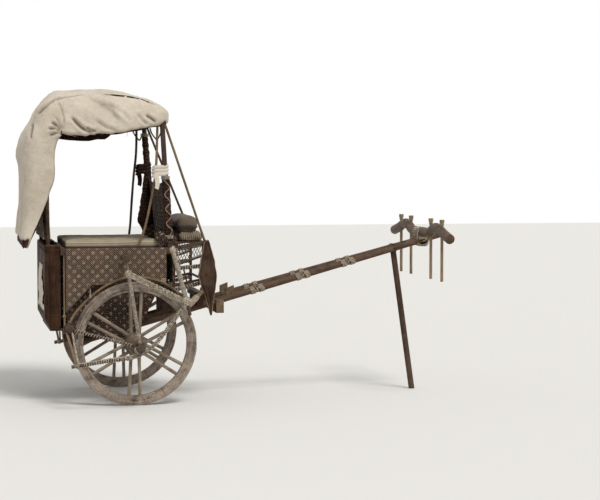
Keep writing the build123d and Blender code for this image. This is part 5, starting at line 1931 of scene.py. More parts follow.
    def edge_height(self, column: Column) -> float:
        """Height at which a column turns into the hem or the drape.

        Args:
            column: The column.

        Returns:
            The height.
        """
        if column.run is Run.HEM:
            return between(column.x, self.hem) + self.roll(column.x)
        return self.edge

    def dome(self, column: Column, rings: int, inset: float) -> Points:
        """Points of a column from the ridge down to its edge.

        Args:
            column: The column.
            rings: Number of steps.
            inset: How far inside the outer face.

        Returns:
            Array of points, one row each.
        """
        start = clamp(column.x, *self.spine)
        dx, dy = column.x - start, column.y
        reach = math.hypot(dx, dy)
        ends = 2.3 if dx > 0 else 4.2
        power = 4.2 * (dy / reach) ** 2 + ends * (dx / reach) ** 2
        angle = np.linspace(0, math.pi / 2, 160)
        wide = np.sin(angle) ** (2 / power)
        high = np.clip(np.cos(angle), 0, 1) ** (2 / power)
        low = self.edge_height(column)
        top = between(start, self.crown) - inset * 0.7
        lean = np.interp(high, *zip(*self.slope)) if dx < 0 else 1.0
        if dx < 0:
            far = clamp((column.y + 0.45) / 0.7)
            lean *= 1 - far * (1 - np.interp(high, *zip(*self.far_slope)))
        along = start + dx * wide * lean
        high = high * np.interp(along, *zip(*self.fall))
        rows = np.stack([along - ORIGIN_X, dy * wide, low + (top - low) * high], axis=1)
        lengths = lengths_along(rows)
        want = np.linspace(0, lengths[-1], rings + 1)
        return read_along(want, lengths, rows)

    def drape_bottom(self, column: Column, lift: float) -> float:
        """Height of the drape's lower edge at a column.

        Args:
            column: The column.
            lift: How much higher the drape's lower edge is at the rear.

        Returns:
            The height.
        """
        if column.run is Run.SIDE:
            return self.foot + (lift * column.share)
        wave = 0.004 * math.sin(column.share * 11)
        return self.foot + lift + wave

    def below(self, column: Column, rings: int, inset: float, lift: float, rolled: float) -> Points:
        """Points of a drape column below the edge, with its free edges rolled inwards.

        Args:
            column: The column.
            rings: Number of steps.
            inset: How far inside the outer face.
            lift: How much higher the lower edge is at the rear.
            rolled: Radius of the rolled edges.

        Returns:
            Array of points, one row each.
        """
        bottom = self.drape_bottom(column, lift)
        rows = []
        for k in range(1, rings + 1):
            z = self.edge + (bottom - self.edge) * k / rings
            x, y = self.drape_spot(column, z, inset)
            front, rear, corner, _ = self.wall(z, inset)
            away = [z - bottom]
            if column.run is Run.SIDE:
                away.append(column.share * (front - rear - corner))
            tuck = sum(rolled - math.sqrt(max(0.0, rolled ** 2 - (rolled - a) ** 2))
                       for a in away if a < rolled)
            if column.run is Run.BACK:
                x += tuck
            elif column.run is Run.SIDE:
                y -= column.side * tuck
            else:
                x += tuck * math.sin(column.share * math.pi / 2)
                y -= column.side * tuck * math.cos(column.share * math.pi / 2)
            rows.append((x - ORIGIN_X, y, z))
        return np.array(rows)

    def hem_roll(self, column: Column) -> Points:
        """Points of the rolled hem under a column.

        Args:
            column: The column.

        Returns:
            Array of points, one row each.
        """
        radius, low = self.roll(column.x), self.edge_height(column)
        rows = []
        for k in range(1, 7):
            angle = k / 6 * math.radians(self.hem_turn)
            inward = radius * (1 - math.cos(angle))
            rows.append((column.x - ORIGIN_X - column.out[0] * inward,
                         column.y - column.out[1] * inward, low - radius * math.sin(angle)))
        return np.array(rows)

    def valance(self, column: Column, inset: float) -> Points:
        """Points of the lining where it hangs out under the hem, scalloped on the left; on the right its
        narrow dark strip also stands for the shade under the hem.

        Args:
            column: The column.
            inset: How far inside the outer face; not used.

        Returns:
            Array of points, one row each.
        """
        low, hem = self.edge_height(column), between(column.x, self.hem)
        # On the right the lining hangs a little below the hem: a lining strip that also stands for the shade
        # under the hem.
        depth = 0.007 if column.side == LEFT else 0.011 + 0.003 * math.sin(column.x * 31)
        if column.side == LEFT and column.run is Run.HEM:
            depth += between(column.x, self.left_valance)
        return np.array([(column.x - ORIGIN_X, column.y, low + (hem - depth - low) * k / 4)
                         for k in range(1, 5)])

    def skin(self, name: str, step: float, inset: float = 0.0, lift: float = 0.055) -> Obj:
        """Builds the outer skin or the lining as one open sheet.

        Args:
            name: Name of the new object.
            step: Distance between points.
            inset: How far inside the outer face, 0 for the outer skin.
            lift: How much higher the drape's lower edge is at the rear.

        Returns:
            The sheet.
        """
        columns = self.border(step, inset)
        top_rings, drape_rings = int(self.top_length / step), int(self.drape_length / step)
        points: list[Points] = []
        starts, counts = [], []
        total = 0
        for column in columns:
            rows = [self.dome(column, top_rings, inset)]
            if column.run is not Run.HEM:
                rows.append(self.below(column, drape_rings, inset, lift, 0.0 if inset else 0.016))
            elif inset:
                rows.append(self.valance(column, inset))
            else:
                rows.append(self.hem_roll(column))
            whole = np.concatenate(rows)
            points.append(whole)
            starts.append(total)
            counts.append(len(whole))
            total += len(whole)
        faces, uvs = [], []
        runs = [lengths_along(rows) for rows in points]
        for k, column in enumerate(columns):
            after = (k + 1) % len(columns)
            for ring in range(min(counts[k], counts[after]) - 1):
                past_edge = ring >= top_rings
                if past_edge and (column.run is Run.HEM) != (columns[after].run is Run.HEM):
                    continue
                faces.append([starts[k] + ring, starts[k] + ring + 1, starts[after] + ring + 1,
                              starts[after] + ring])
                u0, u1 = k * step, (k + 1) * step
                uvs.append([(u0, runs[k][ring]), (u0, runs[k][ring + 1]),
                            (u1, runs[after][ring + 1]), (u1, runs[after][ring])])
        obj = sheet_piece(name, points, faces, uvs)
        Bench.weld(obj, 0.0004)
        mesh = obj.data
        top = max(mesh.polygons, key=lambda face: face.center.z)
        if top.normal.z < 0:
            mesh.flip_normals()
        return obj

    def crumple(self, obj: Obj) -> None:
        """Puffs the quilted skin, presses its creases in, and marks painted shade for the finish: along the
        creases, on faces turned down and over the drape.

        Args:
            obj: The piece.
        """
        mesh = obj.data
        spots, normals = read_points(mesh, "co"), read_points(mesh, "normal")
        count = len(spots)
        x, y, z = spots[:, 0] + ORIGIN_X, spots[:, 1], spots[:, 2]
        low = drifting(spots, (5.5, 4.0, 5.5))
        fine = drifting(spots, (17, 13, 15), (5, 0, 0))
        hang = drifting(spots, (12, 12, 2.2), (0, 0, 7))
        drape = np.clip((self.edge - z) / 0.12, 0, 1)
        move = low * 0.013 + fine * 0.0050 * (1 - 0.4 * drape) + hang * 0.006 * drape
        side = np.clip((np.abs(y) - 0.46) / 0.07, 0, 1)
        fold = np.zeros(count)
        for crease in CREASES:
            for hand in (RIGHT, LEFT):
                shift = 0.0 if hand == RIGHT else 0.035
                route = np.array(crease.route) + np.array((shift, -shift * 0.2))
                away, sign, along = self.to_route(x, z, route)
                ends = np.clip(along / 0.16, 0, 1) * np.clip((1 - along) / 0.16, 0, 1)
                mask = side * ends * (np.sign(y) == hand)
                well = np.exp(-(away / crease.width) ** 2)
                lip = np.exp(-((away - 2.1 * crease.width) / (1.1 * crease.width)) ** 2)
                move += mask * (crease.lip * lip - crease.depth * well) * 1.55
                rise = np.exp(-away / 0.05) * crease.step
                move += mask * np.where(sign < 0, rise, 0.0)
                # Painted shade along the crease, as dark as its shade.
                fold = np.maximum(fold, mask * np.exp(-(away / (crease.width * 0.75)) ** 2) * crease.shade)
        # Painted shade on faces turned down, and a faint painted shade over the whole drape.
        under = np.clip(-normals[:, 2] - 0.2, 0, 1)
        fold = np.maximum(fold, np.maximum(under * 0.35, 0.11 * drape))
        limit = np.clip((z - 1.125) / 0.02, 0, 1)
        spots += normals * (move * limit)[:, None]
        mesh.vertices.foreach_set("co", spots.ravel())
        # The fold attribute carries this painted shade to the finish.
        mesh.attributes.new("fold", "FLOAT", "POINT").data.foreach_set("value", fold)
        mesh.update()

    @staticmethod
    def to_route(x: Points, z: Points, route: Points) -> tuple[Points, ...]:
        """Distance of points from a line of runs, the side they are on, and their share along it.

        Args:
            x: Places along the cart.
            z: Heights.
            route: Points of the line.

        Returns:
            Distance, side (1 above and -1 below) and share.
        """
        best = np.full(len(x), 1e9)
        sign = np.ones(len(x))
        share = np.zeros(len(x))
        runs = len(route) - 1
        for k in range(runs):
            ax, az = route[k]
            bx, bz = route[k + 1]
            dx, dz = bx - ax, bz - az
            t = np.clip(((x - ax) * dx + (z - az) * dz) / (dx * dx + dz * dz), 0, 1)
            gap = np.hypot(x - ax - t * dx, z - az - t * dz)
            cross = dx * (z - az) - dz * (x - ax)
            closer = gap < best
            best = np.where(closer, gap, best)
            sign = np.where(closer, np.where(cross >= 0, 1.0, -1.0), sign)
            share = np.where(closer, (k + t) / runs, share)
        if route[-1][0] < route[0][0]:
            sign = -sign
        return best, sign, share

    def cloth(self) -> Obj:
        """Padded skin of the canopy and its drape.

        Returns:
            The padded skin.
        """
        obj = self.skin("canopy_quilt", self.step)
        self.crumple(obj)
        Bench.thicken(obj, self.thickness)
        Bench.only(obj)
        bpy.ops.object.shade_smooth()
        hand_over(obj, CANVAS, ["canopy_cloth", "rear_drape"])
        return obj

    def lining(self) -> Obj:
        """Dark printed lining, which shows under the hem and below the drape.

        Returns:
            The lining.
        """
        obj = self.skin("canopy_lining", self.lining_step, self.lining_gap, 0.0)
        for vertex in obj.data.vertices:
            vertex.co += vertex.normal * noise.noise(vertex.co * 7) * 0.004
        return hang_sheet(obj, 0.002, LINING_PRINT, "canopy_rails",
                          ["canopy_cloth"], offset=-1.0)

    def slit(self, quilt: Obj) -> Obj:
        """Dark strip laid on the quilt along the gap under the upper layer's edge near the front: it stands
        for the dark lining seen in the gap and the shade inside it.

        Args:
            quilt: The padded skin that it lies on.

        Returns:
            The dark strip.
        """
        quilt.data.update()
        tree = bpy.context.evaluated_depsgraph_get()
        tree.update()
        low, high = [], []
        for x in np.linspace(self.gap_route[0][0], self.gap_route[-1][0], self.gap_places):
            z = between(x, self.gap_route)
            hit, spot, normal, _ = quilt.ray_cast(place(x, -1.2, z), Vector((0, 1, 0)))
            if not hit:
                spot, normal = place(x, -0.55, z), Vector((0, -1, 0))
            rise = Vector((0, 0, 1)) - normal * normal.z
            reach = self.gap_reach / max(rise.length, 0.5)
            for row, way in ((low, -reach), (high, reach)):
                _, near, out, _ = quilt.closest_point_on_mesh(spot + normal * 0.003 + rise.normalized() * way)
                row.append(near + out * 0.0014)

        def shape(u: float, v: float) -> Vector:
            """Point of the gap, pointed at both ends.

            Args:
                u: Share of its width, 0 to 1.
                v: Share of its length, 0 to 1.

            Returns:
                The point.
            """
            at = u * (len(low) - 1)
            k = min(int(at), len(low) - 2)
            a, b = low[k].lerp(low[k + 1], at - k), high[k].lerp(high[k + 1], at - k)
            return a.lerp(b, 0.5 + (v - 0.5) * (0.1 + 0.9 * math.sin(math.pi * clamp(u, 0.03, 0.97) ** 0.7)))

        obj = Bench.grid("canopy_gap_shade", 40, 2, shape, (0.36, 0.009))
        Bench.thicken(obj, 0.0008, 0.0)
        hand_over(obj, LINING_PRINT)
        return obj

    def build(self) -> None:
        """Builds the quilt, its lining and the gap."""
        quilt = self.cloth()
        self.lining()
        self.slit(quilt)


@dataclass
class CanopyFrame:
    """Posts, stays, rails, bars and hoops, with what is wound and tied round them."""

    post_foot: Place = (0.262, 0.448, 1.1203)
    post_top: Place = (0.196, 0.575, 2.0086)
    stay_route: Table = (
        (0.030, 1.120), (0.084, 1.270), (0.134, 1.518), (0.157, 1.700), (0.163, 2.010))
    far_route: Table = ((0.060, 1.120), (0.078, 1.250), (0.092, 1.416), (0.110, 1.603), (0.133, 1.789),
                        (0.142, 2.010))
    rail_y: float = 0.575
    rail_route: Table = ((-0.668, 1.928), (-0.250, 1.966), (0.222, 2.011))
    rear_foot: Pair = (-0.6007, 0.4037)
    rear_lean: Pair = (-0.0393, 0.1713)
    rear_heights: Pair = (1.156, 1.930)
    lattice_heights: Pair = (1.190, 1.530)
    crossings: int = 7
    bar_places: tuple[float, ...] = (-0.655, -0.540, -0.290, -0.040, 0.208)
    far_wrap: Table = ((1.165, 0.045), (1.240, 0.057), (1.285, 0.066), (1.340, 0.058), (1.400, 0.050),
                       (1.470, 0.043), (1.540, 0.036), (1.600, 0.030), (1.640, 0.025), (1.930, 0.022))
    slant_foot: Place = (0.536, 0.330, 1.147)
    slant_top: Place = (0.212, 0.575, 2.010)
    tie_low: float = 1.632
    tie_high: float = 1.708

    def post(self, side: int, z: float, shift: Place = (0.0, 0.0, 0.0)) -> Vector:
        """Middle of a front post at a height, moved by a shift.

        Args:
            side: RIGHT or LEFT.
            z: Height.
            shift: Move along each axis.

        Returns:
            The point.
        """
        share = (z - self.post_foot[2]) / (self.post_top[2] - self.post_foot[2])
        x = self.post_foot[0] + share * (self.post_top[0] - self.post_foot[0])
        y = self.post_foot[1] + share * (self.post_top[1] - self.post_foot[1])
        return place(x + shift[0], side * (y + shift[1]), z + shift[2])

    def dress_frame(self) -> None:
        """Finishes of the bars that keep their shape."""
        dress({"front_posts": POST_WOOD, "rear_posts": POST_WOOD, "canopy_hoops": BEAM_WOOD})

    def top_bars(self) -> None:
        """Rails and cross bars under the cloth: uneven sticks, tied where they cross."""
        rails, bars = RopeWork(), RopeWork()
        for side in (RIGHT, LEFT):
            swing = (0.0, 0.002, 0.0)
            line = resample([place(x, side * (self.rail_y + out), z)
                             for (x, z), out in zip(self.rail_route, swing)], 0.02)
            rails.stick(line, 0.014, 0.08, 11, 14)
        for x in self.bar_places:
            z = 1.918 + (x + 0.768) / 0.990 * 0.093
            line = resample([place(x, -self.rail_y, z), place(x + 0.004, 0.0, z + 0.004),
                             place(x, self.rail_y, z)], 0.03)
            bars.stick(line, 0.0108, 0.08, 12, 12)
        rails.give("top_rails", DARK_STICK, "frame_wood", ["canopy_rails"])
        bars.give("top_cross_bars", DARK_STICK, "frame_wood", ["canopy_cross_bars"])

    def stay_rods(self, side: int) -> None:
        """Thin rods beside the posts, each with a small fork at its top.

        Args:
            side: RIGHT or LEFT.
        """
        work = RopeWork()
        table = self.stay_route if side == RIGHT else self.far_route
        route = [place(x, side * (self.post(1, z).y), z) for x, z in table]
        line = resample(route, 0.02)
        work.stick(line, 0.009, 0.07, 13, 12)
        slant = resample([place(self.slant_foot[0], side * self.slant_foot[1], self.slant_foot[2]),
                          place(self.slant_top[0], side * self.slant_top[1], self.slant_top[2])], 0.02)
        work.stick(slant, 0.0088, 0.07, 13, 12)
        finish = STICK_WOOD if side == RIGHT else DARK_STICK
        work.give(sided("stay_rods", side), finish, "frame_wood", ["canopy_stays"])
        fork = RopeWork()
        base = place(0.161, side * self.post(1, 1.90).y, 1.885)
        for reach in (-0.052, 0.034):
            tip = base + Vector((reach, side * 0.006, 0.085))
            fork.strand(resample([base, base.lerp(tip, 0.5) + Vector((reach * 0.16, 0, 0)), tip], 0.01),
                        0.0052, 8)
        for x, length in ((-0.030, 0.075), (0.012, 0.052)):
            top = place(0.10 + x, side * self.rail_y, 1.992)
            fork.strand(resample([top, top + Vector((0.004, side * 0.012, -length * 0.5)),
                                  top + Vector((-0.003, side * 0.012, -length))], 0.01), 0.0011, 4)
        fork.give(sided("rod_forks", side), DARK_STICK, "frame_wood")

    def wrap(self, side: int) -> None:
        """Printed cloth wound round the lower part of a post, with a pale cord laced over it.

        Args:
            side: RIGHT or LEFT.
        """
        low, high = 1.165, (1.622 if side == RIGHT else 1.930)
        line = resample([self.post(side, low), self.post(side, high)], 0.007)
        rings = []
        for point in line:
            height = point[2]
            lap = 0.0028 * ((height * 21) % 1)
            thick = 0.026 if side == RIGHT else between(height, self.far_wrap)
            rings.append(thick + lap + (0.0028 + 0.09 * (thick - 0.022)) * noise.noise(Vector(point) * 31))
            if side == LEFT:
                point[0] -= (thick - 0.022) * 1.15
        work = RopeWork().strand(line, np.array(rings), 28)
        obj = work.piece(sided("post_wrap", side))
        for vertex in obj.data.vertices:
            vertex.co += vertex.normal * noise.noise(vertex.co * 60) * 0.0016
        hand_over(obj, LINING_PRINT)
        lace = []
        for k in range(9):
            z = high - 0.02 - k * 0.052
            swing = 0.021 if k % 2 else -0.016
            lace.append(self.post(side, z, (swing, 0.0285 if side == RIGHT else 0.034, 0.0)))
        cord = RopeWork().twisted(resample(lace, 0.006), 0.0036, 0.013, 2)
        for z in (high - 0.012, low + 0.02):
            for turn in range(4):
                ring = [self.post(side, z + turn * 0.0062, (math.cos(a) * 0.030, math.sin(a) * 0.030, 0.0))
                        for a in np.linspace(0, math.tau, 17)]
                cord.strand(ring, 0.0028, 5)
        cord.give(sided("post_lace", side), ROPE)

    def tie(self, side: int) -> None:
        """White strip wound in folds round post and rod, with a loose end.

        Args:
            side: RIGHT or LEFT.
        """
        low, high = self.tie_low, self.tie_high
        middle = (low + high) / 2
        rod_x, post_x = 0.1534 - ORIGIN_X, self.post(side, middle).x
        y = self.post(side, middle).y

        def band(u: float, v: float) -> Vector:
            """Point of the band round both bars.

            Args:
                u: Share of its width, 0 to 1.
                v: Share of its length, 0 to 1.

            Returns:
                The point.
            """
            angle = u * math.tau
            fold = 0.0032 * math.sin(v * 19 + 1.4 * math.sin(angle)) + 0.002 * noise.noise(
                Vector((math.cos(angle) * 1.7, math.sin(angle) * 1.7, v * 3 + side)))
            reach = 0.0235 + fold
            centre = post_x if math.cos(angle) > 0 else rod_x
            drop = 0.012 * math.cos(angle)
            return Vector((centre + reach * math.cos(angle), y + reach * 0.96 * math.sin(angle),
                           low + (high - low) * v + drop))

        obj = Bench.grid(sided("tie_band", side), 72, 22, band, (0.22, high - low))
        Bench.weld(obj, 0.0001, True)
        finish = TIE_CLOTH if side == RIGHT else LINING_PRINT
        hang_sheet(obj, 0.0024, finish, "front_posts", ["post_ties"])

        def loose(u: float, v: float) -> Vector:
            """Point of the loose end, which hangs from the rod's side of the band.

            Args:
                u: Share of its width, 0 to 1.
                v: Share of its length, 0 to 1.

            Returns:
                The point.
            """
            sway = 0.012 * math.sin(v * 2.6) - 0.006
            curl = 0.010 * math.sin(u * 3.0 + v * 1.5)
            wide = 0.040 * (1 - 0.35 * v)
            return Vector((rod_x + 0.004 + (u - 0.5) * wide + sway, y + side * (0.027 + curl * 0.6),
                           low + 0.012 - v * 0.098 - 0.012 * u * v))

        end = Bench.grid(sided("tie_end", side), 10, 22, loose, (0.045, 0.11))
        hang_sheet(end, 0.0022, finish, obj.name, ["post_ties"])

    def screens(self) -> None:
        """Printed cloths stretched between the posts, with rope crossed over the rear one."""
        def front(u: float, v: float) -> Vector:
            """Point of the front screen, which bags towards the rear.

            Args:
                u: Share of its width, 0 to 1.
                v: Share of its length, 0 to 1.

            Returns:
                The point.
            """
            z = 1.600 - 0.400 * v
            half = abs(self.post(1, z).y) - 0.006
            bag = 0.014 * math.sin(math.pi * u) * (0.4 + 0.6 * v)
            sag = 0.035 * math.sin(math.pi * u) * (1 - v)
            folds = 0.0035 * math.sin(u * 26 + 3 * v) * (0.3 + v * 0.7)
            return Vector((self.post(1, z).x - bag + folds, half * (2 * u - 1), z - sag))

        obj = Bench.grid("front_screen_cloth", 90, 40, front, (1.0, 0.40))
        hang_sheet(obj, 0.004, BLOSSOM_PRINT, "front_posts",
                   ["front_screen"])

        def rear_post(z: float) -> Pair:
            """Places along and across of a rear post's middle.

            Args:
                z: Height.

            Returns:
                Places along and across.
            """
            low, high = self.rear_heights
            share = (z - low) / (high - low)
            return (self.rear_foot[0] + self.rear_lean[0] * share,
                    self.rear_foot[1] + self.rear_lean[1] * share)

        def back(u: float, v: float) -> Vector:
            """Point of the back screen.

            Args:
                u: Share of its width, 0 to 1.
                v: Share of its length, 0 to 1.

            Returns:
                The point.
            """
            z = 1.560 - 0.392 * v
            x, half = rear_post(z)
            bag = 0.010 * math.sin(math.pi * u)
            folds = 0.003 * math.sin(u * 30 + 2 * v)
            return place(x - bag + folds, (half - 0.004) * (2 * u - 1),
                         z - 0.02 * math.sin(math.pi * u) * (1 - v))

        obj = Bench.grid("back_screen_cloth", 90, 40, back, (0.95, 0.40))
        hang_sheet(obj, 0.004, BLOSSOM_PRINT, "rear_posts",
                   ["back_screen"])
        lattice = RopeWork()
        lowest, highest = self.lattice_heights
        for k in range(self.crossings):
            for rising in (0, 1):
                ends = []
                for z, step in ((lowest, k + rising), (highest, k + 1 - rising)):
                    x, half = rear_post(z)
                    ends.append((x, 0.003 * rising, half * (2 * step / self.crossings - 1) * 0.97, z))
                for way in (0.016, -0.030):
                    line = [place(x + way + math.copysign(lift, way), y, z) for x, lift, y, z in ends]
                    lattice.twisted(resample(line, 0.012), 0.0038, 0.020, 2)
        for z in self.lattice_heights:
            x, half = rear_post(z)
            for way in (0.0155, -0.0295):
                ends = [place(x + way, -half, z), place(x + way, half, z)]
                lattice.twisted(resample(ends, 0.012), 0.0050, 0.024, 3)
        lattice.give("back_lattice", ROPE)

    def build(self) -> None:
        """Builds and dresses all of it."""
        self.dress_frame()
        self.top_bars()
        for side in (RIGHT, LEFT):
            self.stay_rods(side)
            self.wrap(side)
            self.tie(side)
        self.screens()


@dataclass
class Body:
    """Platform, beams and axle, and the tall boot behind with its trim."""

    boot_rear: float = -0.627
    boot_front: float = -0.518
    boot_half: float = 0.430
    boot_low: float = 0.546
    boot_top: float = 1.136
    chamfer: Pair = (0.035, 0.072)

    def dress_frame(self) -> None:
        """Finishes of the bars and boards that keep their shape."""
        dress({"platform_frame": POLE_WOOD, "platform_deck": POLE_WOOD, "body_uprights": POST_WOOD,
               "rear_beam": BEAM_WOOD, "side_arm": BEAM_WOOD, "front_beam": BEAM_WOOD,
               "seat_bolster": BEAM_WOOD, "axle_beam": PALE_BEAM, "axle_rod": IRON, "linch_pins": IRON,
               "boot_bearer": BEAM_WOOD, "corner_spindles": PALE_POST, "rear_boot": HIDE})

    def boot_trim(self) -> None:
        """Rolled lip, corner welts and two bands round the boot."""
        work = RopeWork()
        rear, front, half, top = self.boot_rear, self.boot_front, self.boot_half, self.boot_top
        lip = [place(x, y, top) for x, y in (
            (rear + 0.006, 0.0), (rear + 0.006, -half + 0.03), (rear + 0.03, -half + 0.006),
            (front - 0.03, -half + 0.006), (front - 0.006, -half + 0.03), (front - 0.006, 0.0),
            (front - 0.006, half - 0.03), (front - 0.03, half - 0.006), (rear + 0.03, half - 0.006),
            (rear + 0.006, half - 0.03), (rear + 0.006, 0.0))]
        work.strand(resample(lip, 0.012), 0.0085, 10)
        for y in (-half, half):
            for x in (rear + 0.001, front - 0.003):
                low = self.boot_low + (self.chamfer[1] if x < rear + 0.01 else 0.004)
                line = resample([place(x, y, low), place(x, y, top - 0.004)], 0.015)
                work.strand(line, 0.0034, 8)
            hem = [place(rear, y, self.boot_low + self.chamfer[1]),
                   place(rear + self.chamfer[0], y, self.boot_low + 0.001),
                   place(front, y, self.boot_low + 0.001)]
            for a, b in zip(hem, hem[1:]):
                work.strand(resample([a, b], 0.01), 0.0032, 8)
        for height in (top - 0.035, self.boot_low + self.chamfer[1] + 0.02):
            for y in (-half, half):
                hand = 1 if y > 0 else -1
                line = resample([place(rear + 0.004, y + hand * 0.0012, height),
                                 place(front - 0.004, y + hand * 0.0012, height)], 0.01)
                work.strand(line, 0.0026, 6)
            line = resample([place(rear - 0.0012, -half + 0.004, height),
                             place(rear - 0.0012, half - 0.004, height)], 0.02)
            work.strand(line, 0.0026, 6)
        work.give("boot_welts", APRON_HIDE, "dark_leather")

    def boot_strip(self) -> None:
        """Torn white cloth that hangs down the boot's rear face."""
        near = ((0.683, -0.420), (0.700, -0.400), (0.740, -0.230), (0.756, -0.310), (0.800, -0.360),
                (0.830, -0.330), (0.865, -0.240), (0.890, -0.160), (0.930, -0.180), (0.989, -0.225))
        far = ((0.683, 0.180), (0.750, 0.140), (0.800, 0.175), (0.865, 0.160), (0.930, 0.155),
               (0.989, 0.120))

        def strip(u: float, v: float) -> Vector:
            """Point of the cloth, in soft folds.

            Args:
                u: Share of its width, 0 to 1.
                v: Share of its length, 0 to 1.

            Returns:
                The point.
            """
            z = 0.989 - 0.306 * v
            left = between(z, far) + 0.022 * noise.noise(Vector((z * 34, 1.7, 0.4)))
            right = between(z, near) + 0.026 * noise.noise(Vector((z * 41, 5.1, 0.9)))
            y = right + u * (left - right)
            z += (0.020 * noise.noise(Vector((y * 14, 2.3, 0.5)))
                  + 0.010 * noise.noise(Vector((y * 60, 0.3, 0.2)))) * abs(2 * v - 1) ** 3
            folds = 0.0045 * (1 + math.sin(y * 38 + 1.2 * math.sin(z * 9))) * (0.25 + 0.75 * v)
            return place(self.boot_rear - 0.004 - folds, y, z)

        obj = Bench.grid("boot_cloth", 110, 80, strip, (0.50, 0.31))
        hang_sheet(obj, 0.0026, TIE_CLOTH, "rear_boot")

    def build(self) -> None:
        """Dresses the body and trims the boot."""
        self.dress_frame()
        self.boot_trim()
        self.boot_strip()


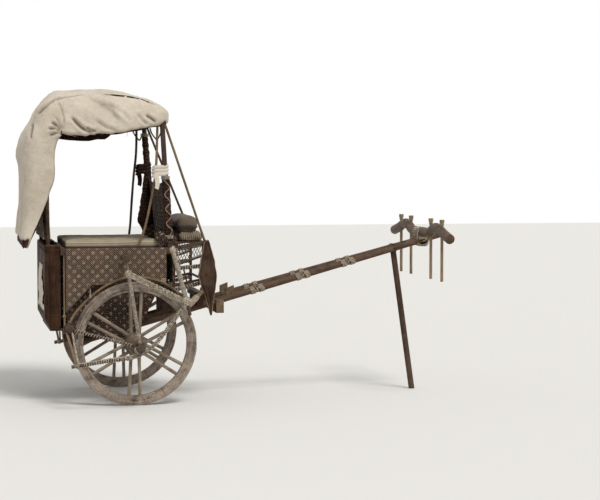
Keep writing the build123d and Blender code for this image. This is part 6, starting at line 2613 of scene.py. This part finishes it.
@dataclass
class Hangings:
    """Printed cloths that hang round the platform."""

    flap_y: float = 0.4723
    flap_top: float = 1.118
    flap_low: Table = ((-0.483, 0.660), (-0.297, 0.857), (0.235, 0.849))
    lower_y: float = 0.4253
    lower_top: float = 1.0697
    lower_low: Table = ((-0.470, 0.596), (-0.444, 0.575), (-0.440, 0.520), (-0.361, 0.501),
                        (-0.201, 0.472), (0.0, 0.472), (0.051, 0.543), (0.160, 0.768),
                        (0.236, 1.050))

    front_x: float = 0.2895
    front_half: float = 0.410
    front_top: float = 1.079
    front_drop: float = 0.217
    patch_front: Place = (0.196, 0.0062, 0.900)
    patch_size: Pair = (0.034, 0.048)

    def flat_side(self, co: Vector) -> Pair:
        """Flat place of a point on a cloth at the cart's side."""
        return co.x + 5.0, co.z

    def flap(self, side: int) -> None:
        """Upper flap with a crisp slanting lower edge.

        Args:
            side: RIGHT or LEFT.
        """
        rear, front = self.flap_low[0][0], self.flap_low[-1][0]

        def hang(u: float, v: float) -> Vector:
            """Point of the flap.

            Args:
                u: Share of its width, 0 to 1.
                v: Share of its length, 0 to 1.

            Returns:
                The point.
            """
            x = rear + (front - rear) * u
            z = self.flap_top - (self.flap_top - between(x, self.flap_low)) * v
            fold = 0.0028 * noise.noise(Vector((x * 9, z * 2.5, side))) * min(1.0, v * 3)
            fold += 0.0014 * math.sin(x * 55 + 2 * z) * v
            return place(x, side * (self.flap_y + fold + 0.0018), z)

        obj = Bench.grid(sided("side_flap", side), 150, 60, hang, (0.72, 0.4))
        lay_flat(obj, self.flat_side)
        hang_sheet(obj, 0.0036, DIAPER_PRINT,
                   "platform_frame", ["side_flaps"])
        binding = RopeWork()
        for a, b in zip(self.flap_low, self.flap_low[1:]):
            ends = [place(a[0], side * (self.flap_y + 0.003), a[1] + 0.002),
                    place(b[0], side * (self.flap_y + 0.003), b[1] + 0.002)]
            binding.strand(resample(ends, 0.012), 0.0030, 6)
        upright = [place(rear + 0.002, side * (self.flap_y + 0.003), self.flap_low[0][1]),
                   place(rear + 0.002, side * (self.flap_y + 0.003), self.flap_top)]
        binding.strand(resample(upright, 0.015), 0.0030, 6)
        binding.give(sided("flap_binding", side), DARK_CORD, "printed_cloth")

    def patch(self, side: int) -> None:
        """Small pale patch at the flap's lower front corner.

        Args:
            side: RIGHT or LEFT.
        """
        def shape(u: float, v: float) -> Vector:
            """Point of the patch.

            Args:
                u: Share of its width, 0 to 1.
                v: Share of its length, 0 to 1.

            Returns:
                The point.
            """
            x, out, z = self.patch_front
            wide, tall = self.patch_size
            return place(x + wide * u, side * (self.flap_y + out + 0.001 * math.sin(u * 5 + v)), z - tall * v)

        obj = Bench.grid(sided("flap_patch", side), 8, 10, shape, self.patch_size)
        hang_sheet(obj, 0.0014, TICKING_PATCH,
                   sided("side_flap", side))

    def lower(self, side: int) -> None:
        """Lower cloth with larger flowers, which ends in an uneven hem.

        Args:
            side: RIGHT or LEFT.
        """
        rear, front = self.lower_low[0][0], self.lower_low[-1][0]

        def hang(u: float, v: float) -> Vector:
            """Point of the lower cloth.

            Args:
                u: Share of its width, 0 to 1.
                v: Share of its length, 0 to 1.

            Returns:
                The point.
            """
            x = rear + (front - rear) * u
            z = self.lower_top - (self.lower_top - between(x, self.lower_low)) * v
            fold = 0.0030 * noise.noise(Vector((x * 8, z * 3, side + 4))) * min(1.0, v * 2)
            fold += 0.0022 * math.sin(x * 42 + 1.5 * z) * v
            return place(x, side * (self.lower_y + fold), z)

        obj = Bench.grid(sided("lower_cloth", side), 150, 90, hang, (0.71, 0.6))
        lay_flat(obj, self.flat_side)
        hang_sheet(obj, 0.0036, BLOSSOM_PRINT,
                   "platform_frame", ["lower_cloths"])

    def front(self) -> None:
        """Cloth across the platform's front behind the footrest."""
        def hang(u: float, v: float) -> Vector:
            """Point of the front cloth.

            Args:
                u: Share of its width, 0 to 1.
                v: Share of its length, 0 to 1.

            Returns:
                The point.
            """
            y = self.front_half * (2 * u - 1)
            z = self.front_top - (self.front_drop + 0.004 * math.sin(u * 17)) * v
            fold = 0.0034 * math.sin(u * 48 + 2 * v) * (0.2 + 0.8 * v)
            return place(self.front_x + fold, y, z)

        obj = Bench.grid("front_cloth_hung", 130, 34, hang, (2 * self.front_half, self.front_drop))
        hang_sheet(obj, 0.0036, BLOSSOM_PRINT,
                   "platform_frame", ["front_cloth"])

    def bundle(self, side: int) -> None:
        """Dark printed cloth bunched at the foot of a front post.

        Args:
            side: RIGHT or LEFT.
        """
        def heap(u: float, v: float) -> Vector:
            """Point of the heap, folded in on itself at the top.

            Args:
                u: Share of its width, 0 to 1.
                v: Share of its length, 0 to 1.

            Returns:
                The point.
            """
            angle = u * math.tau
            lean = math.sin(v * math.pi)
            folds = 1 + 0.22 * noise.noise(Vector((math.cos(angle) * 1.6, math.sin(angle) * 1.6,
                                                   v * 2.6 + side * 3)))
            folds += 0.07 * math.sin(angle * 5 + v * 7)
            reach = (0.028 + 0.040 * lean) * folds
            centre = place(0.232 + 0.02 * (1 - v), side * 0.418, 1.124 + 0.118 * v)
            return centre + Vector((reach * 1.10 * math.cos(angle), reach * 0.90 * math.sin(angle),
                                    0.006 * math.sin(angle * 3)))

        obj = Bench.grid(sided("foot_bundle", side), 48, 22, heap, (0.32, 0.20))
        hang_sheet(obj, 0.003, BLOSSOM_PRINT, "seat_pad")

    def build(self) -> None:
        """Builds the hangings of both sides and the front."""
        for side in (RIGHT, LEFT):
            self.lower(side)
            self.flap(side)
            self.patch(side)
            self.bundle(side)
        self.front()


@dataclass(frozen=True)
class PadSize:
    """Room of a padded piece: places along, half width and heights, and how it is blown up."""

    name: str
    node: str
    along: Pair
    half: float
    heights: Pair
    rounding: float
    voxel: float
    swell: float
    shrink: float


@dataclass
class Padding:
    """Stuffed pieces: the seat's pad, the front seat's roll and the pillow on it."""

    pad: PadSize = PadSize("striped_pad", "seat_pad", (-0.500, 0.205), 0.418, (1.1203, 1.1753),
                           0.018, 0.0095, 0.007, 0.004)
    roll: PadSize = PadSize("ribbed_roll", "lower_cushion", (0.342, 0.534), 0.306,
                            (1.1538, 1.2222), 0.028, 0.0060, 0.011, 0.006)
    pillow: PadSize = PadSize("grey_pillow", "upper_cushion", (0.322, 0.508), 0.305,
                              (1.2215, 1.3430), 0.046, 0.0065, 0.020, 0.012)

    frames: int = 20
    ground: float = 0.0008

    def block(self, size: PadSize) -> Obj:
        """Rounded block, a little smaller than its room and evenly meshed.

        Args:
            size: Place and size of the padded piece.

        Returns:
            The block.
        """
        shrink = size.shrink
        low = place(size.along[0] + shrink, -size.half + shrink, size.heights[0] + self.ground)
        high = place(size.along[1] - shrink, size.half - shrink, size.heights[1] - shrink)
        obj = Bench.cube(size.name, low, high)
        Bench.modify(obj, "BEVEL", width=size.rounding, segments=6, limit_method="ANGLE")
        for vertex in obj.data.vertices:
            share = clamp((vertex.co.z - low.z) / (high.z - low.z))
            middle = (low + high) / 2
            pull = 1 - 0.03 * math.sin(math.pi * share)
            vertex.co.x = middle.x + (vertex.co.x - middle.x) * pull
        return Bench.modify(obj, "REMESH", mode="VOXEL", voxel_size=size.voxel)

    def blow(self, obj: Obj, size: PadSize) -> None:
        """Lets a cloth simulation puff the block up, with no point moved further than its swell.

        Args:
            obj: The block.
            size: Its room.
        """
        start = read_points(obj.data, "co")
        floor = size.heights[0] + self.ground
        held = obj.vertex_groups.new(name="held")
        for vertex in obj.data.vertices:
            if vertex.co.z < floor + 0.004:
                held.add([vertex.index], 1.0, "REPLACE")
        Bench.only(obj)
        modifier = obj.modifiers.new("Cloth", "CLOTH")
        settings = modifier.settings
        settings.quality = 4
        settings.use_pressure = True
        settings.uniform_pressure_force = 4
        settings.effector_weights.gravity = 0
        settings.vertex_group_mass = "held"
        settings.tension_stiffness = 12
        settings.bending_stiffness = 0.4
        modifier.collision_settings.use_collision = False
        scene = bpy.context.scene
        modifier.point_cache.frame_start = 1
        modifier.point_cache.frame_end = self.frames
        for number in range(1, self.frames + 1):
            scene.frame_set(number)
        Bench.only(obj)
        bpy.ops.object.modifier_apply(modifier=modifier.name)
        scene.frame_set(1)
        moved = read_points(obj.data, "co") - start
        length = np.linalg.norm(moved, axis=1, keepdims=True)
        moved *= np.minimum(1.0, size.swell / np.maximum(length, 1e-9))
        obj.data.vertices.foreach_set("co", (start + moved).ravel())
        obj.data.update()
        obj.vertex_groups.clear()

    def crown(self, obj: Obj, size: PadSize) -> None:
        """Puffs the block up by its place alone.

        Args:
            obj: The piece.
            size: Place and size of the padded piece.
        """
        middle = place((size.along[0] + size.along[1]) / 2, 0, size.heights[0])
        wide = (size.along[1] - size.along[0]) / 2
        for vertex in obj.data.vertices:
            a = clamp(abs(vertex.co.x - middle.x) / wide)
            b = clamp(abs(vertex.co.y) / size.half)
            high = clamp((vertex.co.z - size.heights[0]) / (size.heights[1] - size.heights[0]))
            vertex.co.z += size.swell * 0.8 * high * (1 - a * a) * (1 - b ** 4)

    def shape(self, size: PadSize, sew: Callable[[Points, Points], Points]) -> Obj:
        """Makes a padded piece and sews its channels in.

        Args:
            size: Its room.
            sew: From points and normals to how far each moves outwards.

        Returns:
            The piece.
        """
        obj = self.block(size)
        self.blow(obj, size)
        Bench.modify(obj, "SUBSURF", levels=1, render_levels=1)
        mesh = obj.data
        spots, normals = read_points(mesh, "co"), read_points(mesh, "normal")
        rest = np.clip((spots[:, 2] - size.heights[0] - 0.002) / 0.006, 0, 1)
        spots = spots + normals * (sew(spots, normals) * rest)[:, None]
        spots[:, 2] = np.maximum(spots[:, 2], size.heights[0] + 0.0003)
        mesh.vertices.foreach_set("co", spots.ravel())
        mesh.update()
        Bench.only(obj)
        bpy.ops.object.shade_smooth()
        return obj

    def sew_pad(self, spots: Points, normals: Points) -> Points:
        """Ribs along the seat's pad, and a few wide dents from use.

        Args:
            spots: Places of its points, one row each.
            normals: Directions out of it, one row each; not used.

        Returns:
            How far each point moves out.
        """
        arc = np.abs(spots[:, 1]) - spots[:, 2]
        ribs = 0.0011 * np.sin(arc * math.tau / 0.017)
        dents, fine = drifting(spots, (5, 5, 9)), drifting(spots, (26, 20, 26))
        return ribs + dents * 0.004 + fine * 0.0012

    def sew_roll(self, spots: Points, normals: Points) -> Points:
        """Deep ribs across the front seat's roll.

        Args:
            spots: Places of its points, one row each.
            normals: Directions out of it, one row each; not used.

        Returns:
            How far each point moves out.
        """
        drift = drifting(spots, (20, 6, 12))
        ribs = np.abs(np.sin((spots[:, 0] + drift * 0.006) * math.pi / 0.0145))
        return (ribs - 0.5) * 0.0034 + drift * 0.002

    def sew_pillow(self, spots: Points, normals: Points) -> Points:
        """Puckers along the pillow's lower seam, and soft dents.

        Args:
            spots: Places of its points, one row each.
            normals: Directions out of it, one row each; not used.

        Returns:
            How far each point moves out.
        """
        low = np.exp(-((spots[:, 2] - 1.244) / 0.011) ** 2)
        puckers = np.sin(spots[:, 0] * math.tau / 0.021) + np.sin(spots[:, 1] * math.tau / 0.023)
        dents = drifting(spots, (11, 5, 11))
        return -0.0042 * low + puckers * 0.0012 * low + dents * 0.0050

    def stitches(self, pillow: Obj) -> None:
        """Dark stitches that slant across the pillow's lower seam.

        Args:
            pillow: The stuffed piece that they are sewn through.
        """
        cord = RopeWork()
        rows: list[tuple[Vector, Vector, Vector]] = []
        for side in (RIGHT, LEFT):
            for x in np.arange(0.338, 0.500, 0.0125):
                ends = place(x - 0.004, side * 0.42, 1.270), place(x + 0.005, side * 0.42, 1.234)
                rows.append((*ends, Vector((0, -side, 0))))
        for y in np.arange(-0.275, 0.28, 0.015):
            rows.append((place(0.60, y - 0.003, 1.262), place(0.60, y + 0.004, 1.232), Vector((-1, 0, 0))))
            rows.append((place(0.20, y - 0.003, 1.262), place(0.20, y + 0.004, 1.232), Vector((1, 0, 0))))
        for high, low, way in rows:
            line = []
            for k in range(5):
                hit, spot, normal, _ = pillow.ray_cast(high.lerp(low, k / 4), way)
                if hit:
                    line.append(spot + normal * 0.0008)
            if len(line) == 5:
                cord.strand(line, 0.0030, 6)
        cord.give("pillow_stitches", STITCH_CORD, "grey_cushion")

    def build(self) -> None:
        """Makes the three padded pieces."""
        bpy.context.scene.frame_end = self.frames
        pad = self.shape(self.pad, self.sew_pad)
        hand_over(pad, TICKING, [self.pad.node])
        roll = self.shape(self.roll, self.sew_roll)
        hand_over(roll, RIBBED, [self.roll.node])
        pillow = self.shape(self.pillow, self.sew_pillow)
        hand_over(pillow, GREY_CLOTH, [self.pillow.node])
        self.stitches(pillow)


@dataclass
class FrontSeat:
    """Front seat on the drawbar: its ropes, nets, hanging leather and footrest."""

    frame_y: float = 0.330
    striped_bars: tuple[tuple[Pair, Pair, float], ...] = (
        ((0.310, 0.957), (0.522, 0.975), 0.0092), ((0.310, 0.801), (0.522, 0.855), 0.0092),
    )
    net_top: Table = ((0.3196, 1.098), (0.5095, 1.128))
    net_low: Table = ((0.3196, 0.984), (0.5095, 1.050))
    apron_edges: tuple[tuple[float, float, float], ...] = (
        (1.166, 0.520, 0.548), (1.120, 0.510, 0.560), (1.010, 0.488, 0.590), (0.910, 0.476, 0.605),
        (0.850, 0.490, 0.600), (0.790, 0.515, 0.590), (0.700, 0.541, 0.578), (0.622, 0.560, 0.567),
    )
    apron_y: float = -0.4365
    foot_x: Pair = (0.616, 0.674)
    foot_z: tuple[float, float, float] = (0.629, 0.696, 0.725)
    foot_half: float = 0.330
    foot_block: float = 0.040
    foot_slot: tuple[float, float, float] = (0.0085, 0.014, 0.058)
    apron_size: Pair = (0.120, 0.550)
    apron_flat: float = 0.140
    apron_thickness: float = 0.0042
    net_count: int = 9
    net_slope: float = 2.0
    guy_route: tuple[Place, ...] = ((0.300, 0.400, 1.108), (0.326, 0.365, 1.000), (0.334, 0.345, 0.966))
    guy_knots: tuple[Place, ...] = ((0.303, 0.398, 1.094), (0.334, 0.345, 0.975))

    def dress_frame(self) -> None:
        """Finishes of the seat's bars, board and the cleats under it."""
        dress({"driver_frame": POST_WOOD, "driver_seat": BEAM_WOOD, "pole_cleats": PALE_BEAM})

    def ropes(self, side: int) -> None:
        """Ropes wound round two side bars, in light and dark turns.

        Args:
            side: RIGHT or LEFT.
        """
        light, dark = RopeWork(), RopeWork()
        for start, end, core in self.striped_bars:
            line = resample([place(start[0], side * self.frame_y, start[1]),
                             place(end[0], side * self.frame_y, end[1])], 0.01)
            light.winding(line, core, 0.0046, 0.0185, 0.03, 0.97, 1, wobble=0.0015)
            dark.winding(line, core - 0.0012, 0.0040, 0.0185, 0.06, 0.99, 1, wobble=0.0015)
        for work, word, finish in ((light, "light", BRIGHT_ROPE), (dark, "dark", DARK_CORD)):
            work.give(sided(f"seat_rope_{word}", side), finish)

    def net(self, side: int) -> None:
        """Crossed cords laced between the seat's top rail and the bar under it.

        Args:
            side: RIGHT or LEFT.
        """
        cords = RopeWork()
        count, slope = self.net_count, self.net_slope

        def spot(u: float, v: float, lift: float) -> Vector:
            """Place on the net for shares along and up.

            Args:
                u: Share of its width, 0 to 1.
                v: Share of its length, 0 to 1.
                lift: How far out of the net's plane.

            Returns:
                The point.
            """
            x = self.net_top[0][0] + (self.net_top[-1][0] - self.net_top[0][0]) * u
            low, high = between(x, self.net_low), between(x, self.net_top)
            return place(x, side * (self.frame_y + lift), low + (high - low) * v)

        for hand in (1, -1):
            for k in range(-1, count + 1):
                start, end = k / count, (k + hand * slope) / count
                rows = []
                for n in range(25):
                    v = n / 24
                    u = start + (end - start) * v
                    if -0.001 <= u <= 1.001:
                        lift = 0.0028 * hand * math.cos(v * math.pi * 4) + 0.0085 * abs(2 * v - 1) ** 6
                        rows.append(spot(u, v, lift))
                if len(rows) > 5:
                    cords.strand(rows, 0.0024, 6)
        for k in range(count * 2 + 1):
            u = clamp(k / (count * 2))
            for v, bar in ((1.0, 0.0155), (0.0, 0.0085)):
                middle = spot(u, v, 0.0)
                ring = np.array([middle + Vector((0.0016 * math.sin(a), bar * math.cos(a), bar * math.sin(a)))
                                 for a in np.linspace(0, math.tau, 15)])
                if 0.02 < u < 0.98:
                    cords.strand(ring, 0.0022, 5)
        cords.give(sided("seat_net", side), DARK_NET, "rope", ["driver_nets"])

    def guys(self, side: int) -> None:
        """Two taut ropes from the platform's front to the seat.

        Args:
            side: RIGHT or LEFT.
        """
        ropes = RopeWork()
        for shifts in ((0.0, 0.0, 0.0), (0.020, 0.020, 0.012)):
            line = resample([place(x + shift, side * y, z)
                             for (x, y, z), shift in zip(self.guy_route, shifts)], 0.01)
            ropes.twisted(line, 0.0042, 0.018)
        for x, y, z in self.guy_knots:
            ropes.ball(place(x, side * y, z), Vector((0.3, 0.1, 1)), 0.0125, 0.0032, 1.1)
        ropes.give(sided("seat_guys", side), BRIGHT_ROPE)

    def apron(self) -> None:
        """Leaf-shaped leather that hangs beside the front seat on the right."""
        heights, rears, fronts = zip(*reversed(self.apron_edges))

        def hang(u: float, v: float) -> Vector:
            """Point of the leather, in soft upright folds and curled at its rear edge.

            Args:
                u: Share of its width, 0 to 1.
                v: Share of its length, 0 to 1.

            Returns:
                The point.
            """
            z = heights[-1] + (heights[0] - heights[-1]) * v
            rear, front = float(np.interp(z, heights, rears)), float(np.interp(z, heights, fronts))
            bell = math.sin(math.pi * clamp(v, 0.02, 0.98)) ** 0.6
            drift = 0.5 * noise.noise(Vector((0.3, v * 3.1, 2.0)))
            fold = 0.0052 * bell * math.sin((u * 1.9 + 0.55 * v + drift) * math.tau)
            fold += 0.0035 * noise.noise(Vector((u * 3.4, v * 9, 3.1)))
            curl = 0.010 * max(0.0, 0.2 - u) / 0.2 * bell
            edge = 0.004 * noise.noise(Vector((u * 2, v * 16, 7.3))) * bell
            y = self.apron_y - 0.004 * bell + curl + fold
            return place(rear + (front - rear) * u + edge, y, z)

        obj = Bench.grid("hanging_apron", 26, 90, hang, self.apron_size)
        Bench.modify(obj, "SUBSURF", levels=1, render_levels=1)
        Bench.thicken(obj, self.apron_thickness, 0.0)
        Bench.modify(obj, "BEVEL", width=0.0009, segments=2, limit_method="ANGLE")
        Bench.smooth(obj, 50)
        hand_over(obj, APRON_HIDE, ["driver_apron"])
        # Pale strands along both edges of the leather: painted highlight where the edges catch the light.
        edge = RopeWork()
        for u, share in ((0.0, 1.25), (1.0, 0.7)):
            line = np.array([hang(u, v) for v in np.linspace(0.02, 0.98, 80)])
            edge.strand(line, 0.0036 * share, 7)
        edge.give("apron_edge", EDGE_HIGHLIGHT_LEATHER, "dark_leather")
        lace = RopeWork()
        for x in (0.526, 0.541):
            line = resample([place(x, self.apron_y - 0.004, 1.152), place(x, self.apron_y + 0.004, 1.169),
                             place(x + 0.001, self.apron_y + 0.016, 1.150)], 0.004)
            lace.strand(line, 0.0028, 6)
        lace.give("apron_lace", DARK_CORD)

    def footrest(self) -> None:
        """Footrest: a board between two end blocks, each with a slot sawn in its end."""
        low, mid, high = self.foot_z
        rear, front = self.foot_x
        half, block = self.foot_half, self.foot_block
        parts = [Bench.cube("footrest_board", place(rear, -half + 0.001, low),
                            place(front, half - 0.001, mid))]
        for side in (-1, 1):
            inner, outer = side * (half - block), side * half
            end = Bench.cube("footrest_end", place(rear, min(inner, outer), low),
                             place(front, max(inner, outer), high))
            wide, foot, top = self.foot_slot
            middle, ends = 0.5 * (rear + front), sorted((outer - side * 0.014, outer + side * 0.01))
            gap = Bench.cube("slot_cutter", place(middle - wide, ends[0], low + foot),
                             place(middle + wide, ends[1], low + top))
            Bench.modify(end, "BOOLEAN", operation="DIFFERENCE", object=gap, solver="EXACT")
            bpy.data.objects.remove(gap)
            parts.append(end)
        obj = Bench.join(parts, "footrest_timber")
        Bench.modify(obj, "BEVEL", width=0.0022, segments=2, limit_method="ANGLE", angle_limit=0.6)
        Bench.smooth(obj, 40)
        hand_over(obj, PALE_BEAM, ["footrest"])

    def build(self) -> None:
        """Builds the seat's pieces on both sides."""
        self.dress_frame()
        for side in (RIGHT, LEFT):
            self.ropes(side)
            self.net(side)
            self.guys(side)
        self.apron()
        self.footrest()


@dataclass
class Drawbar:
    """Two poles that meet at the yoke, with rungs, bindings, yoke and prop."""

    rung_places: tuple[float, float, float] = (0.95, 1.30, 1.65)
    pole_spread: Table = ((-0.450, 0.230), (2.350, 0.045))
    pole_height: Table = ((-0.450, 0.4085), (2.350, 1.1645))
    pole_radius: Table = ((-0.450, 0.028), (2.350, 0.021))
    yoke_x: float = 2.240
    yoke_z: float = 1.1587
    lashing: tuple[float, float, float] = (0.048, 0.076, 0.066)
    lashing_rope: float = 0.0052
    lashing_turns: int = 14
    pin_places: tuple[float, ...] = (-0.605, -0.295, 0.295, 0.605)
    ring_radius: float = 0.0135
    ring_z: float = 1.268

    def dress_frame(self) -> None:
        """Finishes of the bars that keep their shape."""
        dress({"drawbar_poles": POLE_WOOD, "drawbar_rungs": BEAM_WOOD, "drawbar_nose": POLE_WOOD,
               "yoke": YOKE_WOOD, "yoke_pins": PALE_POST, "prop_leg": POST_WOOD, "prop_pin": IRON})

    def pole(self, x: float, side: int) -> Vector:
        """Middle of a pole at a place along."""
        return place(x, side * between(x, self.pole_spread), between(x, self.pole_height))

    def bindings(self) -> None:
        """Rope rings round each pole on both sides of every rung, and crossed over it."""
        rope = RopeWork()
        for x in self.rung_places:
            for side in (RIGHT, LEFT):
                radius = between(x, self.pole_radius)
                for start, end in ((x - 0.050, x - 0.016), (x + 0.016, x + 0.050)):
                    line = resample([self.pole(start, side), self.pole(end, side)], 0.004)
                    rope.winding(line, radius, 0.0034, 0.0070, hand=side, wobble=0.0006)
                for hand in (1, -1):
                    rows = []
                    for a in np.linspace(-1.15, 1.15, 15):
                        middle = self.pole(x + hand * 0.017 * a, side)
                        rows.append(middle + Vector((0, side * math.cos(a), math.sin(a))) * (radius + 0.0052))
                    rope.strand(rows, 0.0032, 6)
        rope.give("rung_bindings", ROPE)

    def yoke_rope(self) -> None:
        """Rope wound round the yoke and the nose of the drawbar."""
        rope = RopeWork()
        a, b, c = self.lashing
        thick = self.lashing_rope

        def loop(angle: float, grow: float) -> Pair:
            """Point on a rounded square round the crossing, seen from the side.

            Args:
                angle: Angle round the loop.
                grow: How much wider than the bar.

            Returns:
                The point.
            """
            cosine, sine = math.cos(angle), math.sin(angle)
            x = math.copysign(abs(cosine) ** 0.55, cosine) * (a - thick + grow)
            z = math.copysign(abs(sine) ** 0.55, sine) * (c - thick + grow)
            return x, z

        turns = self.lashing_turns
        rows = []
        for step in range(turns * 28 + 1):
            share = step / (turns * 28)
            x, z = loop(share * turns * math.tau, 0.0012 * noise.noise(Vector((share * 60, 0.3, 0.2))))
            rows.append(place(self.yoke_x + x, (2 * share - 1) * b, self.yoke_z + z))
        rope.strand(rows, thick, 7)
        for hand in (1, -1):
            rows = []
            turns = 5
            for step in range(turns * 32 + 1):
                share = step / (turns * 32)
                angle = share * turns * math.tau
                x, z = loop(angle, 0.0075)
                y = hand * (0.045 * math.sin(angle) + (share - 0.5) * 0.05)
                rows.append(place(self.yoke_x + x, y, self.yoke_z + z))
            rope.strand(rows, 0.0046, 7)
        shares = np.linspace(-0.95, 0.95, 6)
        core = np.array([place(self.yoke_x, share * b, self.yoke_z) for share in shares])
        rope.strand(core, 0.036, 16)
        rope.give("yoke_rope", ROPE, "rope", ["yoke_lashing"])

    def yoke_rings(self) -> None:
        """Cord rings that hold each pin in the yoke."""
        rope = RopeWork()
        for y in self.pin_places:
            for height in (0.0, 0.0075, 0.015):
                ring = [place(self.yoke_x + self.ring_radius * math.cos(t),
                              y + self.ring_radius * math.sin(t), self.ring_z + height)
                        for t in np.linspace(0, math.tau, 19)]
                rope.strand(ring, 0.0036, 6)
        rope.give("pin_rings", ROPE)

    def build(self) -> None:
        """Builds the drawbar's rope work and dresses the rest."""
        self.dress_frame()
        self.bindings()
        self.yoke_rope()
        self.yoke_rings()


@dataclass
class Studio:
    """Plain pale floor, soft light and a camera as in the photograph."""

    camera_at: tuple[float, float, float] = (-2.286, -14.233, 1.8471)
    camera_turn: Pair = (0.0539, 0.1946)
    lens: float = 116.08
    floor_size: float = 60.0
    floor_colour: Colour = (0.86, 0.85, 0.83)
    world_strength: float = 0.6
    sun_strength: float = 2.1
    sun_turn: Pair = (0.64, 0.35)
    sun_angle: float = 0.35

    def camera(self) -> None:
        """Camera at the photograph's place."""
        data = bpy.data.cameras.new("photo_camera")
        data.lens = self.lens
        data.sensor_width = 36
        data.clip_end = 100
        obj = bpy.data.objects.new("photo_camera", data)
        obj.location = self.camera_at
        down, turn = self.camera_turn
        obj.rotation_euler = (math.pi / 2 - down, 0.0, -turn)
        bpy.context.scene.collection.objects.link(obj)
        bpy.context.scene.camera = obj

    def floor(self) -> None:
        """Wide plain floor."""
        bpy.ops.object.select_all(action="DESELECT")
        bpy.ops.mesh.primitive_plane_add(size=self.floor_size)
        obj = bpy.context.object
        obj.name = "studio_floor"
        material = bpy.data.materials.new("studio_floor_paper")
        material.use_nodes = True
        shader = material.node_tree.nodes["Principled BSDF"]
        shader.inputs["Base Color"].default_value = linear(self.floor_colour)
        shader.inputs["Roughness"].default_value = 0.9
        obj.data.materials.append(material)

    def light(self) -> None:
        """Even light from all round, and a broad soft lamp from above on the right."""
        world = bpy.context.scene.world or bpy.data.worlds.new("studio_world")
        bpy.context.scene.world = world
        world.use_nodes = True
        g = Graph(world.node_tree)
        world.node_tree.nodes.clear()
        path = g.add("ShaderNodeLightPath").outputs
        seen = g.math("MAXIMUM", g.math("MAXIMUM", path["Is Camera Ray"], path["Is Glossy Ray"]),
                      path["Is Transmission Ray"])
        lift = g.plus(self.world_strength, g.times(seen, 1.0 - self.world_strength))
        back = g.add("ShaderNodeBackground", {"Color": (1.0, 1.0, 1.0, 1.0), "Strength": lift})
        g.add("ShaderNodeOutputWorld", {"Surface": back.outputs[0]})
        data = bpy.data.lights.new("soft_sun", "SUN")
        data.energy = self.sun_strength
        data.angle = self.sun_angle
        obj = bpy.data.objects.new("soft_sun", data)
        obj.rotation_euler = (self.sun_turn[0], 0.0, self.sun_turn[1])
        bpy.context.scene.collection.objects.link(obj)

    def build(self) -> None:
        """Sets the scene round the cart."""
        bpy.context.scene.view_settings.view_transform = "Standard"
        self.camera()
        self.floor()
        self.light()


def main() -> None:
    """Builds the cart's sub-assemblies in order."""
    logging.basicConfig(level=logging.INFO, format="%(name)s: %(message)s")
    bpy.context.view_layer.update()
    Studio().build()
    for builder in (Wheel(RIGHT), Wheel(LEFT), SideFrame(RIGHT), SideFrame(LEFT), Body(), Hangings(),
                    CanopyFrame(), Canopy(), FrontSeat(), Drawbar(), Padding()):
        LOG.info("building %s", type(builder).__name__)
        builder.build()


if __name__ == "__main__":
    main()
